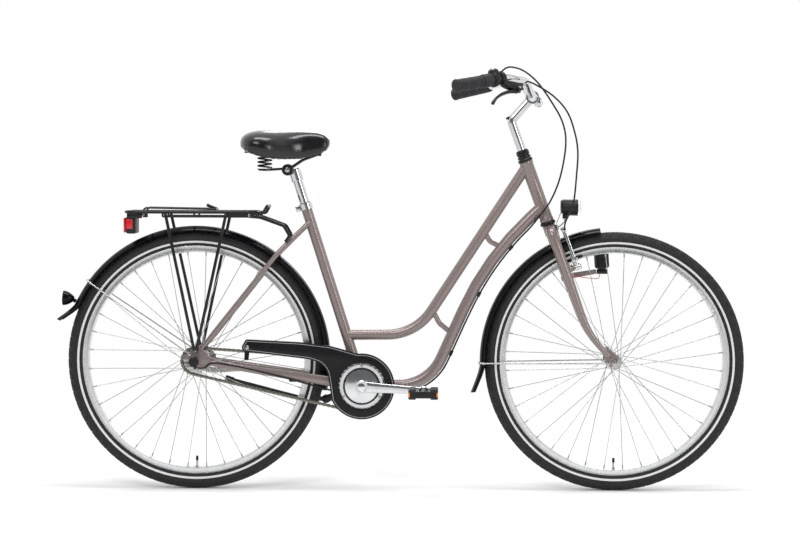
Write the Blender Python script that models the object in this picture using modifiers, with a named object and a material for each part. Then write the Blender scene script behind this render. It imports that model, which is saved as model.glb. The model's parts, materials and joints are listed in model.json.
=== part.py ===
"""A city bike with a low, curved twin-tube frame, seen from its right side: +X is forward and +Z is up.

Every place is measured from the rear axle (x), the middle plane (y, left is positive) and the ground (z), in
metres. The empty city_bike_origin then moves the whole bike so that x = 0 is the middle of its length.
"""

import math

import bmesh
import bpy
from mathutils import Matrix, Vector

# Driving sizes, in metres and degrees

GAP = 0.0003  # between pieces that touch
RUNNING_GAP = 0.0005  # between pieces that turn against each other

# Wheels
WHEELBASE = 1.150
RIM_RADIUS = 0.3155
TYRE_HEIGHT = 0.0405
TYRE_WIDTH = 0.047
TYRE_WALL = 0.0045
BRAKE_TRACK = 0.0150
RIM_DEPTH = 0.0185
RIM_WIDTH = 0.026
RIM_WALL = 0.0022
WHEEL_STEPS = 28
SPOKES = 36
SPOKE_RADIUS = 0.0011
FRONT_FLANGE_RADIUS = 0.020
FRONT_FLANGE_SPREAD = 0.058
REAR_FLANGE_RADIUS = 0.034
REAR_FLANGE_SPREAD = 0.060
FRONT_FORK_GAP = 0.100
REAR_STAY_GAP = 0.120
AXLE_RADIUS = 0.0049
DROPOUT_THICKNESS = 0.0050

# Transmission
PITCH = 0.0127
CHAINRING_TEETH = 36
SPROCKET_TEETH = 18
STAY_CLEARANCE = 0.084  # by which a run of chain is longer than the fender's radius, at least
ROLLER_RADIUS = 0.0036
TOOTH_WIDTH = 0.0026
TOOTH_RISE = 0.0030
ROLLER_WIDTH = 0.0042
LINK_PLATE = 0.0018
LINK_HEIGHT = 0.0085
CHAIN_LINE = 0.046
BRACKET_DROP = 0.067
BRACKET_WIDTH = 0.070
BRACKET_RADIUS = 0.0205
SPINDLE_RADIUS = 0.0090
CRANK_LENGTH = 0.170
CRANK_SLOPE = 3.3
CRANK_INSIDE = 0.0625
CRANK_THICKNESS = 0.014
PEDAL_LENGTH = 0.080
PEDAL_WIDTH = 0.090
PEDAL_THICKNESS = 0.027
GUARD_RADIUS = 0.0905
GUARD_OPENING = 0.0665
GUARD_FACE = 0.0590
GUARD_WALL = 0.0016
GUARD_DEPTH = 0.0077

# Frame
HEAD_ANGLE = 70.0
FORK_RAKE = 0.043
CROWN_CLEARANCE = 0.057  # from the fender to the head tube
HEAD_LENGTH = 0.172
HEAD_RADIUS = 0.0180
HEAD_BORE = 0.0150
STEERER_RADIUS = 0.0127
SEAT_ANGLE = 72.3
SEAT_TUBE_LENGTH = 0.526
SEAT_TUBE_RADIUS = 0.0148
UPPER_TUBE_RADIUS = 0.0145
LOWER_TUBE_RADIUS = 0.0159
STAY_RADIUS = 0.0070
CHAINSTAY_HALF_HEIGHT = 0.0135
CHAINSTAY_HALF_WIDTH = 0.0075
BLADE_RADIUS = 0.0145
BLADE_TIP_RADIUS = 0.0070
BLADE_SPREAD = 0.043

# Seat
POST_RADIUS = 0.0136
POST_TOP = 0.618
POST_INSERT = 0.160
POST_DROP = 0.070
SADDLE_WIDTH = 0.228
SPRING_TURNS = 3
SPRING_RADIUS = 0.0150
SPRING_WIRE = 0.0021
SPRING_SPREAD = 0.046

# Cockpit
STEM_RADIUS = 0.0125
STEM_RISE = 0.120
BAR_RADIUS = 0.0111
BAR_CENTRE_RADIUS = 0.0127
BAR_HALF_WIDTH = 0.300
GRIP_RADIUS = 0.0165
RIGHT_GRIP = 0.090
LEFT_GRIP = 0.130
TWIST_LENGTH = 0.034
CABLE_RADIUS = 0.0024

# Fenders and rack
FENDER_GAP = 0.013
FENDER_HALF_WIDTH = 0.0265
FENDER_WALL = 0.0016
FENDER_DEPTH = 0.014
FENDER_STAY = 0.0021
RACK_TUBE = 0.0043
RACK_WIRE = 0.0028
RACK_HALF_WIDTH = 0.060
RACK_CLEARANCE = 0.039  # from the fender to the deck
RACK_REAR = -0.190
RACK_FRONT = 0.186

# Sizes and places that follow from those

TYRE_RADIUS = RIM_RADIUS + TYRE_HEIGHT
FENDER_RADIUS = TYRE_RADIUS + FENDER_GAP
RACK_HEIGHT = TYRE_RADIUS + FENDER_RADIUS + RACK_CLEARANCE
HEAD_LOW = FENDER_RADIUS + CROWN_CLEARANCE
HEAD_HIGH = HEAD_LOW + HEAD_LENGTH
STEM_BEND = HEAD_HIGH + STEM_RISE
UP = Vector((0, 0, 1))
LEFT = Vector((0, 1, 0))
REAR_AXLE = Vector((0, 0, TYRE_RADIUS))
FRONT_AXLE = Vector((WHEELBASE, 0, TYRE_RADIUS))
FORK_UP = Vector((-math.cos(math.radians(HEAD_ANGLE)), 0, math.sin(math.radians(HEAD_ANGLE))))
FORK_AHEAD = Vector((math.sin(math.radians(HEAD_ANGLE)), 0, math.cos(math.radians(HEAD_ANGLE))))
FORK_FOOT = FRONT_AXLE - FORK_AHEAD * FORK_RAKE
SEAT_UP = Vector((-math.cos(math.radians(SEAT_ANGLE)), 0, math.sin(math.radians(SEAT_ANGLE))))
SEAT_AHEAD = Vector((math.sin(math.radians(SEAT_ANGLE)), 0, math.cos(math.radians(SEAT_ANGLE))))


def pitch_radius(teeth):
    return PITCH / 2 / math.sin(math.pi / teeth)


CHAINRING_RADIUS = pitch_radius(CHAINRING_TEETH)
SPROCKET_RADIUS = pitch_radius(SPROCKET_TEETH)
SPROCKET_WRAP = SPROCKET_TEETH // 2
CHAINRING_WRAP = CHAINRING_TEETH // 2 + (CHAINRING_TEETH // 2 + SPROCKET_WRAP) % 2
RUN_LINKS = math.ceil((FENDER_RADIUS + STAY_CLEARANCE) / PITCH)
RING_END = math.pi - math.pi * CHAINRING_WRAP / CHAINRING_TEETH
COG_END = math.pi * SPROCKET_WRAP / SPROCKET_TEETH
RUN_DROP = CHAINRING_RADIUS * math.sin(RING_END) - SPROCKET_RADIUS * math.sin(COG_END)
CHAINSTAY_LENGTH = (
    math.sqrt((RUN_LINKS * PITCH) ** 2 - RUN_DROP**2)
    + CHAINRING_RADIUS * math.cos(RING_END)
    - SPROCKET_RADIUS * math.cos(COG_END)
)
BRACKET = REAR_AXLE + Vector((math.sqrt(CHAINSTAY_LENGTH**2 - BRACKET_DROP**2), 0, -BRACKET_DROP))
CRANK_AHEAD = Vector((math.cos(math.radians(CRANK_SLOPE)), 0, -math.sin(math.radians(CRANK_SLOPE))))
REAR_FACE = REAR_STAY_GAP / 2 + DROPOUT_THICKNESS
FRONT_FACE = FRONT_FORK_GAP / 2 + DROPOUT_THICKNESS
REAR_EYELET = REAR_AXLE + Vector((0.004, 0, 0.031))


def steer(along, ahead, y=0.0):
    """A place by its height along the steering axis and its distance ahead of it."""
    return FORK_FOOT + FORK_UP * along + FORK_AHEAD * ahead + LEFT * y


def seat(along, ahead=0.0, y=0.0):
    """A place by its distance from the bottom bracket along the seat tube, and ahead of it."""
    return BRACKET + SEAT_UP * along + SEAT_AHEAD * ahead + LEFT * y


def clear_bore(radius, steps, gap=GAP):
    """The corner radius of a bore of that many flat sides which leaves `gap` round something of this radius."""
    return (radius + gap) / math.cos(math.pi / steps)


def around(centre, radius, degrees, y=0.0):
    angle = math.radians(degrees)
    return centre + Vector((radius * math.cos(angle), y, radius * math.sin(angle)))


# Scene, collections and materials

for old in list(bpy.data.objects):
    bpy.data.objects.remove(old, do_unlink=True)
BIKE = bpy.data.collections.new("city_bike")
CUTTERS = bpy.data.collections.new("cutters")
bpy.context.scene.collection.children.link(BIKE)
bpy.context.scene.collection.children.link(CUTTERS)
CUTTERS.hide_render = True


def material(name, colour, roughness, metallic=0.0):
    made = bpy.data.materials.new(name)
    made.use_nodes = True
    shader = made.node_tree.nodes["Principled BSDF"]
    shader.inputs["Base Color"].default_value = (*colour, 1.0)
    shader.inputs["Roughness"].default_value = roughness
    shader.inputs["Metallic"].default_value = metallic
    return made


PAINT = material("taupe_paint", (0.30, 0.24, 0.23), 0.35, 0.5)
POLISHED = material("polished_aluminium", (0.80, 0.81, 0.82), 0.18, 1.0)
BRUSHED = material("rim_aluminium", (0.72, 0.73, 0.74), 0.35, 1.0)
STEEL = material("plated_steel", (0.55, 0.54, 0.52), 0.30, 1.0)
CHAIN_STEEL = material("chain_steel", (0.32, 0.27, 0.22), 0.40, 1.0)
BLACK_METAL = material("black_metal", (0.012, 0.012, 0.014), 0.30, 0.2)
BLACK_GLOSS = material("black_gloss", (0.010, 0.010, 0.012), 0.12)
BLACK_PLASTIC = material("black_plastic", (0.018, 0.018, 0.020), 0.45)
RUBBER = material("tyre_rubber", (0.016, 0.016, 0.017), 0.75)
GRIP = material("grip_rubber", (0.030, 0.030, 0.033), 0.70)
LEATHERETTE = material("black_leatherette", (0.012, 0.012, 0.014), 0.38)
CLEAR = material("clear_lens", (0.85, 0.88, 0.90), 0.05)
RED = material("red_lens", (0.60, 0.01, 0.02), 0.15)
CABLE = material("cable_housing", (0.015, 0.015, 0.016), 0.35)

ORIGIN = bpy.data.objects.new("city_bike_origin", None)
BIKE.objects.link(ORIGIN)


# Modelling functions


def link(mesh, name="piece"):
    made = bpy.data.objects.new(name, mesh)
    BIKE.objects.link(made)
    return made


def from_bmesh(shape, name="piece"):
    bmesh.ops.recalc_face_normals(shape, faces=shape.faces)
    mesh = bpy.data.meshes.new(name)
    shape.to_mesh(mesh)
    shape.free()
    return link(mesh, name)


def baked(obj):
    """The object's evaluated shape as a plain welded mesh in the bike's own coordinates."""
    bpy.context.view_layer.update()
    graph = bpy.context.evaluated_depsgraph_get()
    mesh = bpy.data.meshes.new_from_object(obj.evaluated_get(graph))
    mesh.transform(obj.matrix_world)
    bpy.data.objects.remove(obj, do_unlink=True)
    shape = bmesh.new()
    shape.from_mesh(mesh)
    bmesh.ops.remove_doubles(shape, verts=shape.verts, dist=0.00001)
    bpy.data.meshes.remove(mesh)
    return from_bmesh(shape)


def bent(corners, radii, turn=18.0):
    """Points along straight runs joined by arcs: one radius for each inner corner, one arc step per `turn` degrees."""
    corners = [Vector(corner) for corner in corners]
    points = [corners[0]]
    for before, corner, after, radius in zip(corners, corners[1:], corners[2:], radii):
        back = (before - corner).normalized()
        ahead = (after - corner).normalized()
        bend = math.pi - back.angle(ahead)
        if bend < 0.01 or radius <= 0:
            points.append(corner)
            continue
        reach = radius * math.tan(bend / 2)
        middle = (back + ahead).normalized()
        centre = corner + middle * radius / math.cos(bend / 2)
        start = corner + back * reach - centre
        across = middle.cross(start).cross(middle).normalized()
        steps = max(1, round(math.degrees(bend) / turn))
        for step in range(steps + 1):
            angle = bend / 2 - bend * step / steps
            points.append(centre - middle * radius * math.cos(angle) + across * radius * math.sin(angle))
    points.append(corners[-1])
    return points


def smooth(points, spacing):
    """A smooth curve through the points, read at steady steps of about `spacing`."""
    points = [Vector(point) for point in points]
    ends = [2 * points[0] - points[1], *points, 2 * points[-1] - points[-2]]
    found = [points[0]]
    for a, b, c, d in zip(ends, ends[1:], ends[2:], ends[3:]):
        steps = max(1, round((c - b).length / spacing))
        for step in range(1, steps + 1):
            t = step / steps
            found.append(
                0.5 * (2 * b + (c - a) * t + (2 * a - 5 * b + 4 * c - d) * t**2 + (3 * b - a - 3 * c + d) * t**3)
            )
    return found


def tube(points, radius, sides=8, closed=False):
    """A round tube along the points. `radius` is one value, or one for each point."""
    radii = radius if isinstance(radius, list) else [radius] * len(points)
    curve = bpy.data.curves.new("tube", "CURVE")
    curve.dimensions = "3D"
    curve.bevel_depth = 1.0
    curve.bevel_resolution = sides // 2 - 2
    curve.use_fill_caps = not closed
    spline = curve.splines.new("POLY")
    spline.points.add(len(points) - 1)
    spline.use_cyclic_u = closed
    for place, point, size in zip(spline.points, points, radii):
        place.co = (*point, 1.0)
        place.radius = size
    return baked(link(curve))


def tapered(points, first, last):
    """Radii that change steadily along the points from first to last."""
    lengths = [0.0]
    for a, b in zip(points, points[1:]):
        lengths.append(lengths[-1] + (b - a).length)
    return [first + (last - first) * length / lengths[-1] for length in lengths]


def rod(start, end, radius, end_radius=None, sides=12):
    start, end = Vector(start), Vector(end)
    shape = bmesh.new()
    bmesh.ops.create_cone(
        shape,
        cap_ends=True,
        segments=sides,
        radius1=radius,
        radius2=radius if end_radius is None else end_radius,
        depth=(end - start).length,
    )
    turn = (end - start).to_track_quat("Z", "Y").to_matrix().to_4x4()
    bmesh.ops.transform(shape, matrix=Matrix.Translation((start + end) / 2) @ turn, verts=shape.verts)
    return from_bmesh(shape)


def axes(along, side):
    """A turning matrix whose x runs along `along` and whose y runs as near `side` as it can."""
    x = Vector(along).normalized()
    z = x.cross(Vector(side)).normalized()
    y = z.cross(x)
    return Matrix((x, y, z)).transposed()


def box(centre, size, turn=None, bevel=0.0):
    shape = bmesh.new()
    bmesh.ops.create_cube(shape, size=1.0)
    bmesh.ops.scale(shape, vec=Vector(size), verts=shape.verts)
    if bevel:
        bmesh.ops.bevel(shape, geom=shape.edges, offset=bevel, segments=1, affect="EDGES")
    matrix = Matrix.Translation(Vector(centre)) @ (turn or Matrix.Identity(3)).to_4x4()
    bmesh.ops.transform(shape, matrix=matrix, verts=shape.verts)
    return from_bmesh(shape)


def turned(profile, centre, axis, steps, closed=True, start=0.0):
    """A shape turned about an axis from (radius, distance along the axis) pairs."""
    mesh = bpy.data.meshes.new("profile")
    count = len(profile)
    edges = [(i, i + 1) for i in range(count - 1)]
    if closed:
        edges.append((count - 1, 0))
    mesh.from_pydata([(radius, 0, along) for radius, along in profile], edges, [])
    made = link(mesh)
    screw = made.modifiers.new("turn", "SCREW")
    screw.axis = "Z"
    screw.steps = steps
    screw.render_steps = steps
    screw.use_merge_vertices = True
    screw.merge_threshold = 0.00001
    spin = Matrix.Rotation(math.radians(start), 4, "Z")
    turn = Vector(axis).to_track_quat("Z", "X").to_matrix().to_4x4()
    made.matrix_world = Matrix.Translation(Vector(centre)) @ turn @ spin
    return baked(made)


def plate(outlines, y, thickness, plane=None):
    """A flat plate from closed outlines of (x, z) points, an outer one and any holes, centred on side distance y.

    With `plane`, a 4x4 matrix, the outline lies in that plane's x and y instead.
    """
    curve = bpy.data.curves.new("outline", "CURVE")
    curve.dimensions = "2D"
    curve.fill_mode = "BOTH"
    curve.extrude = thickness / 2
    for outline in outlines:
        spline = curve.splines.new("POLY")
        spline.points.add(len(outline) - 1)
        spline.use_cyclic_u = True
        for place, (a, b) in zip(spline.points, outline):
            place.co = (a, b, 0, 1)
    made = link(curve)
    made.matrix_world = plane or Matrix.Translation((0, y, 0)) @ Matrix.Rotation(math.pi / 2, 4, "X")
    return baked(made)


def loft(sections, closed_ends=True):
    """A closed body through rings of equally many points."""
    shape = bmesh.new()
    rings = [[shape.verts.new(point) for point in section] for section in sections]
    count = len(rings[0])
    for a, b in zip(rings, rings[1:]):
        for i in range(count):
            shape.faces.new((a[i], a[(i + 1) % count], b[(i + 1) % count], b[i]))
    if closed_ends:
        shape.faces.new(rings[0])
        shape.faces.new(rings[-1])
    bmesh.ops.remove_doubles(shape, verts=shape.verts, dist=0.000001)
    return from_bmesh(shape)


def sweep(points, halves, side, sides=8, flatness=2.0):
    """An oval bar along points. `halves` gives (half across, half along `side`) at each point."""
    sections = []
    for i, (point, (across, deep)) in enumerate(zip(points, halves)):
        ahead = (points[min(i + 1, len(points) - 1)] - points[max(i - 1, 0)]).normalized()
        b = (Vector(side) - ahead * ahead.dot(Vector(side))).normalized()
        a = b.cross(ahead)
        ring = []
        for step in range(sides):
            angle = 2 * math.pi * (step + 0.5) / sides
            c, s = math.cos(angle), math.sin(angle)
            swell = (abs(c) ** flatness + abs(s) ** flatness) ** (-1 / flatness)
            ring.append(point + a * across * c * swell + b * deep * s * swell)
        sections.append(ring)
    return loft(sections)


def together(pieces):
    """One mesh of pieces that stay clear of each other."""
    shape = bmesh.new()
    for piece in pieces:
        shape.from_mesh(piece.data)
        bpy.data.objects.remove(piece, do_unlink=True)
    mesh = bpy.data.meshes.new("group")
    shape.to_mesh(mesh)
    shape.free()
    return link(mesh)


def combine(base, others, operation):
    """Blender's exact Boolean of the base with each of the others in turn."""
    for other in others:
        step = base.modifiers.new(operation.lower(), "BOOLEAN")
        step.operation = operation
        step.solver = "EXACT"
        step.object = other
    bpy.context.view_layer.update()
    graph = bpy.context.evaluated_depsgraph_get()
    mesh = bpy.data.meshes.new_from_object(base.evaluated_get(graph))
    for used in (base, *others):
        bpy.data.objects.remove(used, do_unlink=True)
    shape = bmesh.new()
    shape.from_mesh(mesh)
    bmesh.ops.remove_doubles(shape, verts=shape.verts, dist=0.000002)
    bmesh.ops.dissolve_limit(shape, angle_limit=0.002, verts=shape.verts, edges=shape.edges)
    bpy.data.meshes.remove(mesh)
    return from_bmesh(shape)


def fuse(*pieces):
    return combine(pieces[0], pieces[1:], "UNION")


def cut(base, *cutters):
    for cutter in cutters:
        BIKE.objects.unlink(cutter)
        CUTTERS.objects.link(cutter)
    return combine(base, cutters, "DIFFERENCE")


def finish(obj, name, finish_material, pivot=(0, 0, 0), sharp=32.0):
    """Names the piece, puts its origin at its pivot, and gives it its material."""
    pivot = Vector(pivot)
    obj.data.transform(Matrix.Translation(-pivot))
    obj.name = name
    obj.data.name = name
    obj.location = pivot
    obj.parent = ORIGIN
    obj.data.materials.clear()
    obj.data.materials.append(finish_material)
    obj.data.shade_smooth()
    obj.data.set_sharp_from_angle(angle=math.radians(sharp))
    return obj


def ring_outline(centre, radius, steps, start=0.0, end=360.0):
    """Points round a circle or an arc, in the side view."""
    whole = abs(end - start) >= 360
    count = steps if whole else steps + 1
    found = []
    for step in range(count):
        angle = math.radians(start + (end - start) * step / steps)
        found.append((centre.x + radius * math.cos(angle), centre.z + radius * math.sin(angle)))
    return found


def inset(outline, distance):
    """The outline moved inwards by a distance. Its points run anticlockwise."""
    found = []
    count = len(outline)
    for i in range(count):
        before, here, after = (Vector(outline[(i + k) % count]) for k in (-1, 0, 1))
        a = (here - before).normalized()
        b = (after - here).normalized()
        middle = (a + b).normalized()
        inward = Vector((-middle.y, middle.x))
        stretch = max(0.5, inward.dot(Vector((-a.y, a.x))))
        found.append(tuple(here + inward * distance / stretch))
    return found


# Wheels


def tyre(name, axle):
    half = TYRE_WIDTH / 2
    tread = TYRE_RADIUS
    centre = tread - half
    base = RIM_RADIUS + GAP
    outside = [(base, RIM_WIDTH / 2 + 0.0005)]
    for angle in (4, 47, 90, 133, 176):
        a = math.radians(angle)
        outside.append((centre + half * math.sin(a), half * math.cos(a)))
    outside.append((base, -RIM_WIDTH / 2 - 0.0005))
    inner = half - TYRE_WALL
    inside = [(base, -RIM_WIDTH / 2 + 0.003)]
    for angle in (145, 35):
        a = math.radians(angle)
        inside.append((centre + inner * math.sin(a) * 1.1, inner * math.cos(a) * 0.9))
    inside.append((base, RIM_WIDTH / 2 - 0.003))
    made = turned(outside + inside, axle, LEFT, WHEEL_STEPS)
    return finish(made, name, RUBBER, axle, 60)


def rim(name, axle):
    half = RIM_WIDTH / 2
    top = RIM_RADIUS
    shoulder = top - BRAKE_TRACK
    bottom = top - RIM_DEPTH
    profile = [
        (top, half),
        (shoulder, half),
        (bottom, half * 0.5),
        (bottom, -half * 0.5),
        (shoulder, -half),
        (top, -half),
        (top, -half + RIM_WALL),
        (bottom + 0.0040, 0),
        (top, half - RIM_WALL),
    ]
    return finish(turned(profile, axle, LEFT, WHEEL_STEPS), name, BRUSHED, axle)


def hub(name, axle, flange, spread, crossing, profile):
    """A hub shell, turned from its profile, with its spokes laced to both flanges."""
    shell = turned(profile, axle, LEFT, 9)
    pieces = []
    reach = (RIM_RADIUS - RIM_DEPTH) * math.cos(math.pi / WHEEL_STEPS) - GAP * 1.5
    for number in range(SPOKES):
        side = 1 if number % 2 else -1
        trailing = 1 if (number // 2) % 2 else -1
        at_rim = 360 * (number + 0.5) / SPOKES
        at_flange = at_rim + trailing * crossing
        start = around(axle, flange * 0.88, at_flange, side * (spread / 2 + 0.0014 * trailing))
        end = around(axle, reach, at_rim, side * (0.002 + 0.0016 * trailing))
        pieces.append(rod(start, end, SPOKE_RADIUS, None, 3))
    return finish(fuse(shell, together(pieces)), name, STEEL, axle)


def axle_with_nuts(name, axle, face, right_end, left_end):
    """An axle with a washer and a hexagon nut outside each dropout."""
    pieces = [rod(axle - LEFT * right_end, axle + LEFT * left_end, AXLE_RADIUS, None, 8)]
    for side in (-1, 1):
        inner = axle + LEFT * side * (face + GAP)
        pieces.append(rod(inner, inner + LEFT * side * 0.002, 0.0105, None, 8))
        pieces.append(rod(inner + LEFT * side * 0.0015, inner + LEFT * side * 0.0095, 0.0088, None, 6))
    return pieces


tyre("front_tyre", FRONT_AXLE)
tyre("rear_tyre", REAR_AXLE)
rim("front_rim", FRONT_AXLE)
rim("rear_rim", REAR_AXLE)

FLANGE_HALF = 0.0026
HUB_BORE = AXLE_RADIUS + RUNNING_GAP
front_end = FRONT_FORK_GAP / 2 - 0.002
front_spread = FRONT_FLANGE_SPREAD / 2
hub(
    "front_hub",
    FRONT_AXLE,
    FRONT_FLANGE_RADIUS,
    FRONT_FLANGE_SPREAD,
    60,
    [
        (HUB_BORE, front_end),
        (0.010, front_end),
        (0.012, front_spread + FLANGE_HALF),
        (FRONT_FLANGE_RADIUS, front_spread + FLANGE_HALF),
        (FRONT_FLANGE_RADIUS, front_spread - FLANGE_HALF),
        (0.0125, front_spread - 0.006),
        (0.0125, -front_spread + 0.006),
        (FRONT_FLANGE_RADIUS, -front_spread + FLANGE_HALF),
        (FRONT_FLANGE_RADIUS, -front_spread - FLANGE_HALF),
        (0.012, -front_spread - FLANGE_HALF),
        (0.010, -front_end),
        (HUB_BORE, -front_end),
    ],
)
rear_spread = REAR_FLANGE_SPREAD / 2
cog_inside = -CHAIN_LINE + 0.0065
hub(
    "rear_hub",
    REAR_AXLE,
    REAR_FLANGE_RADIUS,
    REAR_FLANGE_SPREAD,
    40,
    [
        (HUB_BORE, 0.050),
        (0.017, 0.050),
        (0.022, rear_spread + 0.006),
        (0.028, rear_spread + FLANGE_HALF),
        (REAR_FLANGE_RADIUS, rear_spread + FLANGE_HALF),
        (REAR_FLANGE_RADIUS, rear_spread - FLANGE_HALF),
        (0.026, rear_spread - 0.007),
        (0.026, -rear_spread + 0.007),
        (REAR_FLANGE_RADIUS, -rear_spread + FLANGE_HALF),
        (REAR_FLANGE_RADIUS, -rear_spread - FLANGE_HALF),
        (0.024, -rear_spread - FLANGE_HALF),
        (0.022, cog_inside + RUNNING_GAP),
        (HUB_BORE, cog_inside + RUNNING_GAP),
    ],
)

front_half_axle = FRONT_FACE + 0.013
finish(
    fuse(*axle_with_nuts("front_axle", FRONT_AXLE, FRONT_FACE, front_half_axle, front_half_axle)),
    "front_axle",
    STEEL,
    FRONT_AXLE,
)

# The shifting box on the right end of the rear axle turns the cable's pull into the hub.
box_start = REAR_AXLE - LEFT * (REAR_FACE + 0.0085)
finish(
    fuse(
        *axle_with_nuts("rear_axle", REAR_AXLE, REAR_FACE, REAR_FACE + 0.012, REAR_FACE + 0.014),
        rod(box_start, box_start - LEFT * 0.016, 0.0135, 0.0125, 12),
        rod(box_start - LEFT * 0.004, box_start + Vector((0.006, -0.012, -0.017)), 0.0065, 0.005, 8),
    ),
    "rear_axle",
    BLACK_PLASTIC,
    REAR_AXLE,
)


# Chainring, sprocket and chain


def toothed(teeth, phase):
    """A sprocket's outline: a flat valley under each roller and a narrow tooth between two of them."""
    pitch_circle = pitch_radius(teeth)
    found = []
    for tooth in range(teeth):
        valley = phase + 2 * math.pi * tooth / teeth
        ahead = Vector((math.cos(valley), math.sin(valley)))
        across = Vector((-ahead.y, ahead.x))
        low = ahead * (pitch_circle - ROLLER_RADIUS - 0.00035)
        crest = valley + math.pi / teeth
        top = Vector((math.cos(crest), math.sin(crest))) * (pitch_circle + TOOTH_RISE)
        found += [low - across * 0.0026, low + across * 0.0026, top]
    return found


def circle(radius, steps):
    return [
        (radius * math.cos(2 * math.pi * i / steps), radius * math.sin(2 * math.pi * i / steps)) for i in range(steps)
    ]


to_cog = REAR_AXLE - BRACKET
COG_ANGLE = math.atan2(to_cog.z, to_cog.x)
ALONG = Vector((math.cos(COG_ANGLE), 0, math.sin(COG_ANGLE)))
ACROSS = Vector((-ALONG.z, 0, ALONG.x))


def side_plane(centre, y):
    return Matrix.Translation(centre + LEFT * y) @ Matrix.Rotation(math.pi / 2, 4, "X")


cog_plate = plate(
    [toothed(SPROCKET_TEETH, COG_ANGLE + COG_END), circle(0.0135, 10)],
    0,
    TOOTH_WIDTH,
    side_plane(REAR_AXLE, -CHAIN_LINE),
)
driver = turned(
    [
        (HUB_BORE, -CHAIN_LINE - 0.006),
        (0.0165, -CHAIN_LINE - 0.006),
        (0.0165, -CHAIN_LINE + 0.0060),
        (HUB_BORE, -CHAIN_LINE + 0.0060),
    ],
    REAR_AXLE,
    LEFT,
    10,
)
finish(fuse(cog_plate, driver), "rear_sprocket", STEEL, REAR_AXLE)

ring_plate = plate(
    [toothed(CHAINRING_TEETH, COG_ANGLE + RING_END), circle(SPINDLE_RADIUS + GAP, 12)],
    0,
    TOOTH_WIDTH,
    side_plane(BRACKET, -CHAIN_LINE),
)
finish(ring_plate, "chainring", STEEL, BRACKET)


def chain_pins():
    """Every pin's place in the side view: round the chainring's front, back along the lower run, round the sprocket."""
    found = []
    for step in range(CHAINRING_WRAP + 1):
        angle = COG_ANGLE + RING_END + step * 2 * math.pi / CHAINRING_TEETH
        found.append(around(BRACKET, CHAINRING_RADIUS, math.degrees(angle)))
    cog_start = REAR_AXLE + ALONG * SPROCKET_RADIUS * math.cos(COG_END) - ACROSS * SPROCKET_RADIUS * math.sin(COG_END)
    for step in range(1, RUN_LINKS):
        found.append(found[CHAINRING_WRAP].lerp(cog_start, step / RUN_LINKS))
    for step in range(SPROCKET_WRAP + 1):
        angle = COG_ANGLE - COG_END + step * 2 * math.pi / SPROCKET_TEETH
        found.append(around(REAR_AXLE, SPROCKET_RADIUS, math.degrees(angle)))
    last = found[-1]
    for step in range(1, RUN_LINKS):
        found.append(last.lerp(found[0], step / RUN_LINKS))
    return found


def chain_side(pins, side):
    """One side of the chain: a strip through the pins, as high as the link plates."""
    near = ROLLER_WIDTH / 2 - 0.0002
    cog = CHAINRING_WRAP + RUN_LINKS
    sections = []
    for i in range(-1, len(pins) - 1):
        if CHAINRING_WRAP < i < cog - 1 or i > cog + SPROCKET_WRAP:
            continue
        ahead = (pins[i + 1] - pins[i]).normalized()
        middle = (pins[i] + pins[i + 1]) / 2
        out = ahead.cross(LEFT) * LINK_HEIGHT / 2
        corners = ((-1, near), (1, near), (1, near + LINK_PLATE), (-1, near + LINK_PLATE))
        sections.append([middle + out * way + LEFT * (side * across - CHAIN_LINE) for way, across in corners])
    return loft([*sections, sections[0]], False)


def chain():
    pins = chain_pins()
    half = LEFT * ROLLER_WIDTH / 2
    line = LEFT * CHAIN_LINE
    rollers = [rod(pin - line - half, pin - line + half, ROLLER_RADIUS, None, 3) for pin in pins]
    made = fuse(chain_side(pins, -1), chain_side(pins, 1), together(rollers))
    return finish(made, "chain", CHAIN_STEEL, BRACKET)


chain()


# Cranks and pedals


def crank_arm(side):
    ahead = CRANK_AHEAD * (1 if side < 0 else -1)
    middle = LEFT * side * (CRANK_INSIDE + CRANK_THICKNESS / 2)
    hub_point = BRACKET + middle
    eye = hub_point + ahead * CRANK_LENGTH + LEFT * side * 0.004
    places = [hub_point, hub_point.lerp(eye, 0.30), hub_point.lerp(eye, 0.75), eye]
    half = CRANK_THICKNESS / 2
    arm = sweep(places, [(0.0160, half), (0.0135, half * 0.9), (0.0105, half * 0.8), (0.0100, half * 0.8)], LEFT, 8, 4)
    boss = rod(hub_point - middle.normalized() * half, hub_point + middle.normalized() * (half + 0.002), 0.0175, None, 12)
    tip = rod(eye - LEFT * side * half * 0.85, eye + LEFT * side * half * 0.85, 0.0125, None, 10)
    return arm, boss, tip, eye + LEFT * side * half * 0.85


right_arm, right_boss, right_tip, right_eye = crank_arm(-1)
left_arm, left_boss, left_tip, left_eye = crank_arm(1)
spindle = rod(
    BRACKET - LEFT * (CRANK_INSIDE + 0.002),
    BRACKET + LEFT * (CRANK_INSIDE - GAP),
    SPINDLE_RADIUS,
    None,
    12,
)
finish(fuse(right_arm, right_boss, right_tip, spindle), "crank_right", POLISHED, BRACKET)
finish(fuse(left_arm, left_boss, left_tip), "crank_left", POLISHED, BRACKET)

# The polished cover outside the chainring: a domed disc, a dark groove and a flat outer ring with three rivets.
cover_in = -(CHAIN_LINE + TOOTH_WIDTH / 2 + GAP)
cover_bore = SPINDLE_RADIUS + GAP
cover = turned(
    [
        (cover_bore, cover_in),
        (0.0600, cover_in),
        (0.0600, cover_in - 0.0045),
        (0.0510, cover_in - 0.0045),
        (0.0485, cover_in - 0.0015),
        (0.0465, cover_in - 0.0060),
        (0.0300, cover_in - 0.0095),
        (cover_bore, cover_in - 0.0110),
    ],
    BRACKET,
    LEFT,
    20,
)
rivets = [
    rod(
        around(BRACKET, 0.0555, 90 + 120 * i, cover_in - 0.0040),
        around(BRACKET, 0.0555, 90 + 120 * i, cover_in - 0.0060),
        0.0035,
        None,
        6,
    )
    for i in range(3)
]
finish(fuse(cover, together(rivets)), "chainring_cover", POLISHED, BRACKET)


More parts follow.
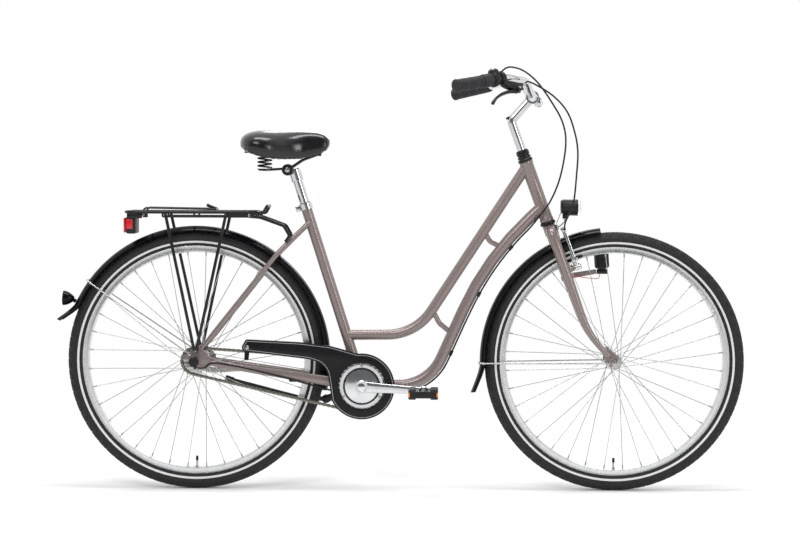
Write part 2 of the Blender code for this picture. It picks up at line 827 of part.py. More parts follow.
def pedal(name, eye, side):
    """A block pedal: a barrel on the axle, two long blocks with ridges, and end bars that join them."""
    start = eye + LEFT * side * GAP
    body = start + LEFT * side * 0.010
    middle = body + LEFT * side * PEDAL_WIDTH / 2
    pieces = [rod(start, middle, 0.0065, None, 8), rod(body, body + LEFT * side * PEDAL_WIDTH, 0.0105, None, 8)]
    for ahead in (-1, 1):
        block = middle + Vector((ahead * (PEDAL_LENGTH / 2 - 0.007), 0, 0))
        pieces.append(box(block, (0.014, PEDAL_WIDTH, PEDAL_THICKNESS)))
    for share in (0.08, 0.92):
        bar = body + LEFT * side * PEDAL_WIDTH * share
        pieces.append(box(bar, (PEDAL_LENGTH - 0.010, 0.011, PEDAL_THICKNESS - 0.007)))
    return finish(fuse(*pieces), name, BLACK_PLASTIC, eye)


pedal("pedal_right", right_eye, -1)
pedal("pedal_left", left_eye, 1)


# Frame


STAY_BEND = around(REAR_AXLE, FENDER_RADIUS + 0.0034, 52.64)
STAY_BRIDGE = around(REAR_AXLE, FENDER_RADIUS + 0.0234, 52.30)
BRIDGE_RADIUS = 0.0060


def stay_path(side):
    """The right or left seat stay, which draws in above the wheel to meet the seat tube."""
    low = REAR_AXLE + Vector((0.012, side * (REAR_STAY_GAP / 2 + 0.0004), 0.026))
    high = seat(SEAT_TUBE_LENGTH - 0.054, 0, side * 0.010)
    return bent([low, STAY_BEND + LEFT * side * 0.0370, high], [0.08], 20)


def chainstay_path(side):
    low = REAR_AXLE + Vector((0.036, side * (REAR_STAY_GAP / 2 - 0.0007), -0.004))
    waist = BRACKET + Vector((-0.105, side * 0.0345, 0.014))
    return bent([low, waist, BRACKET + Vector((-0.012, side * 0.0235, 0.001))], [0.25], 9)


HEAD_JOIN = steer(HEAD_HIGH - 0.010, 0)
upper_bend = BRACKET + Vector((0.1475, 0, 0.139))
upper_end = seat(0.144)
upper_path = bent([HEAD_JOIN, upper_bend, upper_end], [0.145], 16)
LOWER_JOIN = steer(HEAD_LOW + 0.042, 0)
lower_bend = BRACKET + Vector((0.343, 0, 0.353))
lower_corner = BRACKET + Vector((0.183, 0, -0.003))
lower_path = bent([LOWER_JOIN, lower_bend, lower_corner, BRACKET], [0.80, 0.127], 13)


def on_path(path, share):
    """The place at that share of a path's length."""
    left = share * sum((b - a).length for a, b in zip(path, path[1:]))
    for a, b in zip(path, path[1:]):
        run = (b - a).length
        if left <= run:
            return a.lerp(b, left / run)
        left -= run
    return path[-1]


def brace(high, low, sag, radius):
    """A short curved brace from the upper tube to the lower one."""
    middle = high.lerp(low, 0.465) + (low - high).normalized().cross(LEFT) * -sag
    return tube(bent([high, middle, low], [radius], 35), 0.0072, 6)


def frame():
    pieces = [
        rod(steer(HEAD_LOW, 0), steer(HEAD_HIGH, 0), HEAD_RADIUS, None, 14),
        tube(lower_path, LOWER_TUBE_RADIUS, 8),
        tube(upper_path, UPPER_TUBE_RADIUS, 8),
        rod(seat(0), seat(SEAT_TUBE_LENGTH), SEAT_TUBE_RADIUS, None, 12),
        rod(BRACKET - LEFT * BRACKET_WIDTH / 2, BRACKET + LEFT * BRACKET_WIDTH / 2, BRACKET_RADIUS, None, 14),
    ]
    pieces.append(brace(on_path(upper_path, 0.293), on_path(lower_path, 0.2065), 0.0109, 0.022))
    pieces.append(brace(on_path(upper_path, 0.645), on_path(lower_path, 0.5735), 0.0090, 0.030))
    for side in (-1, 1):
        path = chainstay_path(side)
        share = tapered(path, 0.0, 1.0)
        halves = [
            (0.0070 + (CHAINSTAY_HALF_HEIGHT - 0.0070) * min(1, s * 1.3), 0.0055 + (CHAINSTAY_HALF_WIDTH - 0.0055) * s)
            for s in share
        ]
        pieces.append(sweep(path, halves, LEFT, 6))
        stay = stay_path(side)
        stay.insert(1, stay[0].lerp(stay[1], 0.2))
        pieces.append(tube(stay, [0.0044] + [STAY_RADIUS] * (len(stay) - 1), 6))
    pieces.append(rod(STAY_BRIDGE - LEFT * 0.032, STAY_BRIDGE + LEFT * 0.032, BRIDGE_RADIUS, None, 8))
    low_bridge = BRACKET + Vector((-0.080, 0, 0.010))
    pieces.append(rod(low_bridge - LEFT * 0.030, low_bridge + LEFT * 0.030, 0.0075, None, 8))
    outline = [(-28, -7), (-8, -15), (20, -20), (44, -13), (46, 9), (22, 34), (8, 39), (-8, 33), (-28, 14)]
    for side in (-1, 1):
        shape = [(REAR_AXLE.x + a / 1000, REAR_AXLE.z + b / 1000) for a, b in outline]
        pieces.append(plate([shape], side * (REAR_STAY_GAP + DROPOUT_THICKNESS) / 2, DROPOUT_THICKNESS))
    made = fuse(*pieces)
    slot_radius = AXLE_RADIUS + GAP
    reach = LEFT * (REAR_FACE + 0.01)
    return cut(
        made,
        rod(steer(HEAD_LOW - 0.02, 0), steer(HEAD_HIGH + 0.02, 0), HEAD_BORE, None, 12),
        rod(seat(SEAT_TUBE_LENGTH - POST_INSERT - POST_DROP), seat(SEAT_TUBE_LENGTH + 0.02), POST_RADIUS + GAP, None, 12),
        rod(BRACKET - LEFT * 0.06, BRACKET + LEFT * 0.06, SPINDLE_RADIUS + RUNNING_GAP, None, 12),
        rod(REAR_AXLE - reach, REAR_AXLE + reach, slot_radius, None, 8),
        box(REAR_AXLE - Vector((0.030, 0, 0)), (0.060, 0.16, slot_radius * 1.96)),
    )


finish(frame(), "frame", PAINT)

# Headset: two cups pressed in the head tube, and the locknut that turns with the fork
cup_bore = STEERER_RADIUS + RUNNING_GAP
CUP_HEIGHT = 0.010
finish(
    turned(
        [
            (cup_bore, GAP),
            (HEAD_RADIUS, GAP),
            (HEAD_RADIUS + 0.0025, 0.003),
            (HEAD_RADIUS + 0.0025, 0.007),
            (HEAD_RADIUS, CUP_HEIGHT),
            (cup_bore, CUP_HEIGHT),
        ],
        steer(HEAD_HIGH, 0),
        FORK_UP,
        12,
    ),
    "headset_upper_cup",
    BLACK_METAL,
    steer(HEAD_HIGH, 0),
)
finish(
    turned(
        [
            (cup_bore, GAP),
            (HEAD_RADIUS, GAP),
            (HEAD_RADIUS + 0.0035, 0.004),
            (HEAD_RADIUS + 0.0035, 0.009),
            (HEAD_RADIUS, CUP_HEIGHT + 0.002),
            (cup_bore, CUP_HEIGHT + 0.002),
        ],
        steer(HEAD_LOW, 0),
        -FORK_UP,
        12,
    ),
    "headset_lower_cup",
    BLACK_METAL,
    steer(HEAD_LOW, 0),
)
NUT_LOW = HEAD_HIGH + CUP_HEIGHT + RUNNING_GAP
NUT_HEIGHT = 0.024
nut_bore = STEERER_RADIUS + GAP
finish(
    turned(
        [
            (nut_bore, 0),
            (0.0185, 0),
            (0.0185, 0.006),
            (0.0160, 0.008),
            (0.0180, 0.010),
            (0.0180, 0.020),
            (0.0155, NUT_HEIGHT),
            (nut_bore, NUT_HEIGHT),
        ],
        steer(NUT_LOW, 0),
        FORK_UP,
        12,
    ),
    "headset_locknut",
    BLACK_METAL,
    steer(NUT_LOW, 0),
)


# Fork

CROWN = HEAD_LOW - CUP_HEIGHT - 0.002 - RUNNING_GAP
BLADE_STRAIGHT = 0.150
BRAKE_PIVOT = RIM_RADIUS - 0.0345
BRAKE_AHEAD = 0.034
PAD_HEIGHT = 0.0064


def blade_path(side):
    """From the crown out and down along the wheel, then forward in an even curve to the axle."""
    top = bent(
        [
            steer(CROWN - 0.0155, 0, side * 0.004),
            steer(CROWN - 0.0175, 0, side * 0.036),
            steer(CROWN - 0.060, 0, side * BLADE_SPREAD),
            steer(BLADE_STRAIGHT, 0, side * (BLADE_SPREAD + 0.004)),
        ],
        [0.020, 0.060],
        40,
    )
    steps = 4
    for step in range(1, steps + 1):
        share = step / steps
        along = BLADE_STRAIGHT + (0.022 - BLADE_STRAIGHT) * share
        spread = BLADE_SPREAD + 0.004 + (FRONT_FORK_GAP / 2 + 0.002 - BLADE_SPREAD - 0.004) * share
        top.append(steer(along, FORK_RAKE * 0.78 * share**2, side * spread))
    return top


def blade_radius(along):
    """A fork blade's radius at a height along the steering axis: it narrows from 0.1 below the crown to the axle."""
    top = CROWN - 0.1
    share = min(1.0, max(0.0, (top - along) / top))
    return BLADE_RADIUS + (BLADE_TIP_RADIUS - BLADE_RADIUS) * share


def fork():
    pieces = [rod(steer(CROWN - 0.028, 0), steer(CROWN, 0), 0.0175, None, 12)]
    pieces.append(rod(steer(CROWN - 0.010, 0), steer(NUT_LOW + NUT_HEIGHT - 0.002, 0), STEERER_RADIUS, None, 12))
    for side in (-1, 1):
        path = blade_path(side)
        pieces.append(tube(path, [blade_radius((place - FORK_FOOT).dot(FORK_UP)) for place in path], 8))
        outline = [(-17, -9), (9, -10), (11, 4), (2, 20), (-14, 38), (-24, 34), (-27, 8), (-27, -4)]
        shape = [(FRONT_AXLE.x + a / 1000, FRONT_AXLE.z + b / 1000) for a, b in outline]
        pieces.append(plate([shape], side * (FRONT_FORK_GAP + DROPOUT_THICKNESS) / 2, DROPOUT_THICKNESS))
        boss = [steer(BRAKE_PIVOT, 0.006, side * BLADE_SPREAD), steer(BRAKE_PIVOT, BRAKE_AHEAD + 0.006, side * BLADE_SPREAD)]
        pieces.append(rod(boss[0], boss[0].lerp(boss[1], 0.55), 0.0065, None, 8))
        pieces.append(rod(boss[0], boss[1], 0.0040, None, 8))
    made = fuse(*pieces)
    reach = LEFT * (FRONT_FACE + 0.01)
    slot_radius = AXLE_RADIUS + GAP
    slot_turn = axes(-FORK_UP, LEFT)
    return cut(
        made,
        rod(steer(HEAD_HIGH - 0.075, 0), steer(HEAD_HIGH + 0.08, 0), BAR_RADIUS + GAP, None, 12),
        rod(FRONT_AXLE - reach, FRONT_AXLE + reach, slot_radius, None, 8),
        box(FRONT_AXLE - FORK_UP * 0.015, (0.030, 0.16, slot_radius * 1.96), slot_turn),
    )


finish(fork(), "fork", PAINT, FORK_FOOT)


# Stem and handlebar

STEM_TOP = STEM_BEND + 0.0407
STEM_REACH = 0.0754
STEM_START = NUT_LOW + NUT_HEIGHT + GAP
CLAMP = steer(STEM_TOP, STEM_REACH)
CLAMP_WIDTH = 0.044


def stem():
    extension = (CLAMP - steer(STEM_BEND, 0)).normalized()
    made = fuse(
        rod(steer(HEAD_HIGH - 0.060, 0), steer(STEM_START + 0.01, 0), BAR_RADIUS, None, 12),
        tube([steer(STEM_START, 0), steer(STEM_BEND, 0), CLAMP - extension * 0.010], STEM_RADIUS, 10),
        rod(CLAMP - LEFT * CLAMP_WIDTH / 2, CLAMP + LEFT * CLAMP_WIDTH / 2, 0.0185, None, 12),
        box(CLAMP + FORK_AHEAD * 0.010 - FORK_UP * 0.016, (0.022, 0.034, 0.026), axes(FORK_AHEAD, LEFT)),
    )
    return cut(
        made,
        rod(CLAMP - LEFT * CLAMP_WIDTH, CLAMP + LEFT * CLAMP_WIDTH, BAR_CENTRE_RADIUS + GAP, None, 12),
    )


finish(stem(), "stem", POLISHED, steer(STEM_START, 0))


def bar_path(side):
    end = CLAMP + Vector((-0.209, side * BAR_HALF_WIDTH, 0.019))
    rise = CLAMP + Vector((-0.025, side * 0.105, 0.044))
    return bent(
        [CLAMP, CLAMP + Vector((0, side * 0.045, 0)), rise, rise + Vector((-0.048, side * 0.077, 0.003)), end],
        [0.030, 0.035, 0.060],
        20,
    )


right_bar = bar_path(-1)
left_bar = bar_path(1)
BAR_END = right_bar[-1]
GRIP_AHEAD = (right_bar[-2] - right_bar[-1]).normalized()


def on_grip(distance, side=-1):
    """A place on the handlebar's straight end, a distance in from its tip."""
    place = BAR_END + GRIP_AHEAD * distance
    return Vector((place.x, place.y if side < 0 else -place.y, place.z))


def grip_axis(side=-1):
    return Vector((GRIP_AHEAD.x, GRIP_AHEAD.y if side < 0 else -GRIP_AHEAD.y, GRIP_AHEAD.z))


finish(
    fuse(
        tube(list(reversed(right_bar)) + left_bar[1:], BAR_RADIUS, 8),
        rod(CLAMP - LEFT * 0.036, CLAMP + LEFT * 0.036, BAR_CENTRE_RADIUS, None, 12),
    ),
    "handlebar",
    POLISHED,
    CLAMP,
)

END_CAP = 0.004


def grip(name, side, length):
    bore = clear_bore(BAR_RADIUS, 10)
    profile = [(0, -END_CAP), (GRIP_RADIUS * 0.85, -END_CAP), (GRIP_RADIUS + 0.0010, -0.001), (GRIP_RADIUS + 0.0010, 0.002)]
    rings = 2
    for ring in range(rings):
        start = 0.006 + (length - 0.010) * ring / rings
        end = 0.006 + (length - 0.010) * (ring + 0.8) / rings
        profile += [(GRIP_RADIUS - 0.0010, start), (GRIP_RADIUS, end)]
    profile += [(GRIP_RADIUS - 0.0008, length), (bore, length), (bore, -GAP), (0, -GAP)]
    made = turned(profile, on_grip(0, side), grip_axis(side), 10, closed=False)
    return finish(made, name, GRIP, on_grip(0, side), 50)


grip("grip_right", -1, RIGHT_GRIP)
grip("grip_left", 1, LEFT_GRIP)

TWIST_START = RIGHT_GRIP + GAP
TWIST_END = TWIST_START + TWIST_LENGTH
SHIFTER_END = TWIST_END + 0.022
GRIP_UP = (UP - grip_axis() * UP.dot(grip_axis())).normalized()
GRIP_FRONT = grip_axis().cross(GRIP_UP)
SHIFTER_ROOT = on_grip(TWIST_END) + grip_axis() * 0.006 + GRIP_FRONT * 0.008 + GRIP_UP * 0.009
SHIFTER_OUTLET = on_grip(TWIST_END) + grip_axis() * 0.0235 + GRIP_FRONT * 0.0125 + GRIP_UP * 0.0165
bar_bore = clear_bore(BAR_RADIUS, 12)


def shifter_twist():
    ribs = 8
    tread = GRIP_RADIUS + 0.0015
    outline = []
    for rib in range(ribs * 2):
        radius = tread if rib % 2 else tread - 0.0012
        angle = math.pi * rib / ribs
        outline.append((radius * math.cos(angle), radius * math.sin(angle)))
    middle = on_grip((TWIST_START + TWIST_END) / 2)
    plane = Matrix.Translation(middle) @ grip_axis().to_track_quat("Z", "Y").to_matrix().to_4x4()
    made = plate([outline, circle(bar_bore, 12)], 0, TWIST_LENGTH - RUNNING_GAP, plane)
    return finish(made, "shifter_twist", GRIP, middle)


shifter_twist()


def shifter_housing():
    """The shifter's fixed half, with its domed window on top and the cable's outlet in front."""
    axis = grip_axis()
    start = on_grip(TWIST_END)
    body = turned(
        [(bar_bore, GAP), (0.0200, GAP), (0.0210, 0.006), (0.0185, 0.020), (bar_bore, 0.022)], start, axis, 12
    )
    back = Vector((-0.30, 0.0, 0.95)).normalized()
    dome = [start + axis * 0.0145 + back * d for d in (0.012, 0.024, 0.031)]
    window = loft(
        [
            [centre + axis * across * c + axis.cross(back).normalized() * deep * s for c, s in circle(1.0, 8)]
            for centre, across, deep in zip(dome, (0.0130, 0.0120, 0.0070), (0.0170, 0.0150, 0.0080))
        ]
    )
    outlet = rod(SHIFTER_ROOT, SHIFTER_OUTLET, 0.006, 0.004, 8)
    bore = rod(start - axis * 0.02, start + axis * 0.06, bar_bore, None, 12)
    return finish(cut(fuse(body, window, outlet), bore), "shifter_housing", BLACK_PLASTIC, start)


shifter_housing()

# Brake lever
LEVER_STATION = SHIFTER_END + 0.0055
LEVER_DROOP = math.radians(60)
LEVER_ALONG = -grip_axis()
lever_flat = Vector((-LEVER_ALONG.y, LEVER_ALONG.x, 0)).normalized()
LEVER_OUT = (lever_flat * math.cos(LEVER_DROOP) - UP * math.sin(LEVER_DROOP)).normalized()
LEVER_OUT = (LEVER_OUT - LEVER_ALONG * LEVER_OUT.dot(LEVER_ALONG)).normalized()
LEVER_AXIS = LEVER_OUT.cross(LEVER_ALONG).normalized()
lever_base = on_grip(LEVER_STATION)


def at_lever(along, out, up=0.0):
    return lever_base + LEVER_ALONG * along + LEVER_OUT * out + LEVER_AXIS * up


LEVER_PIVOT = at_lever(-0.046, 0.040)
LEVER_HALF = 0.0045


def brake_bracket():
    collar = turned(
        [(bar_bore, 0), (0.0165, 0), (0.0165, 0.014), (bar_bore, 0.014)],
        lever_base,
        grip_axis(),
        12,
    )
    hood = sweep(
        [at_lever(-0.004, 0.014), at_lever(-0.020, 0.024), at_lever(-0.042, 0.031), at_lever(-0.064, 0.030)],
        [(0.0085, 0.011), (0.0115, 0.012), (0.0110, 0.0115), (0.0055, 0.007)],
        LEVER_AXIS,
        8,
        3,
    )
    made = fuse(collar, hood, rod(at_lever(-0.060, 0.030), at_lever(-0.076, 0.028), 0.0042, None, 6))
    ears = [
        box(at_lever(-0.046, 0.037, side * (LEVER_HALF + 0.0030)), (0.020, 0.022, 0.0040), axes(LEVER_ALONG, LEVER_OUT))
        for side in (-1, 1)
    ]
    space = box(at_lever(-0.042, 0.047), (0.060, 0.034, 2 * (LEVER_HALF + RUNNING_GAP)), axes(LEVER_ALONG, LEVER_OUT))
    bore = rod(on_grip(LEVER_STATION - 0.05), on_grip(LEVER_STATION + 0.05), bar_bore, None, 12)
    return finish(cut(fuse(made, *ears), space, bore), "brake_lever_bracket", POLISHED, lever_base)


brake_bracket()


def brake_lever():
    places = [
        at_lever(-0.052, 0.041),
        at_lever(-0.036, 0.044),
        at_lever(-0.010, 0.043),
        at_lever(0.020, 0.047),
        at_lever(0.045, 0.056),
        at_lever(0.062, 0.067),
    ]
    halves = [(0.0055, LEVER_HALF), (0.0065, LEVER_HALF), (0.0048, LEVER_HALF), (0.0042, 0.0062), (0.0040, 0.0066), (0.0050, 0.0050)]
    blade = sweep(places, halves, LEVER_AXIS, 8, 3)
    return finish(blade, "brake_lever", BLACK_METAL, LEVER_PIVOT)


brake_lever()


# Front brake arms


def brake_arm(name, side):
    """One arm of the rim brake, hung on its boss, with its pad held level with the rim."""
    y = side * BLADE_SPREAD
    pad_radius = RIM_RADIUS - BRAKE_TRACK + PAD_HEIGHT / 2
    pad_along = math.sqrt(pad_radius**2 - (FORK_RAKE - BRAKE_AHEAD) ** 2)
    pivot = steer(BRAKE_PIVOT, BRAKE_AHEAD, y)
    hub_ends = [steer(BRAKE_PIVOT, BRAKE_AHEAD - 0.0065, y), steer(BRAKE_PIVOT, BRAKE_AHEAD + 0.0095, y)]
    top = steer(BRAKE_PIVOT + 0.108, BRAKE_AHEAD, y - side * 0.006)
    arm = sweep(
        [steer(BRAKE_PIVOT - 0.004, BRAKE_AHEAD, y), steer(pad_along, BRAKE_AHEAD, y + side * 0.001), top],
        [(0.0085, 0.0055), (0.0075, 0.0050), (0.0045, 0.0042)],
        FORK_AHEAD,
        6,
        3,
    )
    face = RIM_WIDTH / 2 + 0.0019
    to_pad = steer(pad_along, BRAKE_AHEAD) - FRONT_AXLE
    middle = math.degrees(math.atan2(to_pad.z, to_pad.x))
    curve = ring_outline(FRONT_AXLE, pad_radius + PAD_HEIGHT / 2, 4, middle - 4.4, middle + 4.4)
    curve += ring_outline(FRONT_AXLE, pad_radius - PAD_HEIGHT / 2, 2, middle + 4.4, middle - 4.4)
    pad = plate([curve], side * (face + 0.0045), 0.009)
    post_ends = [side * (face + 0.006), y + side * 0.012]
    post = rod(*[steer(pad_along, BRAKE_AHEAD, end) for end in post_ends], 0.0035, None, 6)
    washer_ends = [y - side * 0.012, y + side * 0.009]
    washer = rod(*[steer(pad_along, BRAKE_AHEAD, end) for end in washer_ends], 0.0072, None, 8)
    cradle = rod(top + LEFT * side * 0.005, top - LEFT * side * 0.005, 0.0062, None, 6)
    made = fuse(rod(*hub_ends, 0.0088, None, 8), arm, post, washer, pad, cradle)
    bore = rod(steer(BRAKE_PIVOT, 0, y), steer(BRAKE_PIVOT, BRAKE_AHEAD + 0.0064, y), 0.0040 + RUNNING_GAP, None, 8)
    return finish(cut(made, bore), name, POLISHED, pivot)


brake_arm("brake_arm_right", -1)
brake_arm("brake_arm_left", 1)


# Seat post, saddle frame and springs

finish(
    rod(seat(SEAT_TUBE_LENGTH - POST_INSERT), seat(POST_TOP), POST_RADIUS, None, 12),
    "seatpost",
    POLISHED,
    seat(SEAT_TUBE_LENGTH),
)
band_low = SEAT_TUBE_LENGTH - 0.020
band = turned(
    [
        (SEAT_TUBE_RADIUS + GAP, 0),
        (SEAT_TUBE_RADIUS + 0.0034, 0),
        (SEAT_TUBE_RADIUS + 0.0034, 0.018),
        (SEAT_TUBE_RADIUS + GAP, 0.018),
    ],
    seat(band_low),
    SEAT_UP,
    12,
)
ear = seat(band_low + 0.009, -SEAT_TUBE_RADIUS - 0.0075)
finish(
    fuse(
        band,
        box(ear, (0.012, 0.016, 0.016), axes(SEAT_AHEAD, LEFT)),
        rod(ear - LEFT * 0.014, ear + LEFT * 0.012, 0.0042, None, 8),
    ),
    "seat_clamp",
    POLISHED,
    seat(band_low),
)

POST_HEAD = seat(POST_TOP)
SPRING_FOOT = POST_HEAD + Vector((-0.0814, 0, 0.0058))
SPRING_HEIGHT = 0.0355
SPRING_TOP = SPRING_FOOT.z + SPRING_HEIGHT
PAN_TOP = SPRING_TOP + 0.0110
PAN_THICKNESS = 0.0040
NOSE_PIVOT = POST_HEAD + Vector((0.0706, 0, 0.0438))
CLAMP_DISC = seat(POST_TOP + 0.0075, -0.0160)


def rail_path(side):
    return bent(
        [
            SPRING_FOOT + Vector((0, side * SPRING_SPREAD, -0.004)),
            SPRING_FOOT + Vector((0.032, side * 0.030, -0.002)),
            CLAMP_DISC + Vector((0.006, side * 0.022, 0.004)),
            POST_HEAD + Vector((0.0226, side * 0.020, 0.0293)),
            NOSE_PIVOT + Vector((-0.008, side * 0.012, 0)),
            NOSE_PIVOT + Vector((0, side * 0.004, 0)),
        ],
        [0.015, 0.040, 0.030, 0.006],
        50,
    )


def saddle_frame():
    pieces = [rod(CLAMP_DISC - LEFT * 0.028, CLAMP_DISC + LEFT * 0.028, 0.0158, None, 10)]
    pieces.append(rod(seat(POST_TOP - 0.030), seat(POST_TOP + 0.004), 0.0172, None, 12))
    for side in (-1, 1):
        pieces.append(tube(rail_path(side), 0.0033, 4))
        foot = SPRING_FOOT + LEFT * side * SPRING_SPREAD
        pieces.append(rod(foot - UP * 0.0065, foot - UP * GAP, 0.0125, 0.0175, 8))
        pieces.append(rod(CLAMP_DISC + LEFT * side * 0.024, CLAMP_DISC + LEFT * side * 0.034, 0.0075, None, 6))
    pieces.append(rod(NOSE_PIVOT - LEFT * 0.010, NOSE_PIVOT + LEFT * 0.010, 0.0036, None, 8))
    made = fuse(*pieces)
    return cut(made, rod(seat(POST_TOP - 0.05), seat(POST_TOP + GAP), POST_RADIUS + GAP, None, 12))


finish(saddle_frame(), "saddle_frame", BLACK_METAL, seat(POST_TOP))


def spring_points(side):
    """A coil of steady pitch with one flat turn started at each end."""
    per_turn = 8
    count = SPRING_TURNS * per_turn
    low = SPRING_FOOT.z + SPRING_WIRE * 0.9
    high = SPRING_TOP - SPRING_WIRE - GAP
    found = []
    for step in range(count + 1):
        angle = 2 * math.pi * step / per_turn
        centre = SPRING_FOOT + LEFT * side * SPRING_SPREAD
        found.append(
            Vector(
                (
                    centre.x + SPRING_RADIUS * math.cos(angle),
                    centre.y + side * SPRING_RADIUS * math.sin(angle),
                    low + (high - low) * step / count,
                )
            )
        )
    return found, per_turn


for name, side in (("saddle_spring_right", -1), ("saddle_spring_left", 1)):
    coil, per_turn = spring_points(side)
    finish(tube(coil, SPRING_WIRE, 6), name, BLACK_METAL, coil[0])
    gap = min((b - a).length for a, b in zip(coil, coil[per_turn:])) - 2 * SPRING_WIRE
    print(f"{name}: least gap between turns {gap * 1000:.2f} mm")


# Saddle: stations from tail to nose, as (x, half width, top z, skirt z), with x and z from the post's head
SADDLE_STATIONS = [
    (-0.1484, 0.44, 0.0883, 0.0663),
    (-0.1334, 0.80, 0.1013, 0.0553),
    (-0.1094, 0.98, 0.1098, 0.0458),
    (-0.0794, 1.00, 0.1108, 0.0373),
    (-0.0454, 0.835, 0.1076, 0.0309),
    (-0.0094, 0.555, 0.1064, 0.0308),
    (0.0406, 0.34, 0.1073, 0.0393),
    (0.0706, 0.29, 0.1048, 0.0513),
    (0.0906, 0.25, 0.0968, 0.0623),
    (0.0996, 0.14, 0.0843, 0.0703),
]


def saddle_ring(x, share, top, skirt):
    """One ring of the cushion: crowned on top, drawn in at the skirt, and hollow below."""
    w = SADDLE_WIDTH / 2 * share
    h = top - skirt
    top += POST_HEAD.z
    skirt += POST_HEAD.z
    roof = max(skirt + 0.004, min(PAN_TOP + GAP + 0.0034, top - 0.012))
    half = [
        (0.0, top - 0.0015 * share),
        (0.42 * w, top),
        (0.80 * w, top - 0.14 * h),
        (1.00 * w, top - 0.42 * h),
        (1.00 * w, top - 0.76 * h),
        (0.88 * w, skirt),
        (0.68 * w, roof),
        (0.0, roof),
    ]
    mirrored = [(-y, z) for y, z in reversed(half[1:-1])]
    return [Vector((POST_HEAD.x + x, y, z)) for y, z in half + mirrored]


def saddle_cushion():
    made = loft([saddle_ring(*station) for station in SADDLE_STATIONS])
    subsurf = made.modifiers.new("soft", "SUBSURF")
    subsurf.levels = 1
    subsurf.render_levels = 1
    return finish(baked(made), "saddle_cushion", LEATHERETTE, NOSE_PIVOT, 180)


saddle_cushion()


def saddle_pan():
    """The plate under the padding, with a seat for each spring and a lug for the nose pin."""
    right = [(POST_HEAD.x + x, SADDLE_WIDTH / 2 * share * 0.52) for x, share, top, skirt in SADDLE_STATIONS[1:-2]]
    outline = [(x, -y) for x, y in right] + [(x, y) for x, y in reversed(right)]
    plane = Matrix.Translation((0, 0, PAN_TOP - PAN_THICKNESS / 2))
    pieces = [plate([outline], 0, PAN_THICKNESS, plane)]
    for side in (-1, 1):
        seat_point = Vector((SPRING_FOOT.x, side * SPRING_SPREAD, SPRING_TOP))
        pieces.append(rod(seat_point, seat_point + UP * (PAN_TOP - SPRING_TOP - 0.001), 0.0172, None, 8))
    pin_top = NOSE_PIVOT.z + 0.0036 + RUNNING_GAP
    lug_top = PAN_TOP - 0.001
    pieces.append(box((NOSE_PIVOT.x, 0, (pin_top + lug_top) / 2), (0.010, 0.020, lug_top - pin_top)))
    return finish(fuse(*pieces), "saddle_pan", BLACK_PLASTIC, NOSE_PIVOT)


saddle_pan()


# Chain guard


def guard_outline():
    """The hockey-stick outline, anticlockwise: the round end about the bracket, the long arm, and its cut-off tip."""
    centre = BRACKET
    round_part = ring_outline(centre, GUARD_RADIUS, 15, 205 - 360, 96)
    top = [
        (centre.x - 0.086, centre.z + 0.1110),
        (centre.x - 0.170, centre.z + 0.1210),
        (centre.x - 0.317, centre.z + 0.1280),
    ]
    tip = [(centre.x - 0.335, centre.z + 0.0960)]
    low = [
        (centre.x - 0.145, centre.z + 0.0740),
        (centre.x - 0.112, centre.z + 0.0640),
        (centre.x - 0.094, centre.z + 0.0420),
        (centre.x - 0.0885, centre.z + 0.0100),
    ]
    return round_part + top + tip + low


def chain_guard():
    outline = guard_outline()
    y = -GUARD_FACE + GUARD_DEPTH / 2
    shell = plate([outline], y, GUARD_DEPTH)
    hollow = plate([inset(outline, GUARD_WALL)], y + GUARD_WALL, GUARD_DEPTH)
    opening = plate([ring_outline(BRACKET, GUARD_OPENING, 20)], y, GUARD_DEPTH * 2)
    made = cut(shell, hollow, opening)
    lip = turned(
        [
            (GUARD_OPENING - 0.0016, 0),
            (GUARD_OPENING + 0.0012, 0),
            (GUARD_OPENING + 0.0012, 0.0035),
            (GUARD_OPENING - 0.0016, 0.0035),
        ],
        BRACKET - LEFT * (GUARD_FACE + 0.0004),
        LEFT,
        20,
    )
    bolt = Vector((BRACKET.x - 0.313, -GUARD_FACE, BRACKET.z + 0.105))
    strap = [bolt + LEFT * 0.0030, bolt + LEFT * 0.0030 + Vector((-0.002, -0.003, -0.034))]
    made = fuse(made, lip, rod(bolt - LEFT * 0.002, bolt + LEFT * 0.004, 0.0055, None, 10))
    tab = sweep(strap, [(0.0070, 0.0014), (0.0060, 0.0014)], LEFT, 4, 8)
    return finish(fuse(made, tab), "chain_guard", BLACK_METAL, BRACKET)


chain_guard()


# Fenders


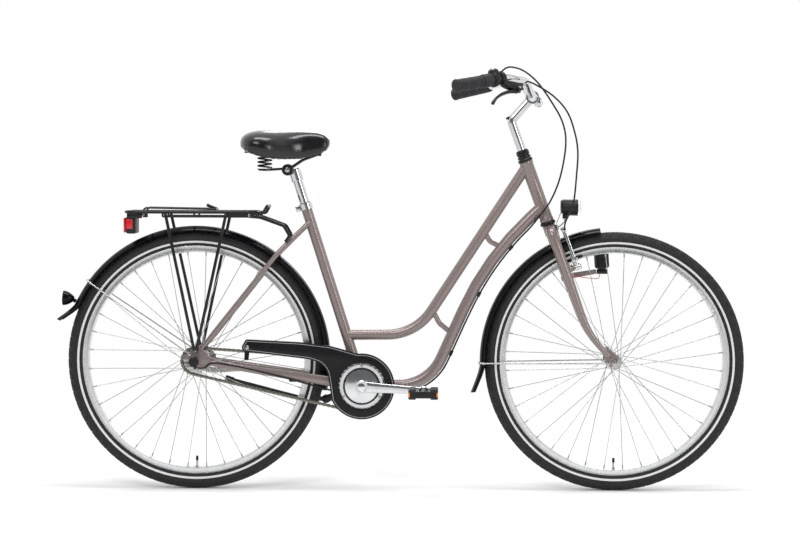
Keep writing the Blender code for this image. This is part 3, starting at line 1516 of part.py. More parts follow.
def fender(name, axle, start, end, flap, flap_reach, bolt, gap):
    """A rolled fender from one angle to another, then a flap that leans out as it goes on.

    A boss stands on it towards the place `bolt`, which it stops short of by `gap`.
    """
    stations = []
    steps = round((end - start) / 12)
    for step in range(steps + 1):
        stations.append((start + (end - start) * step / steps, 0.0, 1.0))
    for step in range(1, 3):
        share = step / 2
        stations.append((end + (flap - end) * share, flap_reach * share**1.5, 1.0 - 0.12 * share))
    across = []
    for share in (-1.0, -0.72, 0.0, 0.72, 1.0):
        across.append((share, FENDER_DEPTH * (1 - (1 - abs(share) ** 2.4) ** 0.9)))
    shape = bmesh.new()
    rows = []
    for degrees, out, narrow in stations:
        row = []
        for share, drop in across:
            radius = FENDER_RADIUS + out - drop * narrow
            row.append(shape.verts.new(around(axle, radius, degrees, share * FENDER_HALF_WIDTH * narrow)))
        rows.append(row)
    for a, b in zip(rows, rows[1:]):
        for i in range(len(across) - 1):
            shape.faces.new((a[i], a[i + 1], b[i + 1], b[i]))
    made = from_bmesh(shape)
    wall = made.modifiers.new("wall", "SOLIDIFY")
    wall.thickness = FENDER_WALL
    wall.offset = 0.0
    made = baked(made)
    out = (bolt - axle).normalized()
    boss = rod(axle + out * (FENDER_RADIUS * math.cos(math.radians(6)) - FENDER_WALL / 4), bolt - out * gap, 0.0045, None, 8)
    return finish(fuse(made, boss), name, BLACK_GLOSS, axle, 40)


fender("front_fender", FRONT_AXLE, 96.5, 181.5, 192.5, 0.034, steer(CROWN - 0.028, 0), 0.0016)
fender("rear_fender", REAR_AXLE, -13.0, 155.0, 164.0, 0.034, STAY_BRIDGE, BRIDGE_RADIUS + GAP * 2)


def fender_stay(name, axle, degrees, eyelet, face):
    """A wire that crosses over the fender and runs down both sides to the dropouts."""
    over = FENDER_RADIUS + FENDER_WALL / 2 + GAP + FENDER_STAY - 0.0005
    foot = face + GAP + 0.0055
    corners = [
        eyelet - LEFT * foot,
        around(axle, over - 0.018, degrees, -FENDER_HALF_WIDTH - 0.0055),
        around(axle, over, degrees, -FENDER_HALF_WIDTH - 0.001),
        around(axle, over, degrees, FENDER_HALF_WIDTH + 0.001),
        around(axle, over - 0.018, degrees, FENDER_HALF_WIDTH + 0.0055),
        eyelet + LEFT * foot,
    ]
    wire = tube(bent(corners, [0.015, 0.005, 0.005, 0.015], 60), FENDER_STAY, 4)
    ends = [
        rod(eyelet + LEFT * side * (face + GAP), eyelet + LEFT * side * (foot + 0.0025), 0.0052, None, 6)
        for side in (-1, 1)
    ]
    return finish(fuse(wire, *ends), name, STEEL, axle)


REAR_STAY_EYELET = REAR_AXLE + Vector((-0.012, 0, 0.020))
fender_stay("rear_fender_stay", REAR_AXLE, 143.8, REAR_STAY_EYELET, REAR_FACE)
fender_stay("front_fender_stay", FRONT_AXLE, 180.8, FRONT_AXLE + Vector((-0.0205, 0, -0.001)), FRONT_FACE)

# The rear reflector: a cup bolted to the fender behind
cup_face = around(REAR_AXLE, FENDER_RADIUS + 0.030, 155.0)
cup_foot = around(REAR_AXLE, FENDER_RADIUS + FENDER_WALL / 2 + GAP * 3, 154.5)
cup_back = Vector((-1, 0, 0.05)).normalized()
finish(
    fuse(
        turned(
            [(0, 0.0), (0.0060, 0.0), (0.0150, 0.012), (0.0205, 0.027), (0.0205, 0.0305), (0, 0.0305)],
            cup_face - cup_back * 0.022,
            cup_back,
            10,
            closed=False,
        ),
        rod(cup_foot, cup_face - cup_back * 0.012, 0.0055, None, 8),
    ),
    "rear_reflector",
    BLACK_GLOSS,
    cup_foot,
    50,
)


# Rack, its spring clamp and the rear lamp

RACK_LOW = RACK_HEIGHT - 0.012
BAIL_PIVOT = Vector((RACK_REAR + 0.040, 0, RACK_HEIGHT - 0.009))
RACK_KNEE = RACK_FRONT - 0.036


def rack():
    w = RACK_HALF_WIDTH
    z = RACK_HEIGHT
    hoop = RACK_FRONT + 0.012
    half = [
        (RACK_REAR, 0, z),
        (RACK_REAR, w, z),
        (RACK_FRONT - 0.020, w, z),
        (RACK_FRONT, w - 0.006, z - 0.004),
        (hoop, w - 0.012, z + 0.017),
        (hoop, 0, z + 0.017),
    ]
    near = bent([Vector((x, -y, h)) for x, y, h in half], [0.026, 0.030, 0.008, 0.012], 60)
    far = [Vector((p.x, -p.y, p.z)) for p in reversed(near)]
    pieces = [tube(near + far[1:-1], RACK_TUBE, 4, closed=True)]
    for y in (-0.020, 0.020):
        pieces.append(tube([Vector((RACK_REAR, y, z)), Vector((RACK_FRONT - 0.0145, y, z - 0.0006))], RACK_WIRE, 4))
    for x in (-0.105, -0.010, 0.086, RACK_FRONT - 0.016):
        pieces.append(rod((x, -w, z), (x, w, z), RACK_WIRE, None, 3))
    for side in (-1, 1):
        y = side * w
        foot = Vector((REAR_EYELET.x, side * (REAR_FACE + 0.0095), REAR_EYELET.z))
        for x, apart in ((-0.080, -0.0030), (0.088, 0.0025)):
            pieces.append(rod((x, y, z), foot + Vector((apart, 0, -0.0012)), RACK_TUBE, None, 4))
        pieces.append(rod((-0.0865, y, RACK_LOW), (RACK_KNEE, y, RACK_LOW), RACK_WIRE, None, 4))
        for x in (-0.0865, 0.0):
            pieces.append(rod((x, y, RACK_LOW - 0.001), (x, y, z), RACK_WIRE, None, 4))
        pieces.append(box((RACK_FRONT - 0.061, y, z - 0.0065), (0.076, 0.003, 0.016)))
        pieces.append(rod(foot + LEFT * side * 0.006, foot - LEFT * side * (0.0095 - GAP), 0.0070, None, 6))
        pieces.append(box((BAIL_PIVOT.x, side * (w - 0.0045), RACK_HEIGHT - 0.007), (0.014, 0.0045, 0.020)))
        stay_foot = STAY_BEND + Vector((0.021, side * 0.0405, 0.031))
        path = [
            (RACK_KNEE, y, RACK_LOW + 0.001),
            (RACK_FRONT - 0.006, side * 0.050, RACK_HEIGHT - 0.014),
            stay_foot + Vector((-0.004, side * 0.0025, 0.044)),
            stay_foot + Vector((0.012, 0, 0.017)),
            stay_foot,
        ]
        pieces.append(tube(bent(path, [0.03, 0.012, 0.010], 60), RACK_TUBE, 4))
    return finish(fuse(*pieces), "rack", BLACK_METAL)


rack()


def rack_bail():
    """The sprung bail that holds luggage down: it turns on a rod under the rack's tail."""
    z = RACK_HEIGHT + RACK_WIRE + 0.0055
    w = 0.036
    ends = RACK_HALF_WIDTH - 0.0045 - 0.00225 - RUNNING_GAP
    wire = 0.0025
    half = [
        Vector((BAIL_PIVOT.x, w, BAIL_PIVOT.z)),
        Vector((BAIL_PIVOT.x + 0.012, w, z + 0.003)),
        Vector((0.056, w, z)),
        Vector((0.056, 0, z)),
    ]
    near = bent([Vector((p.x, -p.y, p.z)) for p in half], [0.010, 0.014], 50)
    far = [Vector((p.x, -p.y, p.z)) for p in reversed(near)]
    loop = tube(near + far[1:], wire, 4)
    shaft = rod(BAIL_PIVOT - LEFT * ends, BAIL_PIVOT + LEFT * ends, 0.0035, None, 6)
    coils = [
        rod(BAIL_PIVOT + LEFT * side * 0.040, BAIL_PIVOT + LEFT * side * 0.050, 0.0065, None, 6) for side in (-1, 1)
    ]
    lip = tube([Vector((0.056, 0, z)), Vector((0.046, 0, z + 0.003)), Vector((0.028, 0, z + 0.011))], 0.0045, 4)
    return finish(fuse(loop, shaft, lip, *coils), "rack_bail", BLACK_METAL, BAIL_PIVOT)


rack_bail()

LAMP_TOP = RACK_HEIGHT - 0.013
LAMP_LOW = LAMP_TOP - 0.047
LAMP_REAR = RACK_REAR - 0.0005
LAMP_HALF_WIDTH = 0.038


def tail_lamp():
    middle = Vector((LAMP_REAR + 0.013, 0, (LAMP_TOP + LAMP_LOW) / 2))
    height = LAMP_TOP - LAMP_LOW
    pieces = [box(middle, (0.026, 2 * LAMP_HALF_WIDTH, height), None, 0.005)]
    for side in (-1, 1):
        top = RACK_HEIGHT - RACK_TUBE - GAP
        middle_high = (LAMP_TOP + top) / 2 - 0.001
        pieces.append(box((RACK_REAR + 0.014, side * 0.022, middle_high), (0.028, 0.004, top - LAMP_TOP + 0.002)))
    return finish(fuse(*pieces), "tail_lamp", BLACK_PLASTIC, middle)


tail_lamp()
lens_middle = Vector((LAMP_REAR - GAP - 0.0035, 0, (LAMP_TOP + LAMP_LOW) / 2))
finish(
    box(lens_middle, (0.007, 2 * LAMP_HALF_WIDTH - 0.008, LAMP_TOP - LAMP_LOW - 0.006), None, 0.0025),
    "tail_lamp_lens",
    RED,
    lens_middle,
)


# Headlamp and bottle dynamo

HEADLAMP = steer(CROWN + 0.0257, 0.073)


def headlamp():
    body = loft(
        [
            [HEADLAMP + Vector((x, half * c, z + deep * s)) for c, s in circle(1.0, 12)]
            for x, half, deep, z in ((-0.027, 0.020, 0.016, 0.003), (-0.022, 0.027, 0.021, 0.001), (0.010, 0.032, 0.0225, 0.0), (0.0195, 0.033, 0.0230, 0.0))
        ]
    )
    neck = rod(HEADLAMP + Vector((-0.014, 0, -0.012)), HEADLAMP + Vector((-0.016, 0, -0.031)), 0.0075, 0.0065, 10)
    return finish(fuse(body, neck), "headlamp", BLACK_PLASTIC, HEADLAMP_PIVOT)


HEADLAMP_PIVOT = HEADLAMP + Vector((-0.016, 0, -0.0345))
headlamp()
finish(
    loft(
        [
            [HEADLAMP + Vector((x, half * c, deep * s)) for c, s in circle(1.0, 12)]
            for x, half, deep in ((0.0195 + GAP, 0.0335, 0.0234), (0.025, 0.0330, 0.0230), (0.0295, 0.0230, 0.0160))
        ]
    ),
    "headlamp_lens",
    CLEAR,
    HEADLAMP_PIVOT,
)


def headlamp_bracket():
    """A bent strap from the fork crown up to the lamp."""
    crown_face = steer(CROWN - 0.014, 0.0175 - GAP)
    places = [
        crown_face + FORK_AHEAD * 0.0026 - FORK_UP * 0.006,
        crown_face + FORK_AHEAD * 0.0030 + FORK_UP * 0.008,
        HEADLAMP_PIVOT + Vector((-0.016, 0, -0.018)),
        HEADLAMP_PIVOT + Vector((0, 0, -0.0035)),
    ]
    strap = sweep(places, [(0.0022, 0.0090)] * 4, LEFT, 4, 8)
    eye = rod(HEADLAMP_PIVOT - LEFT * 0.009, HEADLAMP_PIVOT + LEFT * 0.009, 0.0031, None, 6)
    return finish(fuse(strap, eye), "headlamp_bracket", STEEL, HEADLAMP_PIVOT)


headlamp_bracket()

DYNAMO_PIVOT = FRONT_AXLE + Vector((-0.030, 0.0625, 0.2445))
DYNAMO_AXIS = Vector((-0.085, -0.240, 0.967)).normalized()
DYNAMO_RADIUS = 0.0205
DYNAMO_LENGTH = 0.070
DYNAMO_HALF_KNUCKLE = 0.0145
DYNAMO_STATION = 0.259
dynamo_low = DYNAMO_PIVOT + UP * 0.0120
ROLLER_LOW = dynamo_low + DYNAMO_AXIS * (DYNAMO_LENGTH + RUNNING_GAP)


def dynamo():
    """The bottle on its knuckle, which swings it in until the roller meets the tyre's wall."""
    r = DYNAMO_RADIUS
    top = DYNAMO_LENGTH
    body = turned(
        [(0, 0), (r - 0.002, 0), (r, 0.004), (r, 0.040), (r - 0.004, 0.045), (r - 0.004, top - 0.004), (0.0065, top), (0, top)],
        dynamo_low,
        DYNAMO_AXIS,
        10,
        closed=False,
    )
    reach = Vector((DYNAMO_HALF_KNUCKLE, 0, 0))
    knuckle = rod(DYNAMO_PIVOT - reach, DYNAMO_PIVOT + reach, 0.0070, None, 8)
    neck = box(DYNAMO_PIVOT + UP * 0.008, (0.020, 0.010, 0.016))
    return finish(fuse(body, knuckle, neck), "dynamo", BLACK_PLASTIC, DYNAMO_PIVOT)


dynamo()
finish(
    turned(
        [(0, 0), (0.0095, 0), (0.0105, 0.003), (0.0105, 0.012), (0.0090, 0.015), (0, 0.015)],
        ROLLER_LOW,
        DYNAMO_AXIS,
        12,
        closed=False,
    ),
    "dynamo_roller",
    STEEL,
    ROLLER_LOW,
)


def dynamo_bracket():
    """The strap from a clamp on the left fork blade forward to the dynamo's knuckle."""
    on_blade = steer(DYNAMO_STATION, 0, BLADE_SPREAD + 0.0019)
    clamp_bore = clear_bore(blade_radius(DYNAMO_STATION), 10, GAP * 1.5)
    collar = turned(
        [
            (clamp_bore, -0.0065),
            (clamp_bore + 0.0022, -0.0065),
            (clamp_bore + 0.0022, 0.0065),
            (clamp_bore, 0.0065),
        ],
        on_blade,
        FORK_UP,
        10,
    )
    end = DYNAMO_PIVOT - Vector((DYNAMO_HALF_KNUCKLE + 3 * RUNNING_GAP, 0, 0))
    arm = sweep(
        [on_blade + LEFT * (clamp_bore + 0.0008), on_blade + Vector((0.016, 0.0195, 0.004)), end],
        [(0.0016, 0.0060), (0.0016, 0.0075), (0.0018, 0.0065)],
        UP,
        4,
        8,
    )
    return finish(fuse(collar, arm), "dynamo_bracket", PAINT, on_blade)


dynamo_bracket()


# Kickstand and coaster brake arm

STAND_STAY = BRACKET + Vector((-0.052, 0, 0.0065))
STAND_PIVOT = BRACKET + Vector((-0.103, 0, -0.0455))
STAND_INSIDE = 0.044


def kickstand_mount():
    """Two plates bolted over and under the chainstays, and an arm down to the block that the leg turns on."""
    plate_gap = CHAINSTAY_HALF_HEIGHT + 0.0018
    low = STAND_STAY - UP * (plate_gap + 0.0025)
    high = STAND_STAY + UP * (plate_gap + 0.0025)
    block = STAND_PIVOT + LEFT * (STAND_INSIDE - 0.006)
    pieces = [
        box(low, (0.030, 0.072, 0.005)),
        box(high, (0.030, 0.066, 0.005)),
        rod(low - UP * 0.006, high + UP * 0.006, 0.0050, None, 6),
        sweep(
            [low + LEFT * 0.012, low + Vector((-0.012, 0.030, -0.016)), block],
            [(0.0060, 0.013), (0.0075, 0.0065), (0.0110, 0.0060)],
            LEFT,
            8,
            4,
        ),
    ]
    return finish(fuse(*pieces), "kickstand_mount", BLACK_METAL, STAND_PIVOT)


kickstand_mount()


def kickstand():
    pivot = STAND_PIVOT + LEFT * (STAND_INSIDE + RUNNING_GAP)
    places = [
        pivot + LEFT * 0.007,
        STAND_PIVOT + Vector((-0.030, STAND_INSIDE + 0.0075, 0.0005)),
        STAND_PIVOT + Vector((-0.075, STAND_INSIDE + 0.0080, 0.0020)),
        STAND_PIVOT + Vector((-0.262, STAND_INSIDE + 0.0080, 0.0505)),
    ]
    leg = tube(bent(places, [0.020, 0.05], 35), 0.0068, 8)
    hub_piece = rod(pivot, pivot + LEFT * 0.0145, 0.0120, None, 10)
    tip = places[-1]
    back = (places[-1] - places[-2]).normalized()
    foot = rod(tip - back * 0.004, tip + back * 0.020, 0.0090, 0.0100, 8)
    return finish(fuse(hub_piece, leg, foot), "kickstand", BLACK_METAL, STAND_PIVOT)


kickstand()


def coaster_arm():
    """The strip that carries the hub brake's turning force to the left chainstay."""
    y = 0.0555
    strip = sweep(
        [REAR_AXLE + Vector((-0.012, y, 0.0)), REAR_AXLE + Vector((0.014, y, -0.022)), REAR_AXLE + Vector((0.034, y, -0.034)), REAR_AXLE + Vector((0.112, y, -0.0306))],
        [(0.0095, 0.0015), (0.0095, 0.0015), (0.0080, 0.0015), (0.0070, 0.0015)],
        LEFT,
        4,
        8,
    )
    hub_ring = rod(REAR_AXLE + LEFT * (y - 0.0017), REAR_AXLE + LEFT * (y + 0.0017), 0.0150, None, 10)
    clip = rod(REAR_AXLE + Vector((0.104, y - 0.004, -0.0306)), REAR_AXLE + Vector((0.104, y + 0.006, -0.0306)), 0.0045, None, 6)
    bore = rod(REAR_AXLE + LEFT * 0.04, REAR_AXLE + LEFT * 0.07, AXLE_RADIUS + GAP, None, 8)
    return finish(cut(fuse(hub_ring, strip, clip), bore), "coaster_brake_arm", STEEL, REAR_AXLE)


coaster_arm()


# Cables, each made along its real route

outlet_ahead = (SHIFTER_OUTLET - SHIFTER_ROOT).normalized()
CABLE_STOP = steer(HEAD_LOW + 0.0195, -0.0173, -0.0245)
loop_points = [
    SHIFTER_OUTLET + outlet_ahead * GAP * 2,
    SHIFTER_OUTLET + outlet_ahead * 0.028,
    Vector((0.889, -0.162, 1.146)),
    Vector((0.930, -0.125, 1.116)),
    Vector((0.970, -0.092, 1.064)),
    Vector((1.001, -0.068, 1.010)),
    Vector((1.011, -0.050, 0.952)),
    Vector((0.998, -0.038, 0.866)),
    Vector((0.973, -0.029, 0.800)),
    CABLE_STOP,
]
finish(tube(smooth(loop_points, 0.035), CABLE_RADIUS, 4), "gear_cable_loop", CABLE, CABLE_STOP)


def tube_underside():
    """The lower tube's outer side, where the gear cable is clipped."""
    off = LOWER_TUBE_RADIUS + CABLE_RADIUS + 0.0012
    found = []
    for here, after in zip(lower_path, lower_path[1:]):
        ahead = (after - here).normalized()
        steps = max(1, round((after - here).length / 0.045))
        for step in range(steps):
            found.append(here.lerp(after, (step + 0.5) / steps) + ahead.cross(LEFT) * off)
    return [point for point in found if BRACKET_RADIUS + 0.020 < (point - BRACKET).length < 0.66]


def gear_cable():
    under = tube_underside()
    side = -LEFT
    start = CABLE_STOP + (under[0] - CABLE_STOP).normalized() * CABLE_RADIUS
    stay = chainstay_path(-1)
    low = CHAINSTAY_HALF_HEIGHT + CABLE_RADIUS + 0.0012
    points = [start, *under]
    points.append(BRACKET + Vector((0.020, -0.006, -BRACKET_RADIUS - CABLE_RADIUS - 0.001)))
    points.append(BRACKET + Vector((-0.024, -0.018, -BRACKET_RADIUS - CABLE_RADIUS - 0.001)))
    points.append(BRACKET + Vector((-0.052, -0.028, -low - 0.0035)))
    points.append(BRACKET + Vector((-0.085, -0.034, -low + 0.004)))
    middle = stay[0].lerp(stay[len(stay) // 2], 0.55)
    points.append(middle + side * (CHAINSTAY_HALF_WIDTH + CABLE_RADIUS + 0.0015) - UP * 0.004)
    points.append(stay[0] + Vector((0.030, -0.0105, 0.001)))
    points.append(REAR_AXLE + Vector((0.030, -REAR_FACE - 0.010, -0.016)))
    points.append(box_start + Vector((0.0122, -0.0122, -0.0160)))
    return finish(tube(smooth(points, 0.050), CABLE_RADIUS, 4), "gear_cable", CABLE, CABLE_STOP)


gear_cable()

arm_top = steer(BRAKE_PIVOT + 0.108, BRAKE_AHEAD, -BLADE_SPREAD + 0.006)
brake_start = at_lever(-0.076, 0.028)
brake_ahead = (at_lever(-0.076, 0.028) - at_lever(-0.060, 0.030)).normalized()
brake_points = [
    brake_start + brake_ahead * GAP * 2,
    brake_start + brake_ahead * 0.022,
    Vector((0.970, -0.106, 1.083)),
    Vector((1.012, -0.084, 1.039)),
    Vector((1.034, -0.070, 0.983)),
    Vector((1.043, -0.062, 0.932)),
    Vector((1.041, -0.057, 0.876)),
    Vector((1.032, -0.056, 0.790)),
    arm_top + Vector((0.003, -0.024, 0.024)),
    arm_top + Vector((0.000, -0.018, 0.004)),
    arm_top + Vector((0, -0.0062 - GAP, 0)),
]
finish(tube(smooth(brake_points, 0.035), CABLE_RADIUS, 4), "brake_cable", CABLE, brake_start)


# The whole bike is moved so that its length is centred on x = 0.
flap_tip = around(REAR_AXLE, FENDER_RADIUS + 0.034 + FENDER_WALL / 2, 164.0).x
ORIGIN.location.x = -(WHEELBASE + TYRE_RADIUS + flap_tip) / 2
bpy.context.view_layer.update()
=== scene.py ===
"""Looks of the city bike: smooth tubes, spoked wheels, a linked chain, a padded saddle and a small studio.

Places are in metres as in the solids: x from the rear axle, y from the middle plane, z from the ground.
SHIFT moves them into the frame's coordinates, whose x = 0 is the middle of the bike's length.
"""

import json
import math

import bmesh
import bpy
from mathutils import Matrix, Vector


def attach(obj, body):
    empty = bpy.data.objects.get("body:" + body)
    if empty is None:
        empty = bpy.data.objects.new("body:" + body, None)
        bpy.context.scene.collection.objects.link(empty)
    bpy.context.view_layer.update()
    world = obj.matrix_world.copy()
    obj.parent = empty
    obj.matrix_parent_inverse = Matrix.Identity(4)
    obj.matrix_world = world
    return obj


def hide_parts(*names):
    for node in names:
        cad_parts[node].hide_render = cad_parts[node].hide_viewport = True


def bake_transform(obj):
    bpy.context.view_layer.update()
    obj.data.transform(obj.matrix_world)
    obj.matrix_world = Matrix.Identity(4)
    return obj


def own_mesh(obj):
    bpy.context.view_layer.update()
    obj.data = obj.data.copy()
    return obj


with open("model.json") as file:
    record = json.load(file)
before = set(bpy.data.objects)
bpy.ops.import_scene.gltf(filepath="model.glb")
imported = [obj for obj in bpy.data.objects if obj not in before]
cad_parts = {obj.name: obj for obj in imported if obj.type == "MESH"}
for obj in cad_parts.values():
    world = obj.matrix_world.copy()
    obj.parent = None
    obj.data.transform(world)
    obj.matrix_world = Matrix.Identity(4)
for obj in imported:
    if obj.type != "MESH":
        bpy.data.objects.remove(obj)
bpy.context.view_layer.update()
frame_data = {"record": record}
BODY_OF = {
    node: body
    for body, nodes in frame_data["record"]["behaviour"]["bodies"].items()
    for node in nodes
}

SHIFT = -0.558921
HEXAGON = 6
ROUND = 32  # sides of a bar
CAMERA_PLACE = (0.1251, -5.8, 0.875)
CAMERA_LENS = 94.95
CAMERA_YAW = 1.222
CAMERA_TILT = 2.565
CAMERA_ROLL = 0.15

# Sizes and places of the solids

GAP = 0.0003  # between pieces that touch
RUNNING_GAP = 0.0005  # between pieces that turn against each other

# Wheels
WHEELBASE = 1.150
RIM_RADIUS = 0.3155
TYRE_HEIGHT = 0.0405
TYRE_WIDTH = 0.047
TYRE_WALL = 0.0045
BRAKE_TRACK = 0.0150
RIM_DEPTH = 0.0185
RIM_WIDTH = 0.026
RIM_WALL = 0.0022
SPOKES = 36
SPOKE_RADIUS = 0.0011
FRONT_FLANGE_RADIUS = 0.020
FRONT_FLANGE_SPREAD = 0.058
REAR_FLANGE_RADIUS = 0.034
REAR_FLANGE_SPREAD = 0.060
FRONT_FORK_GAP = 0.100
REAR_STAY_GAP = 0.120
AXLE_RADIUS = 0.0049
DROPOUT_THICKNESS = 0.0050

# Transmission
PITCH = 0.0127
CHAINRING_TEETH = 36
SPROCKET_TEETH = 18
STAY_CLEARANCE = 0.084  # by which a run of chain is longer than the fender's radius, at least
ROLLER_RADIUS = 0.0036
TOOTH_WIDTH = 0.0026
TOOTH_RISE = 0.0030
ROLLER_WIDTH = 0.0042
LINK_HEIGHT = 0.0085
CHAIN_LINE = 0.046
BRACKET_DROP = 0.067
BRACKET_WIDTH = 0.070
BRACKET_RADIUS = 0.0205
SPINDLE_RADIUS = 0.0090
CRANK_LENGTH = 0.170
CRANK_SLOPE = 3.3
CRANK_INSIDE = 0.0625
CRANK_THICKNESS = 0.014
PEDAL_LENGTH = 0.080
PEDAL_WIDTH = 0.090
PEDAL_THICKNESS = 0.027
GUARD_RADIUS = 0.0905
GUARD_OPENING = 0.0665
GUARD_FACE = 0.0590
GUARD_WALL = 0.0016
GUARD_DEPTH = 0.0077

# Frame
HEAD_ANGLE = 70.0
FORK_RAKE = 0.043
CROWN_CLEARANCE = 0.057  # from the fender to the head tube
HEAD_LENGTH = 0.172
HEAD_RADIUS = 0.0180
HEAD_BORE = 0.0150
STEERER_RADIUS = 0.0127
SEAT_ANGLE = 72.3
SEAT_TUBE_LENGTH = 0.526
SEAT_TUBE_RADIUS = 0.0148
UPPER_TUBE_RADIUS = 0.0145
LOWER_TUBE_RADIUS = 0.0159
STAY_RADIUS = 0.0070
CHAINSTAY_HALF_HEIGHT = 0.0135
CHAINSTAY_HALF_WIDTH = 0.0075
BLADE_RADIUS = 0.0145
BLADE_TIP_RADIUS = 0.0070
BLADE_SPREAD = 0.043

# Seat
POST_RADIUS = 0.0136
POST_TOP = 0.618
POST_INSERT = 0.160
SADDLE_WIDTH = 0.228
SPRING_TURNS = 3
SPRING_RADIUS = 0.0150
SPRING_WIRE = 0.0021
SPRING_SPREAD = 0.046

# Cockpit
STEM_RADIUS = 0.0125
STEM_RISE = 0.120
BAR_RADIUS = 0.0111
BAR_CENTRE_RADIUS = 0.0127
BAR_HALF_WIDTH = 0.300
GRIP_RADIUS = 0.0165
RIGHT_GRIP = 0.090
LEFT_GRIP = 0.130
TWIST_LENGTH = 0.034
CABLE_RADIUS = 0.0024

# Fenders and rack
FENDER_GAP = 0.013
FENDER_HALF_WIDTH = 0.0265
FENDER_WALL = 0.0016
FENDER_DEPTH = 0.014
FENDER_STAY = 0.0021
RACK_TUBE = 0.0043
RACK_WIRE = 0.0028
RACK_HALF_WIDTH = 0.060
RACK_CLEARANCE = 0.039  # from the fender to the deck
RACK_REAR = -0.190
RACK_FRONT = 0.186

# Sizes and places that follow from those


def vec(x, y, z):
    return Vector((x, y, z))


def leaned(degrees):
    """A line in the side view which leans back from the upright to that angle, and the line ahead of it."""
    lean = math.radians(degrees)
    return vec(-math.cos(lean), 0, math.sin(lean)), vec(math.sin(lean), 0, math.cos(lean))


TYRE_RADIUS = RIM_RADIUS + TYRE_HEIGHT
FENDER_RADIUS = TYRE_RADIUS + FENDER_GAP
RACK_HEIGHT = TYRE_RADIUS + FENDER_RADIUS + RACK_CLEARANCE
HEAD_LOW = FENDER_RADIUS + CROWN_CLEARANCE
HEAD_HIGH = HEAD_LOW + HEAD_LENGTH
STEM_BEND = HEAD_HIGH + STEM_RISE
UP = vec(0, 0, 1)
LEFT = vec(0, 1, 0)
AHEAD = vec(1, 0, 0)
REAR_AXLE = vec(0, 0, TYRE_RADIUS)
FRONT_AXLE = vec(WHEELBASE, 0, TYRE_RADIUS)
FORK_UP, FORK_AHEAD = leaned(HEAD_ANGLE)
FORK_FOOT = FRONT_AXLE - FORK_AHEAD * FORK_RAKE
SEAT_UP, SEAT_AHEAD = leaned(SEAT_ANGLE)


def pitch_radius(teeth):
    """The circle that a chain's pins lie on round that many teeth."""
    return PITCH / 2 / math.sin(math.pi / teeth)


CHAINRING_RADIUS = pitch_radius(CHAINRING_TEETH)
SPROCKET_RADIUS = pitch_radius(SPROCKET_TEETH)
SPROCKET_WRAP = SPROCKET_TEETH // 2
CHAINRING_WRAP = CHAINRING_TEETH // 2 + (CHAINRING_TEETH // 2 + SPROCKET_WRAP) % 2
RUN_LINKS = math.ceil((FENDER_RADIUS + STAY_CLEARANCE) / PITCH)
RING_END = math.pi - math.pi * CHAINRING_WRAP / CHAINRING_TEETH
COG_END = math.pi * SPROCKET_WRAP / SPROCKET_TEETH
RUN_DROP = CHAINRING_RADIUS * math.sin(RING_END) - SPROCKET_RADIUS * math.sin(COG_END)
RUN_REACH = math.sqrt((RUN_LINKS * PITCH) ** 2 - RUN_DROP**2)
CHAINSTAY_LENGTH = RUN_REACH + CHAINRING_RADIUS * math.cos(RING_END) - SPROCKET_RADIUS * math.cos(COG_END)
BRACKET = REAR_AXLE + vec(math.sqrt(CHAINSTAY_LENGTH**2 - BRACKET_DROP**2), 0, -BRACKET_DROP)
CRANK_AHEAD = vec(math.cos(math.radians(CRANK_SLOPE)), 0, -math.sin(math.radians(CRANK_SLOPE)))
REAR_FACE = REAR_STAY_GAP / 2 + DROPOUT_THICKNESS
FRONT_FACE = FRONT_FORK_GAP / 2 + DROPOUT_THICKNESS
REAR_EYELET = REAR_AXLE + vec(0.004, 0, 0.031)


def steer(along, ahead, y=0.0):
    """A place by its height along the steering axis and its distance ahead of it."""
    return FORK_FOOT + FORK_UP * along + FORK_AHEAD * ahead + LEFT * y


def seat(along, ahead=0.0, y=0.0):
    """A place by its distance from the bottom bracket along the seat tube, and ahead of it."""
    return BRACKET + SEAT_UP * along + SEAT_AHEAD * ahead + LEFT * y


def around(centre, radius, degrees, y=0.0):
    """A place on a circle in the side view, moved `y` to the left. 0 degrees is ahead and 90 is up."""
    angle = math.radians(degrees)
    return centre + vec(radius * math.cos(angle), y, radius * math.sin(angle))


# Materials: colour, roughness and relief come from procedural nodes read in the bike's own coordinates.


def add(tree, kind, values=(), **settings):
    """A shader node with its inputs linked or set, by name or number, and its settings."""
    made = tree.nodes.new("ShaderNode" + kind)
    for key, value in settings.items():
        setattr(made, key, value)
    for key, value in dict(values).items():
        if isinstance(value, bpy.types.NodeSocket):
            tree.links.new(value, made.inputs[key])
        else:
            made.inputs[key].default_value = value
    return made


def bike_coords(tree, stretch=(1, 1, 1), offset=(0, 0, 0)):
    """Places in the bike's own coordinates, stretched and moved."""
    coords = add(tree, "TexCoord").outputs["Object"]
    return add(tree, "Mapping", {"Vector": coords, "Scale": stretch, "Location": offset}).outputs["Vector"]


def grain(tree, scale, detail=4.0):
    """A fine irregular pattern from 0 to 1."""
    return add(
        tree, "TexNoise", {"Vector": bike_coords(tree), "Scale": scale, "Detail": detail}
    ).outputs["Fac"]


def remap(tree, value, low, high, start=0.3, end=0.7):
    """The value's span from start to end, spread over low to high."""
    values = {"Value": value, "From Min": start, "From Max": end, "To Min": low, "To Max": high}
    return add(tree, "MapRange", values).outputs["Result"]


MIX_FACTOR, MIX_A, MIX_B = 0, 6, 7  # the colour mix node's sockets
MIX_RESULT = 2


def mixed(tree, factor, a, b):
    """Colour a, which turns to b as the factor goes from 0 to 1."""
    colours = {place: value for place, value in ((MIX_A, a), (MIX_B, b))}
    for place, value in colours.items():
        if not isinstance(value, bpy.types.NodeSocket):
            colours[place] = (*value, 1.0)
    return add(tree, "Mix", {MIX_FACTOR: factor, **colours}, data_type="RGBA").outputs[MIX_RESULT]


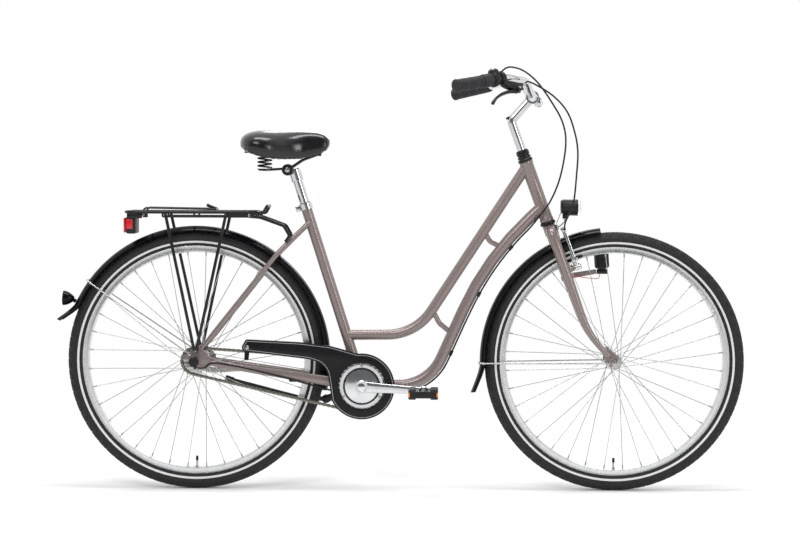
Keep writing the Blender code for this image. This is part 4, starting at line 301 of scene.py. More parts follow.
def raised(tree, height, distance, after=None):
    """A relief of that depth in metres, laid over the relief `after`, if any."""
    values = {"Height": height, "Distance": distance, "Strength": 1.0}
    if after is not None:
        values["Normal"] = after
    return add(tree, "Bump", values).outputs["Normal"]


def axle_distance(tree, axle):
    """Each point's distance from a wheel's axis."""
    flat = bike_coords(tree, (1, 0, 1), (-axle.x - SHIFT, 0, -axle.z))
    return add(tree, "VectorMath", {0: flat}, operation="LENGTH").outputs["Value"]


def maths(tree, kind, a, b=0.0):
    """One step of arithmetic on two values or sockets."""
    return add(tree, "Math", {0: a, 1: b}, operation=kind).outputs[0]


def ripples(tree, distance, width):
    """A wave that repeats at each `width` of the distance."""
    return maths(tree, "SINE", maths(tree, "MULTIPLY", distance, 2 * math.pi / width))


def surface(
    name, colour, roughness, metallic=0.0, vary=0.12, spot=90.0, relief=0.00002, fine=900.0, coat=0.0,
    wear=None, **extra
):
    """A finish whose colour and roughness drift a little, with fine relief and, if asked, paler edges."""
    made = bpy.data.materials.new(name)
    made.use_nodes = True
    tree = made.node_tree
    shader = tree.nodes["Principled BSDF"]
    drift = grain(tree, spot, 5.0)
    dark = tuple(channel * (1 - vary) for channel in colour)
    light = tuple(min(1.0, channel * (1 + vary)) for channel in colour)
    tone = mixed(tree, remap(tree, drift, 0.0, 1.0), dark, light)
    if wear:
        edge = add(tree, "NewGeometry").outputs["Pointiness"]
        worn = remap(tree, edge, 0.0, 0.55, 0.54, 0.60)
        broken = maths(tree, "MULTIPLY", worn, remap(tree, grain(tree, 420.0), 0.1, 1.0))
        tone = mixed(tree, broken, tone, wear)
    tree.links.new(tone, shader.inputs["Base Color"])
    rough = grain(tree, spot * 3.1)
    tree.links.new(
        remap(tree, rough, roughness * 0.82, min(1.0, roughness * 1.2)), shader.inputs["Roughness"]
    )
    tree.links.new(raised(tree, grain(tree, fine, 3.0), relief), shader.inputs["Normal"])
    shader.inputs["Metallic"].default_value = metallic
    shader.inputs["Coat Weight"].default_value = coat
    shader.inputs["Coat Roughness"].default_value = 0.06
    for key, value in extra.items():
        shader.inputs[key.replace("_", " ")].default_value = value
    return made


def turned_metal(name, axle, colour=(0.68, 0.69, 0.69), roughness=0.30, groove=0.0011, depth=0.00001):
    """Machined metal: fine rings about the wheel's axis."""
    made = surface(name, colour, roughness, 1.0, 0.05, 60.0)
    tree = made.node_tree
    shader = tree.nodes["Principled BSDF"]
    rings = ripples(tree, axle_distance(tree, axle), groove)
    tree.links.new(raised(tree, rings, depth), shader.inputs["Normal"])
    return made


def tyre_rubber(name, axle):
    """Black rubber with a pale reflective band and thin moulded rings on each wall, and a dusty tread."""
    made = surface(
        name, (0.020, 0.020, 0.021), 0.60, 0.0, 0.2, 140.0, 0.00005, 1400.0, Specular_IOR_Level=0.22
    )
    tree = made.node_tree
    shader = tree.nodes["Principled BSDF"]
    out = axle_distance(tree, axle)
    tone = shader.inputs["Base Color"].links[0].from_socket
    dust = remap(tree, out, 0.0, 0.55, TYRE_RADIUS - 0.012, TYRE_RADIUS)
    dust = maths(tree, "MULTIPLY", dust, remap(tree, grain(tree, 260.0), 0.2, 1.0))
    tone = mixed(tree, dust, tone, (0.055, 0.052, 0.048))
    inside = maths(tree, "GREATER_THAN", out, STRIPE_LOW)
    outside = maths(tree, "LESS_THAN", out, STRIPE_HIGH)
    stripe = maths(tree, "MULTIPLY", inside, outside)
    pale = mixed(tree, remap(tree, grain(tree, 700.0), 0.0, 1.0), (0.58, 0.58, 0.57), (0.72, 0.72, 0.70))
    tree.links.new(mixed(tree, stripe, tone, pale), shader.inputs["Base Color"])
    skin = raised(tree, grain(tree, 1400.0), 0.00006)
    tree.links.new(raised(tree, ripples(tree, out, WALL_RINGS), 0.00005, skin), shader.inputs["Normal"])
    return made


def leather_look(name):
    """Leather-grained cover: small rounded cells, darker in the creases between them."""
    made = surface(name, (0.005, 0.005, 0.006), 0.20, 0.0, 0.25, 60.0, coat=0.3, Specular_IOR_Level=0.4)
    tree = made.node_tree
    shader = tree.nodes["Principled BSDF"]
    shader.inputs["Coat Roughness"].default_value = 0.2
    cells = add(
        tree, "TexVoronoi", {"Vector": bike_coords(tree), "Scale": 620.0, "Randomness": 0.9}, feature="F1"
    )
    crease = remap(tree, cells.outputs["Distance"], 1.0, 0.0, 0.1, 0.75)
    folds = raised(tree, grain(tree, 30.0, 2.0), 0.0005)
    tree.links.new(raised(tree, crease, 0.00003, folds), shader.inputs["Normal"])
    return made


def lens(name, colour, roughness=0.03, ior=1.49):
    """Clear plastic."""
    made = surface(name, colour, roughness, 0.0, 0.04, 30.0, 0.00001, 300.0)
    shader = made.node_tree.nodes["Principled BSDF"]
    shader.inputs["Transmission Weight"].default_value = 1.0
    shader.inputs["IOR"].default_value = ior
    return made


STRIPE_LOW = 0.3232  # the tyre's pale band, from the axle
STRIPE_HIGH = 0.3288
WALL_RINGS = 0.0016
DULL = {"Specular_IOR_Level": 0.22}
PAINT = surface("taupe_paint_fine", (0.235, 0.190, 0.182), 0.32, 0.40, 0.10, 1800.0, 0.000008, 500.0, 0.35)
POLISHED = surface("polished_aluminium_fine", (0.66, 0.67, 0.68), 0.15, 1.0, 0.05, 40.0, 0.000004, 1500.0)
CHROME = surface("chrome_fine", (0.70, 0.71, 0.72), 0.06, 1.0, 0.03, 30.0, 0.000002, 700.0)
STEEL = surface("plated_steel_fine", (0.46, 0.455, 0.44), 0.27, 1.0, 0.12, 80.0, 0.00001, 1200.0)
SPOKE_STEEL = surface("spoke_steel_fine", (0.50, 0.50, 0.50), 0.24, 1.0, 0.06, 80.0, 0.000004, 1200.0)
CHAIN_STEEL = surface("chain_steel_fine", (0.21, 0.195, 0.172), 0.36, 1.0, 0.30, 260.0, 0.00002, 1500.0)
CHAIN_DARK = surface("chain_roller_fine", (0.15, 0.14, 0.125), 0.45, 1.0, 0.30, 300.0, 0.00002, 1500.0)
BLACK_METAL = surface(
    "black_metal_fine", (0.010, 0.010, 0.011), 0.30, 0.0, 0.2, 120.0, 0.00001, 700.0, 0.10,
    wear=(0.04, 0.04, 0.04), **DULL
)
GUARD_BLACK = surface(
    "guard_black_fine", (0.007, 0.007, 0.008), 0.34, 0.0, 0.2, 90.0, 0.00001, 1100.0, **DULL
)
BLACK_GLOSS = surface(
    "black_gloss_fine", (0.003, 0.003, 0.004), 0.14, 0.0, 0.15, 30.0, 0.000004, 200.0, Specular_IOR_Level=0.15
)
BLACK_PLASTIC = surface(
    "black_plastic_fine", (0.014, 0.014, 0.015), 0.42, 0.0, 0.2, 150.0, 0.00003, 2200.0,
    wear=(0.045, 0.045, 0.045), **DULL
)
GRIP = surface(
    "grip_rubber_fine", (0.024, 0.024, 0.027), 0.55, 0.0, 0.18, 160.0, 0.00004, 1800.0,
    Specular_IOR_Level=0.30
)
LEATHERETTE = leather_look("black_leatherette_fine")
CLEAR = lens("clear_lens_fine", (0.93, 0.95, 0.96))
RED_BACK = surface("red_reflector_fine", (0.55, 0.008, 0.014), 0.22, 0.0, 0.2, 500.0, 0.00002, 900.0, 0.3)
AMBER = surface("amber_reflector_fine", (0.85, 0.20, 0.01), 0.22, 0.0, 0.2, 500.0, 0.00002, 900.0, 0.3)
SILVER_BOWL = surface("lamp_bowl_fine", (0.8, 0.8, 0.8), 0.08, 1.0, 0.04, 60.0, 0.00001, 500.0)
WINDOW = surface("shift_window_fine", (0.30, 0.31, 0.33), 0.12, 0.3, 0.15, 120.0, 0.00001, 500.0, 0.5)
CABLE = surface(
    "cable_housing_fine", (0.010, 0.010, 0.011), 0.34, 0.0, 0.2, 200.0, 0.00002, 900.0, 0.05, **DULL
)
RED_WIRE = surface("red_wire_fine", (0.45, 0.012, 0.012), 0.4, 0.0, 0.2, 200.0, 0.00002, 900.0)
PAD = surface("brake_rubber_fine", (0.014, 0.014, 0.014), 0.6, 0.0, 0.2, 200.0, 0.00004, 1500.0, **DULL)
# The pale grey of the chain guard's edge line: a painted highlight.
PAINTED_EDGE_HIGHLIGHT = surface("guard_edge_painted_highlight_fine", (0.30, 0.31, 0.32), 0.35, 0.2, 0.08, 200.0, 0.000004, 900.0)
REAR_RUBBER = tyre_rubber("rear_tyre_rubber_fine", REAR_AXLE)
FRONT_RUBBER = tyre_rubber("front_tyre_rubber_fine", FRONT_AXLE)
REAR_ALLOY = turned_metal("rear_rim_aluminium_fine", REAR_AXLE)
FRONT_ALLOY = turned_metal("front_rim_aluminium_fine", FRONT_AXLE)


# Modelling functions

WELD = 0.00001  # points closer than this become one
FINE_WELD = 0.000001
ARC_STEP = 6.0  # degrees of a bent tube's arc in one step


def link(mesh, name="piece"):
    made = bpy.data.objects.new(name, mesh)
    bpy.context.scene.collection.objects.link(made)
    return made


def from_bmesh(shape, name="piece"):
    """An object of that mesh, with its faces turned outwards."""
    bmesh.ops.recalc_face_normals(shape, faces=shape.faces)
    mesh = bpy.data.meshes.new(name)
    shape.to_mesh(mesh)
    shape.free()
    return link(mesh, name)


def baked(obj, weld=WELD):
    """The object's evaluated shape as a plain welded mesh in the bike's own coordinates."""
    bpy.context.view_layer.update()
    graph = bpy.context.evaluated_depsgraph_get()
    mesh = bpy.data.meshes.new_from_object(obj.evaluated_get(graph))
    mesh.transform(obj.matrix_world)
    bpy.data.objects.remove(obj, do_unlink=True)
    shape = bmesh.new()
    shape.from_mesh(mesh)
    bmesh.ops.remove_doubles(shape, verts=shape.verts, dist=weld)
    bpy.data.meshes.remove(mesh)
    return from_bmesh(shape)


def bent(corners, radii, turn=ARC_STEP):
    """Straight runs joined by arcs, as points: a radius for each inner corner, a step for `turn` degrees."""
    corners = [Vector(corner) for corner in corners]
    points = [corners[0]]
    for before, corner, after, radius in zip(corners, corners[1:], corners[2:], radii):
        back = (before - corner).normalized()
        ahead = (after - corner).normalized()
        bend = math.pi - back.angle(ahead)
        if bend < 0.01 or radius <= 0:
            points.append(corner)
            continue
        reach = radius * math.tan(bend / 2)
        middle = (back + ahead).normalized()
        centre = corner + middle * radius / math.cos(bend / 2)
        start = corner + back * reach - centre
        across = middle.cross(start).cross(middle).normalized()
        steps = max(1, round(math.degrees(bend) / turn))
        for step in range(steps + 1):
            angle = bend / 2 - bend * step / steps
            points.append(centre - middle * radius * math.cos(angle) + across * radius * math.sin(angle))
    points.append(corners[-1])
    return points


def between(a, b, c, d, t):
    """The place at share t from b to c on the smooth curve through all four."""
    return 0.5 * (2 * b + (c - a) * t + (2 * a - 5 * b + 4 * c - d) * t**2 + (3 * b - a - 3 * c + d) * t**3)


def quads(points):
    """Each four neighbours in a row, with one more point added at either end."""
    ends = [2 * points[0] - points[1], *points, 2 * points[-1] - points[-2]]
    return zip(ends, ends[1:], ends[2:], ends[3:])


def smooth(points, spacing):
    """A smooth curve through the points, read at steady steps of about `spacing`."""
    points = [Vector(point) for point in points]
    found = [points[0]]
    for four in quads(points):
        steps = max(1, round((four[2] - four[1]).length / spacing))
        found += [between(*four, step / steps) for step in range(1, steps + 1)]
    return found


def tube(points, radius, closed=False):
    """A round tube along the points. `radius` is one value, or one for each point."""
    radii = radius if isinstance(radius, list) else [radius] * len(points)
    sides = 28 if max(radii) > 0.005 else 16
    curve = bpy.data.curves.new("tube", "CURVE")
    curve.dimensions = "3D"
    curve.bevel_depth = 1.0
    curve.bevel_resolution = sides // 2 - 2
    curve.use_fill_caps = not closed
    spline = curve.splines.new("POLY")
    spline.points.add(len(points) - 1)
    spline.use_cyclic_u = closed
    for place, point, size in zip(spline.points, points, radii):
        place.co = (*point, 1.0)
        place.radius = size
    return baked(link(curve))


def tapered(points, first, last):
    """Radii that change steadily along the points from first to last."""
    lengths = [0.0]
    for a, b in zip(points, points[1:]):
        lengths.append(lengths[-1] + (b - a).length)
    return [first + (last - first) * length / lengths[-1] for length in lengths]


def rod(start, end, radius, end_radius=None, sides=ROUND, edge=0.0006):
    """A round or hexagonal bar with softened ends."""
    start, end = Vector(start), Vector(end)
    shape = bmesh.new()
    bmesh.ops.create_cone(
        shape, cap_ends=True, segments=sides, radius1=radius,
        radius2=radius if end_radius is None else end_radius, depth=(end - start).length
    )
    edge = min(edge, radius * 0.3, (end - start).length * 0.3)
    rims = [e for e in shape.edges if abs(e.verts[0].co.z - e.verts[1].co.z) < 1e-7 or sides == HEXAGON]
    bmesh.ops.bevel(shape, geom=rims, offset=edge, segments=2, affect="EDGES", profile=0.5)
    turn = (end - start).to_track_quat("Z", "Y").to_matrix().to_4x4()
    bmesh.ops.transform(shape, matrix=Matrix.Translation((start + end) / 2) @ turn, verts=shape.verts)
    return from_bmesh(shape)


def hexagon(start, end, radius):
    """The head of a bolt, or a nut."""
    return rod(start, end, radius, sides=HEXAGON)


def axes(along, side):
    """A turning matrix whose x runs along `along` and whose y runs as near `side` as it can."""
    x = Vector(along).normalized()
    z = x.cross(Vector(side)).normalized()
    y = z.cross(x)
    return Matrix((x, y, z)).transposed()


def box(centre, size, bevel=0.0, turn=None):
    """A block with rounded edges. `turn` is a matrix that its sides follow."""
    shape = bmesh.new()
    bmesh.ops.create_cube(shape, size=1.0)
    bmesh.ops.scale(shape, vec=Vector(size), verts=shape.verts)
    bevel = bevel or min(size) * 0.16
    bmesh.ops.bevel(shape, geom=shape.edges, offset=bevel, segments=3, affect="EDGES", profile=0.5)
    matrix = Matrix.Translation(Vector(centre)) @ (turn or Matrix.Identity(3)).to_4x4()
    bmesh.ops.transform(shape, matrix=matrix, verts=shape.verts)
    return from_bmesh(shape)


def turned(profile, centre, axis, steps=64, closed=True):
    """A shape turned about an axis from (radius, distance along the axis) pairs."""
    mesh = bpy.data.meshes.new("profile")
    count = len(profile)
    edges = [(i, i + 1) for i in range(count - 1)]
    if closed:
        edges.append((count - 1, 0))
    mesh.from_pydata([(radius, 0, along) for radius, along in profile], edges, [])
    made = link(mesh)
    screw = made.modifiers.new("turn", "SCREW")
    screw.axis = "Z"
    screw.steps = steps
    screw.render_steps = steps
    screw.use_merge_vertices = True
    screw.merge_threshold = WELD
    turn = Vector(axis).to_track_quat("Z", "X").to_matrix().to_4x4()
    made.matrix_world = Matrix.Translation(Vector(centre)) @ turn
    return baked(made)


def knob(profile, centre, axis, steps=64):
    """A solid turned shape, whose profile starts and ends on the axis."""
    return turned(profile, centre, axis, steps, False)


def band(bore, radius, low, high, cut=0.001, cut_along=None):
    """The profile of a ring from low to high along its axis, with its outer corners cut off."""
    cut_along = cut if cut_along is None else cut_along
    corners = [
        (radius - cut, low), (radius, low + cut_along), (radius, high - cut_along), (radius - cut, high)
    ]
    return [(bore, low), *corners, (bore, high)]


def mirrored(half):
    """A profile that goes on from the middle as the mirror image of its first half."""
    return half + [(radius, -along) for radius, along in reversed(half[:-1])]


def plate(outlines, y, thickness, plane=None, edge=None):
    """A flat plate with softened edges, from closed outlines of (x, z) points, centred on side distance y.

    With `plane`, a 4x4 matrix, the outline lies in that plane's x and y instead.
    """
    edge = min(0.0006, thickness * 0.2) if edge is None else edge
    curve = bpy.data.curves.new("outline", "CURVE")
    curve.dimensions = "2D"
    curve.fill_mode = "BOTH"
    curve.extrude = thickness / 2 - edge
    curve.bevel_depth = edge
    curve.bevel_resolution = 1
    curve.offset = -edge
    for outline in outlines:
        spline = curve.splines.new("POLY")
        spline.points.add(len(outline) - 1)
        spline.use_cyclic_u = True
        for place, (a, b) in zip(spline.points, outline):
            place.co = (a, b, 0, 1)
    made = link(curve)
    made.matrix_world = plane or Matrix.Translation((0, y, 0)) @ Matrix.Rotation(math.pi / 2, 4, "X")
    return baked(made)


def loft(sections, closed_ends=True):
    """A closed body through rings of equally many points."""
    shape = bmesh.new()
    rings = [[shape.verts.new(point) for point in section] for section in sections]
    count = len(rings[0])
    for a, b in zip(rings, rings[1:]):
        for i in range(count):
            shape.faces.new((a[i], a[(i + 1) % count], b[(i + 1) % count], b[i]))
    if closed_ends:
        shape.faces.new(rings[0])
        shape.faces.new(rings[-1])
    bmesh.ops.remove_doubles(shape, verts=shape.verts, dist=FINE_WELD)
    return from_bmesh(shape)


def sweep(points, halves, side, flatness=2.0, sides=32, fine=8):
    """An oval bar along points. `halves` gives (half across, half along `side`) at each point."""
    if len(points) < 12:
        rows = [Vector((*p, a, b)) for p, (a, b) in zip(points, halves)]
        found = [rows[0]]
        for four in quads(rows):
            found += [between(*four, step / fine) for step in range(1, fine + 1)]
        points = [Vector(row[:3]) for row in found]
        halves = [(row[3], row[4]) for row in found]
    sections = []
    for i, (point, (across, deep)) in enumerate(zip(points, halves)):
        ahead = (points[min(i + 1, len(points) - 1)] - points[max(i - 1, 0)]).normalized()
        b = (Vector(side) - ahead * ahead.dot(Vector(side))).normalized()
        a = b.cross(ahead)
        ring = []
        for step in range(sides):
            angle = 2 * math.pi * (step + 0.5) / sides
            c, s = math.cos(angle), math.sin(angle)
            swell = (abs(c) ** flatness + abs(s) ** flatness) ** (-1 / flatness)
            ring.append(point + a * across * c * swell + b * deep * s * swell)
        sections.append(ring)
    return loft(sections)


def fuse(*pieces):
    """One mesh of the pieces, which run into each other."""
    shape = bmesh.new()
    for piece in pieces:
        shape.from_mesh(piece.data)
        bpy.data.objects.remove(piece, do_unlink=True)
    mesh = bpy.data.meshes.new("group")
    shape.to_mesh(mesh)
    shape.free()
    return link(mesh)


def carve(base, *cutters):
    """The base less the cutters, by Blender's exact Boolean."""
    for cutter in cutters:
        step = base.modifiers.new("carve", "BOOLEAN")
        step.operation = "DIFFERENCE"
        step.solver = "EXACT"
        step.use_self = True
        step.object = cutter
    bpy.context.view_layer.update()
    mesh = bpy.data.meshes.new_from_object(base.evaluated_get(bpy.context.evaluated_depsgraph_get()))
    for used in (base, *cutters):
        bpy.data.objects.remove(used, do_unlink=True)
    return link(mesh)


def seated(obj, name, body, look, sharp=32.0):
    """Names a piece, moves it into the frame's coordinates, gives it its look and sets it on its body."""
    obj.data.transform(Matrix.Translation((SHIFT, 0, 0)))
    obj.name = name
    obj.data.name = name
    obj.data.materials.clear()
    obj.data.materials.append(look)
    obj.data.shade_smooth()
    obj.data.set_sharp_from_angle(angle=math.radians(sharp))
    if body:
        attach(obj, body)
    return obj


def finish(obj, name, look, sharp=32.0):
    """A smooth piece that stands for the CAD node of that name."""
    seated(obj, name + "_fine", BODY_OF[name], look, sharp)
    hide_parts(name)
    return obj


def detail(obj, name, near, look, sharp=32.0):
    """A small piece that rides with a CAD node's body."""
    return seated(obj, name, BODY_OF[near], look, sharp)


def ring_outline(centre, radius, start=0.0, end=360.0):
    """Points round a circle or an arc, in the side view, one for each 3 degrees."""
    steps = round(abs(end - start) / 3)
    whole = abs(end - start) >= 360
    count = steps if whole else steps + 1
    found = []
    for step in range(count):
        angle = math.radians(start + (end - start) * step / steps)
        found.append((centre.x + radius * math.cos(angle), centre.z + radius * math.sin(angle)))
    return found


def inset(outline, distance):
    """The outline moved inwards by a distance. Its points run anticlockwise."""
    found = []
    count = len(outline)
    for i in range(count):
        before, here, after = (Vector(outline[(i + k) % count]) for k in (-1, 0, 1))
        a = (here - before).normalized()
        b = (after - here).normalized()
        middle = (a + b).normalized()
        inward = Vector((-middle.y, middle.x))
        stretch = max(0.5, inward.dot(Vector((-a.y, a.x))))
        found.append(tuple(here + inward * distance / stretch))
    return found


# Wheels

TREAD = 0.0013


def lug(shape, axle, at, low, high, start, end, skew):
    """One tread block that follows the tyre's crown, from low to high degrees over it."""
    across, along = 4, 2
    half = TYRE_WIDTH / 2
    centre = TYRE_RADIUS - half

    def place(u, v, lift):
        over = math.radians(low + (high - low) * u)
        turn = at + start + (end - start) * v + skew * (u - 0.5)
        radius = centre + (half - TREAD + lift) * math.cos(over)
        return around(axle, radius, turn, (half - TREAD + lift) * math.sin(over))

    grid = {}
    for lift, rows in ((TREAD, 1), (-0.0008, 0)):
        for i in range(across + 1):
            for j in range(along + 1):
                draw = 0.06 if rows else 0.0
                u = draw + (1 - 2 * draw) * i / across
                v = draw + (1 - 2 * draw) * j / along
                grid[rows, i, j] = shape.verts.new(place(u, v, lift))
    for i in range(across):
        for j in range(along):
            shape.faces.new([grid[1, a, b] for a, b in ((i, j), (i + 1, j), (i + 1, j + 1), (i, j + 1))])
    rim_path = [(i, 0) for i in range(across)] + [(across, j) for j in range(along)]
    rim_path += [(across - i, along) for i in range(across)] + [(0, along - j) for j in range(along)]
    for a, b in zip(rim_path, rim_path[1:] + rim_path[:1]):
        shape.faces.new([grid[1, *a], grid[1, *b], grid[0, *b], grid[0, *a]])


def tyre(name, axle, look):
    """A tyre with a block tread: a row down the middle and two on each side."""
    half = TYRE_WIDTH / 2
    centre = TYRE_RADIUS - half
    base = RIM_RADIUS + GAP
    bead = RIM_WIDTH / 2
    outside = [(base, bead + 0.0005), (base + 0.0015, bead + 0.0022)]
    for angle in range(8, 176, 4):
        a = math.radians(angle)
        swell = half - TREAD * min(1.0, max(0.0, math.sin(a) - 0.35) / 0.25)
        outside.append((centre + swell * math.sin(a), swell * math.cos(a)))
    outside += [(base + 0.0015, -bead - 0.0022), (base, -bead - 0.0005)]
    inner = half - TYRE_WALL
    inside = [(base, -bead + 0.003)]
    for angle in range(165, 10, -15):
        a = math.radians(angle)
        inside.append((centre + inner * math.sin(a), inner * math.cos(a)))
    inside.append((base, bead - 0.003))
    carcass = turned(outside + inside, axle, LEFT, 180)
    shape = bmesh.new()
    blocks = 72
    for block in range(blocks):
        at = 360 * block / blocks
        lug(shape, axle, at, -13, 13, 0.4, 4.5, 1.6)
        for side in (-1, 1):
            lug(shape, axle, at + 2.2 * (side > 0), side * 17, side * 33, 0.5, 3.9, side * 1.3)
            lug(shape, axle, at + 1.1, side * 37, side * 54, 0.7, 3.2, side * 0.8)
    finish(fuse(carcass, from_bmesh(shape)), name, look, sharp=40)


def rim(name, axle, look):
    """A box-section rim with rolled hooks and a machined braking band on each side."""
    half = RIM_WIDTH / 2
    top = RIM_RADIUS
    shoulder = top - BRAKE_TRACK
    bottom = top - RIM_DEPTH
    side = [
        (top, half - 0.0004), (top - 0.0008, half), (top - 0.0022, half - 0.0003),
        (shoulder + 0.0012, half - 0.0003), (shoulder + 0.0004, half), (shoulder - 0.0010, half - 0.0003),
        (bottom + 0.0012, half * 0.66), (bottom + 0.0004, half * 0.52), (bottom, half * 0.36),
        (bottom - 0.0001, 0.0)
    ]
    well = [(top, -half + RIM_WALL), (bottom + 0.0050, -half * 0.45), (bottom + 0.0040, 0)]
    well += [(bottom + 0.0050, half * 0.45), (top, half - RIM_WALL)]
    finish(turned(mirrored(side) + well, axle, LEFT, 180), name, look, sharp=35)


def valve(name, axle, degrees):
    """The valve's stem, nut and cap, which point at the axle."""
    inner = RIM_RADIUS - RIM_DEPTH
    stem = rod(around(axle, inner + 0.004, degrees), around(axle, inner - 0.024, degrees), 0.0029)
    nut = hexagon(around(axle, inner, degrees), around(axle, inner - 0.0035, degrees), 0.0052)
    cap = rod(around(axle, inner - 0.018, degrees), around(axle, inner - 0.030, degrees), 0.0041, 0.0034)
    detail(fuse(stem, nut), name + "_stem", name + "_rim", STEEL)
    detail(cap, name + "_valve_cap", name + "_rim", BLACK_PLASTIC)


def hub(name, axle, flange_radius, spread, crossing, profile, look):
    """A hub shell with flanges, and spokes that hook through them and end in nipples at the rim."""
    pieces = [turned(profile, axle, LEFT, 96)]
    nipples = []
    reach = RIM_RADIUS - RIM_DEPTH
    for number in range(SPOKES):
        side = 1 if number % 2 else -1
        trailing = 1 if (number // 2) % 2 else -1
        at_rim = 360 * (number + 0.5) / SPOKES
        at_flange = at_rim + trailing * crossing
        seat_y = side * (spread / 2 + 0.0030 * trailing)
        start = around(axle, flange_radius * 0.88, at_flange, seat_y)
        end = around(axle, reach + 0.0005, at_rim, side * 0.0020)
        ahead = (end - start).normalized()
        bend = start + LEFT * side * trailing * 0.0007
        inwards = LEFT * side * trailing
        pieces.append(tube([start - inwards * 0.0052, bend, start + ahead * 0.003, end], SPOKE_RADIUS * 0.92))
        head = start - inwards * 0.0058
        pieces.append(rod(head - LEFT * 0.0006, head + LEFT * 0.0006, 0.0021))
        nipples.append(tube([end - ahead * 0.0105, end - ahead * 0.0095, end], [0.0015, 0.0019, 0.0021]))
    finish(fuse(*pieces), name, look)
    detail(fuse(*nipples), name + "_nipples", name, STEEL)


def flange(radius, middle):
    """The profile of a hub's flange, from its left side to its right."""
    left, right = middle + FLANGE_HALF, middle - FLANGE_HALF
    return [
        (radius - 0.0006, left), (radius, left - 0.0006), (radius, right + 0.0006), (radius - 0.0006, right)
    ]


def axle_with_nuts(axle, face, right_end, left_end):
    """An axle with a washer and a domed hexagon nut outside each dropout."""
    pieces = [rod(axle - LEFT * right_end, axle + LEFT * left_end, AXLE_RADIUS)]
    for side in (-1, 1):
        inner = axle + LEFT * side * (face + GAP)
        pieces.append(rod(inner, inner + LEFT * side * 0.002, 0.0105))
        pieces.append(hexagon(inner + LEFT * side * 0.0015, inner + LEFT * side * 0.0095, 0.0088))
    return pieces


tyre("front_tyre", FRONT_AXLE, FRONT_RUBBER)
tyre("rear_tyre", REAR_AXLE, REAR_RUBBER)
rim("front_rim", FRONT_AXLE, FRONT_ALLOY)
rim("rear_rim", REAR_AXLE, REAR_ALLOY)
valve("front", FRONT_AXLE, 270)
valve("rear", REAR_AXLE, 270)

FLANGE_HALF = 0.0020
HUB_BORE = AXLE_RADIUS + RUNNING_GAP
front_end = FRONT_FORK_GAP / 2 - 0.002
front_spread = FRONT_FLANGE_SPREAD / 2
half_shell = [
    (HUB_BORE, front_end), (0.0095, front_end), (0.0102, front_end - 0.0006), (0.0105, front_end - 0.006),
    (0.0130, front_spread + FLANGE_HALF + 0.0005), *flange(FRONT_FLANGE_RADIUS, front_spread),
    (0.0140, front_spread - 0.0035), (0.0118, front_spread - 0.0080), (0.0112, 0.0)
]
hub("front_hub", FRONT_AXLE, FRONT_FLANGE_RADIUS, FRONT_FLANGE_SPREAD, 60, mirrored(half_shell), SPOKE_STEEL)
rear_spread = REAR_FLANGE_SPREAD / 2
cog_inside = -CHAIN_LINE + 0.0065
hub(
    "rear_hub", REAR_AXLE, REAR_FLANGE_RADIUS, REAR_FLANGE_SPREAD, 40,
    [
        (HUB_BORE, 0.050), (0.0165, 0.050), (0.0172, 0.0492), (0.0215, rear_spread + 0.0065),
        (0.0230, rear_spread + 0.0050), (0.0280, rear_spread + FLANGE_HALF + 0.0004),
        *mirrored(
            [
                *flange(REAR_FLANGE_RADIUS, rear_spread), (0.0285, rear_spread - 0.0045),
                (0.0262, rear_spread - 0.0080), (0.0255, 0.0)
            ]
        ),
        (0.0240, -rear_spread - FLANGE_HALF - 0.0004), (0.0220, cog_inside + RUNNING_GAP + 0.001),
        (HUB_BORE, cog_inside + RUNNING_GAP)
    ],
    SPOKE_STEEL
)

front_half_axle = FRONT_FACE + 0.013
finish(fuse(*axle_with_nuts(FRONT_AXLE, FRONT_FACE, front_half_axle, front_half_axle)), "front_axle", STEEL)

# The shifting box on the right end of the rear axle, and a clamp screw in it
box_start = REAR_AXLE - LEFT * (REAR_FACE + 0.0085)
finish(
    fuse(
        *axle_with_nuts(REAR_AXLE, REAR_FACE, REAR_FACE + 0.012, REAR_FACE + 0.014),
        knob(
            [
                (0, 0), (0.0128, 0), (0.0135, 0.001), (0.0135, 0.011), (0.0120, 0.0148), (0.0095, 0.0160),
                (0, 0.0160)
            ],
            box_start, -LEFT
        ),
        rod(box_start - LEFT * 0.004, box_start + vec(0.006, -0.012, -0.017), 0.0065, 0.005)
    ),
    "rear_axle", BLACK_PLASTIC
)
detail(
    hexagon(box_start - LEFT * 0.0155, box_start - LEFT * 0.0172, 0.0048), "shift_box_screw", "rear_axle",
    BLACK_METAL
)


# Chainring, sprocket and chain


def toothed(teeth, phase):
    """A sprocket's outline: a round valley for each roller, and tapered teeth with blunt tips."""
    pitch_circle = pitch_radius(teeth)
    valley_radius = ROLLER_RADIUS + 0.00035
    found = []
    for tooth in range(teeth):
        valley = phase + 2 * math.pi * tooth / teeth
        ahead = Vector((math.cos(valley), math.sin(valley)))
        across = Vector((-ahead.y, ahead.x))
        for step in range(9):
            angle = math.radians(-62 + 124 * step / 8)
            found.append(
                ahead * (
                    pitch_circle - valley_radius * math.cos(angle)
                ) + across * valley_radius * math.sin(angle)
            )
        crest = valley + math.pi / teeth
        top = Vector((math.cos(crest), math.sin(crest)))
        aside = Vector((-top.y, top.x))
        found += [
            top * (pitch_circle + TOOTH_RISE) - aside * 0.0007,
            top * (pitch_circle + TOOTH_RISE) + aside * 0.0007
        ]
    return found


def circle(radius, steps=48):
    """Points round a circle about 0, 0."""
    angles = [2 * math.pi * i / steps for i in range(steps)]
    return [(radius * math.cos(angle), radius * math.sin(angle)) for angle in angles]


to_cog = REAR_AXLE - BRACKET
COG_ANGLE = math.atan2(to_cog.z, to_cog.x)
ALONG = vec(math.cos(COG_ANGLE), 0, math.sin(COG_ANGLE))
ACROSS = vec(-ALONG.z, 0, ALONG.x)


def side_plane(centre, y):
    """A plane for flat outlines, parallel to the bike's side, at side distance y."""
    return Matrix.Translation(centre + LEFT * y) @ Matrix.Rotation(math.pi / 2, 4, "X")


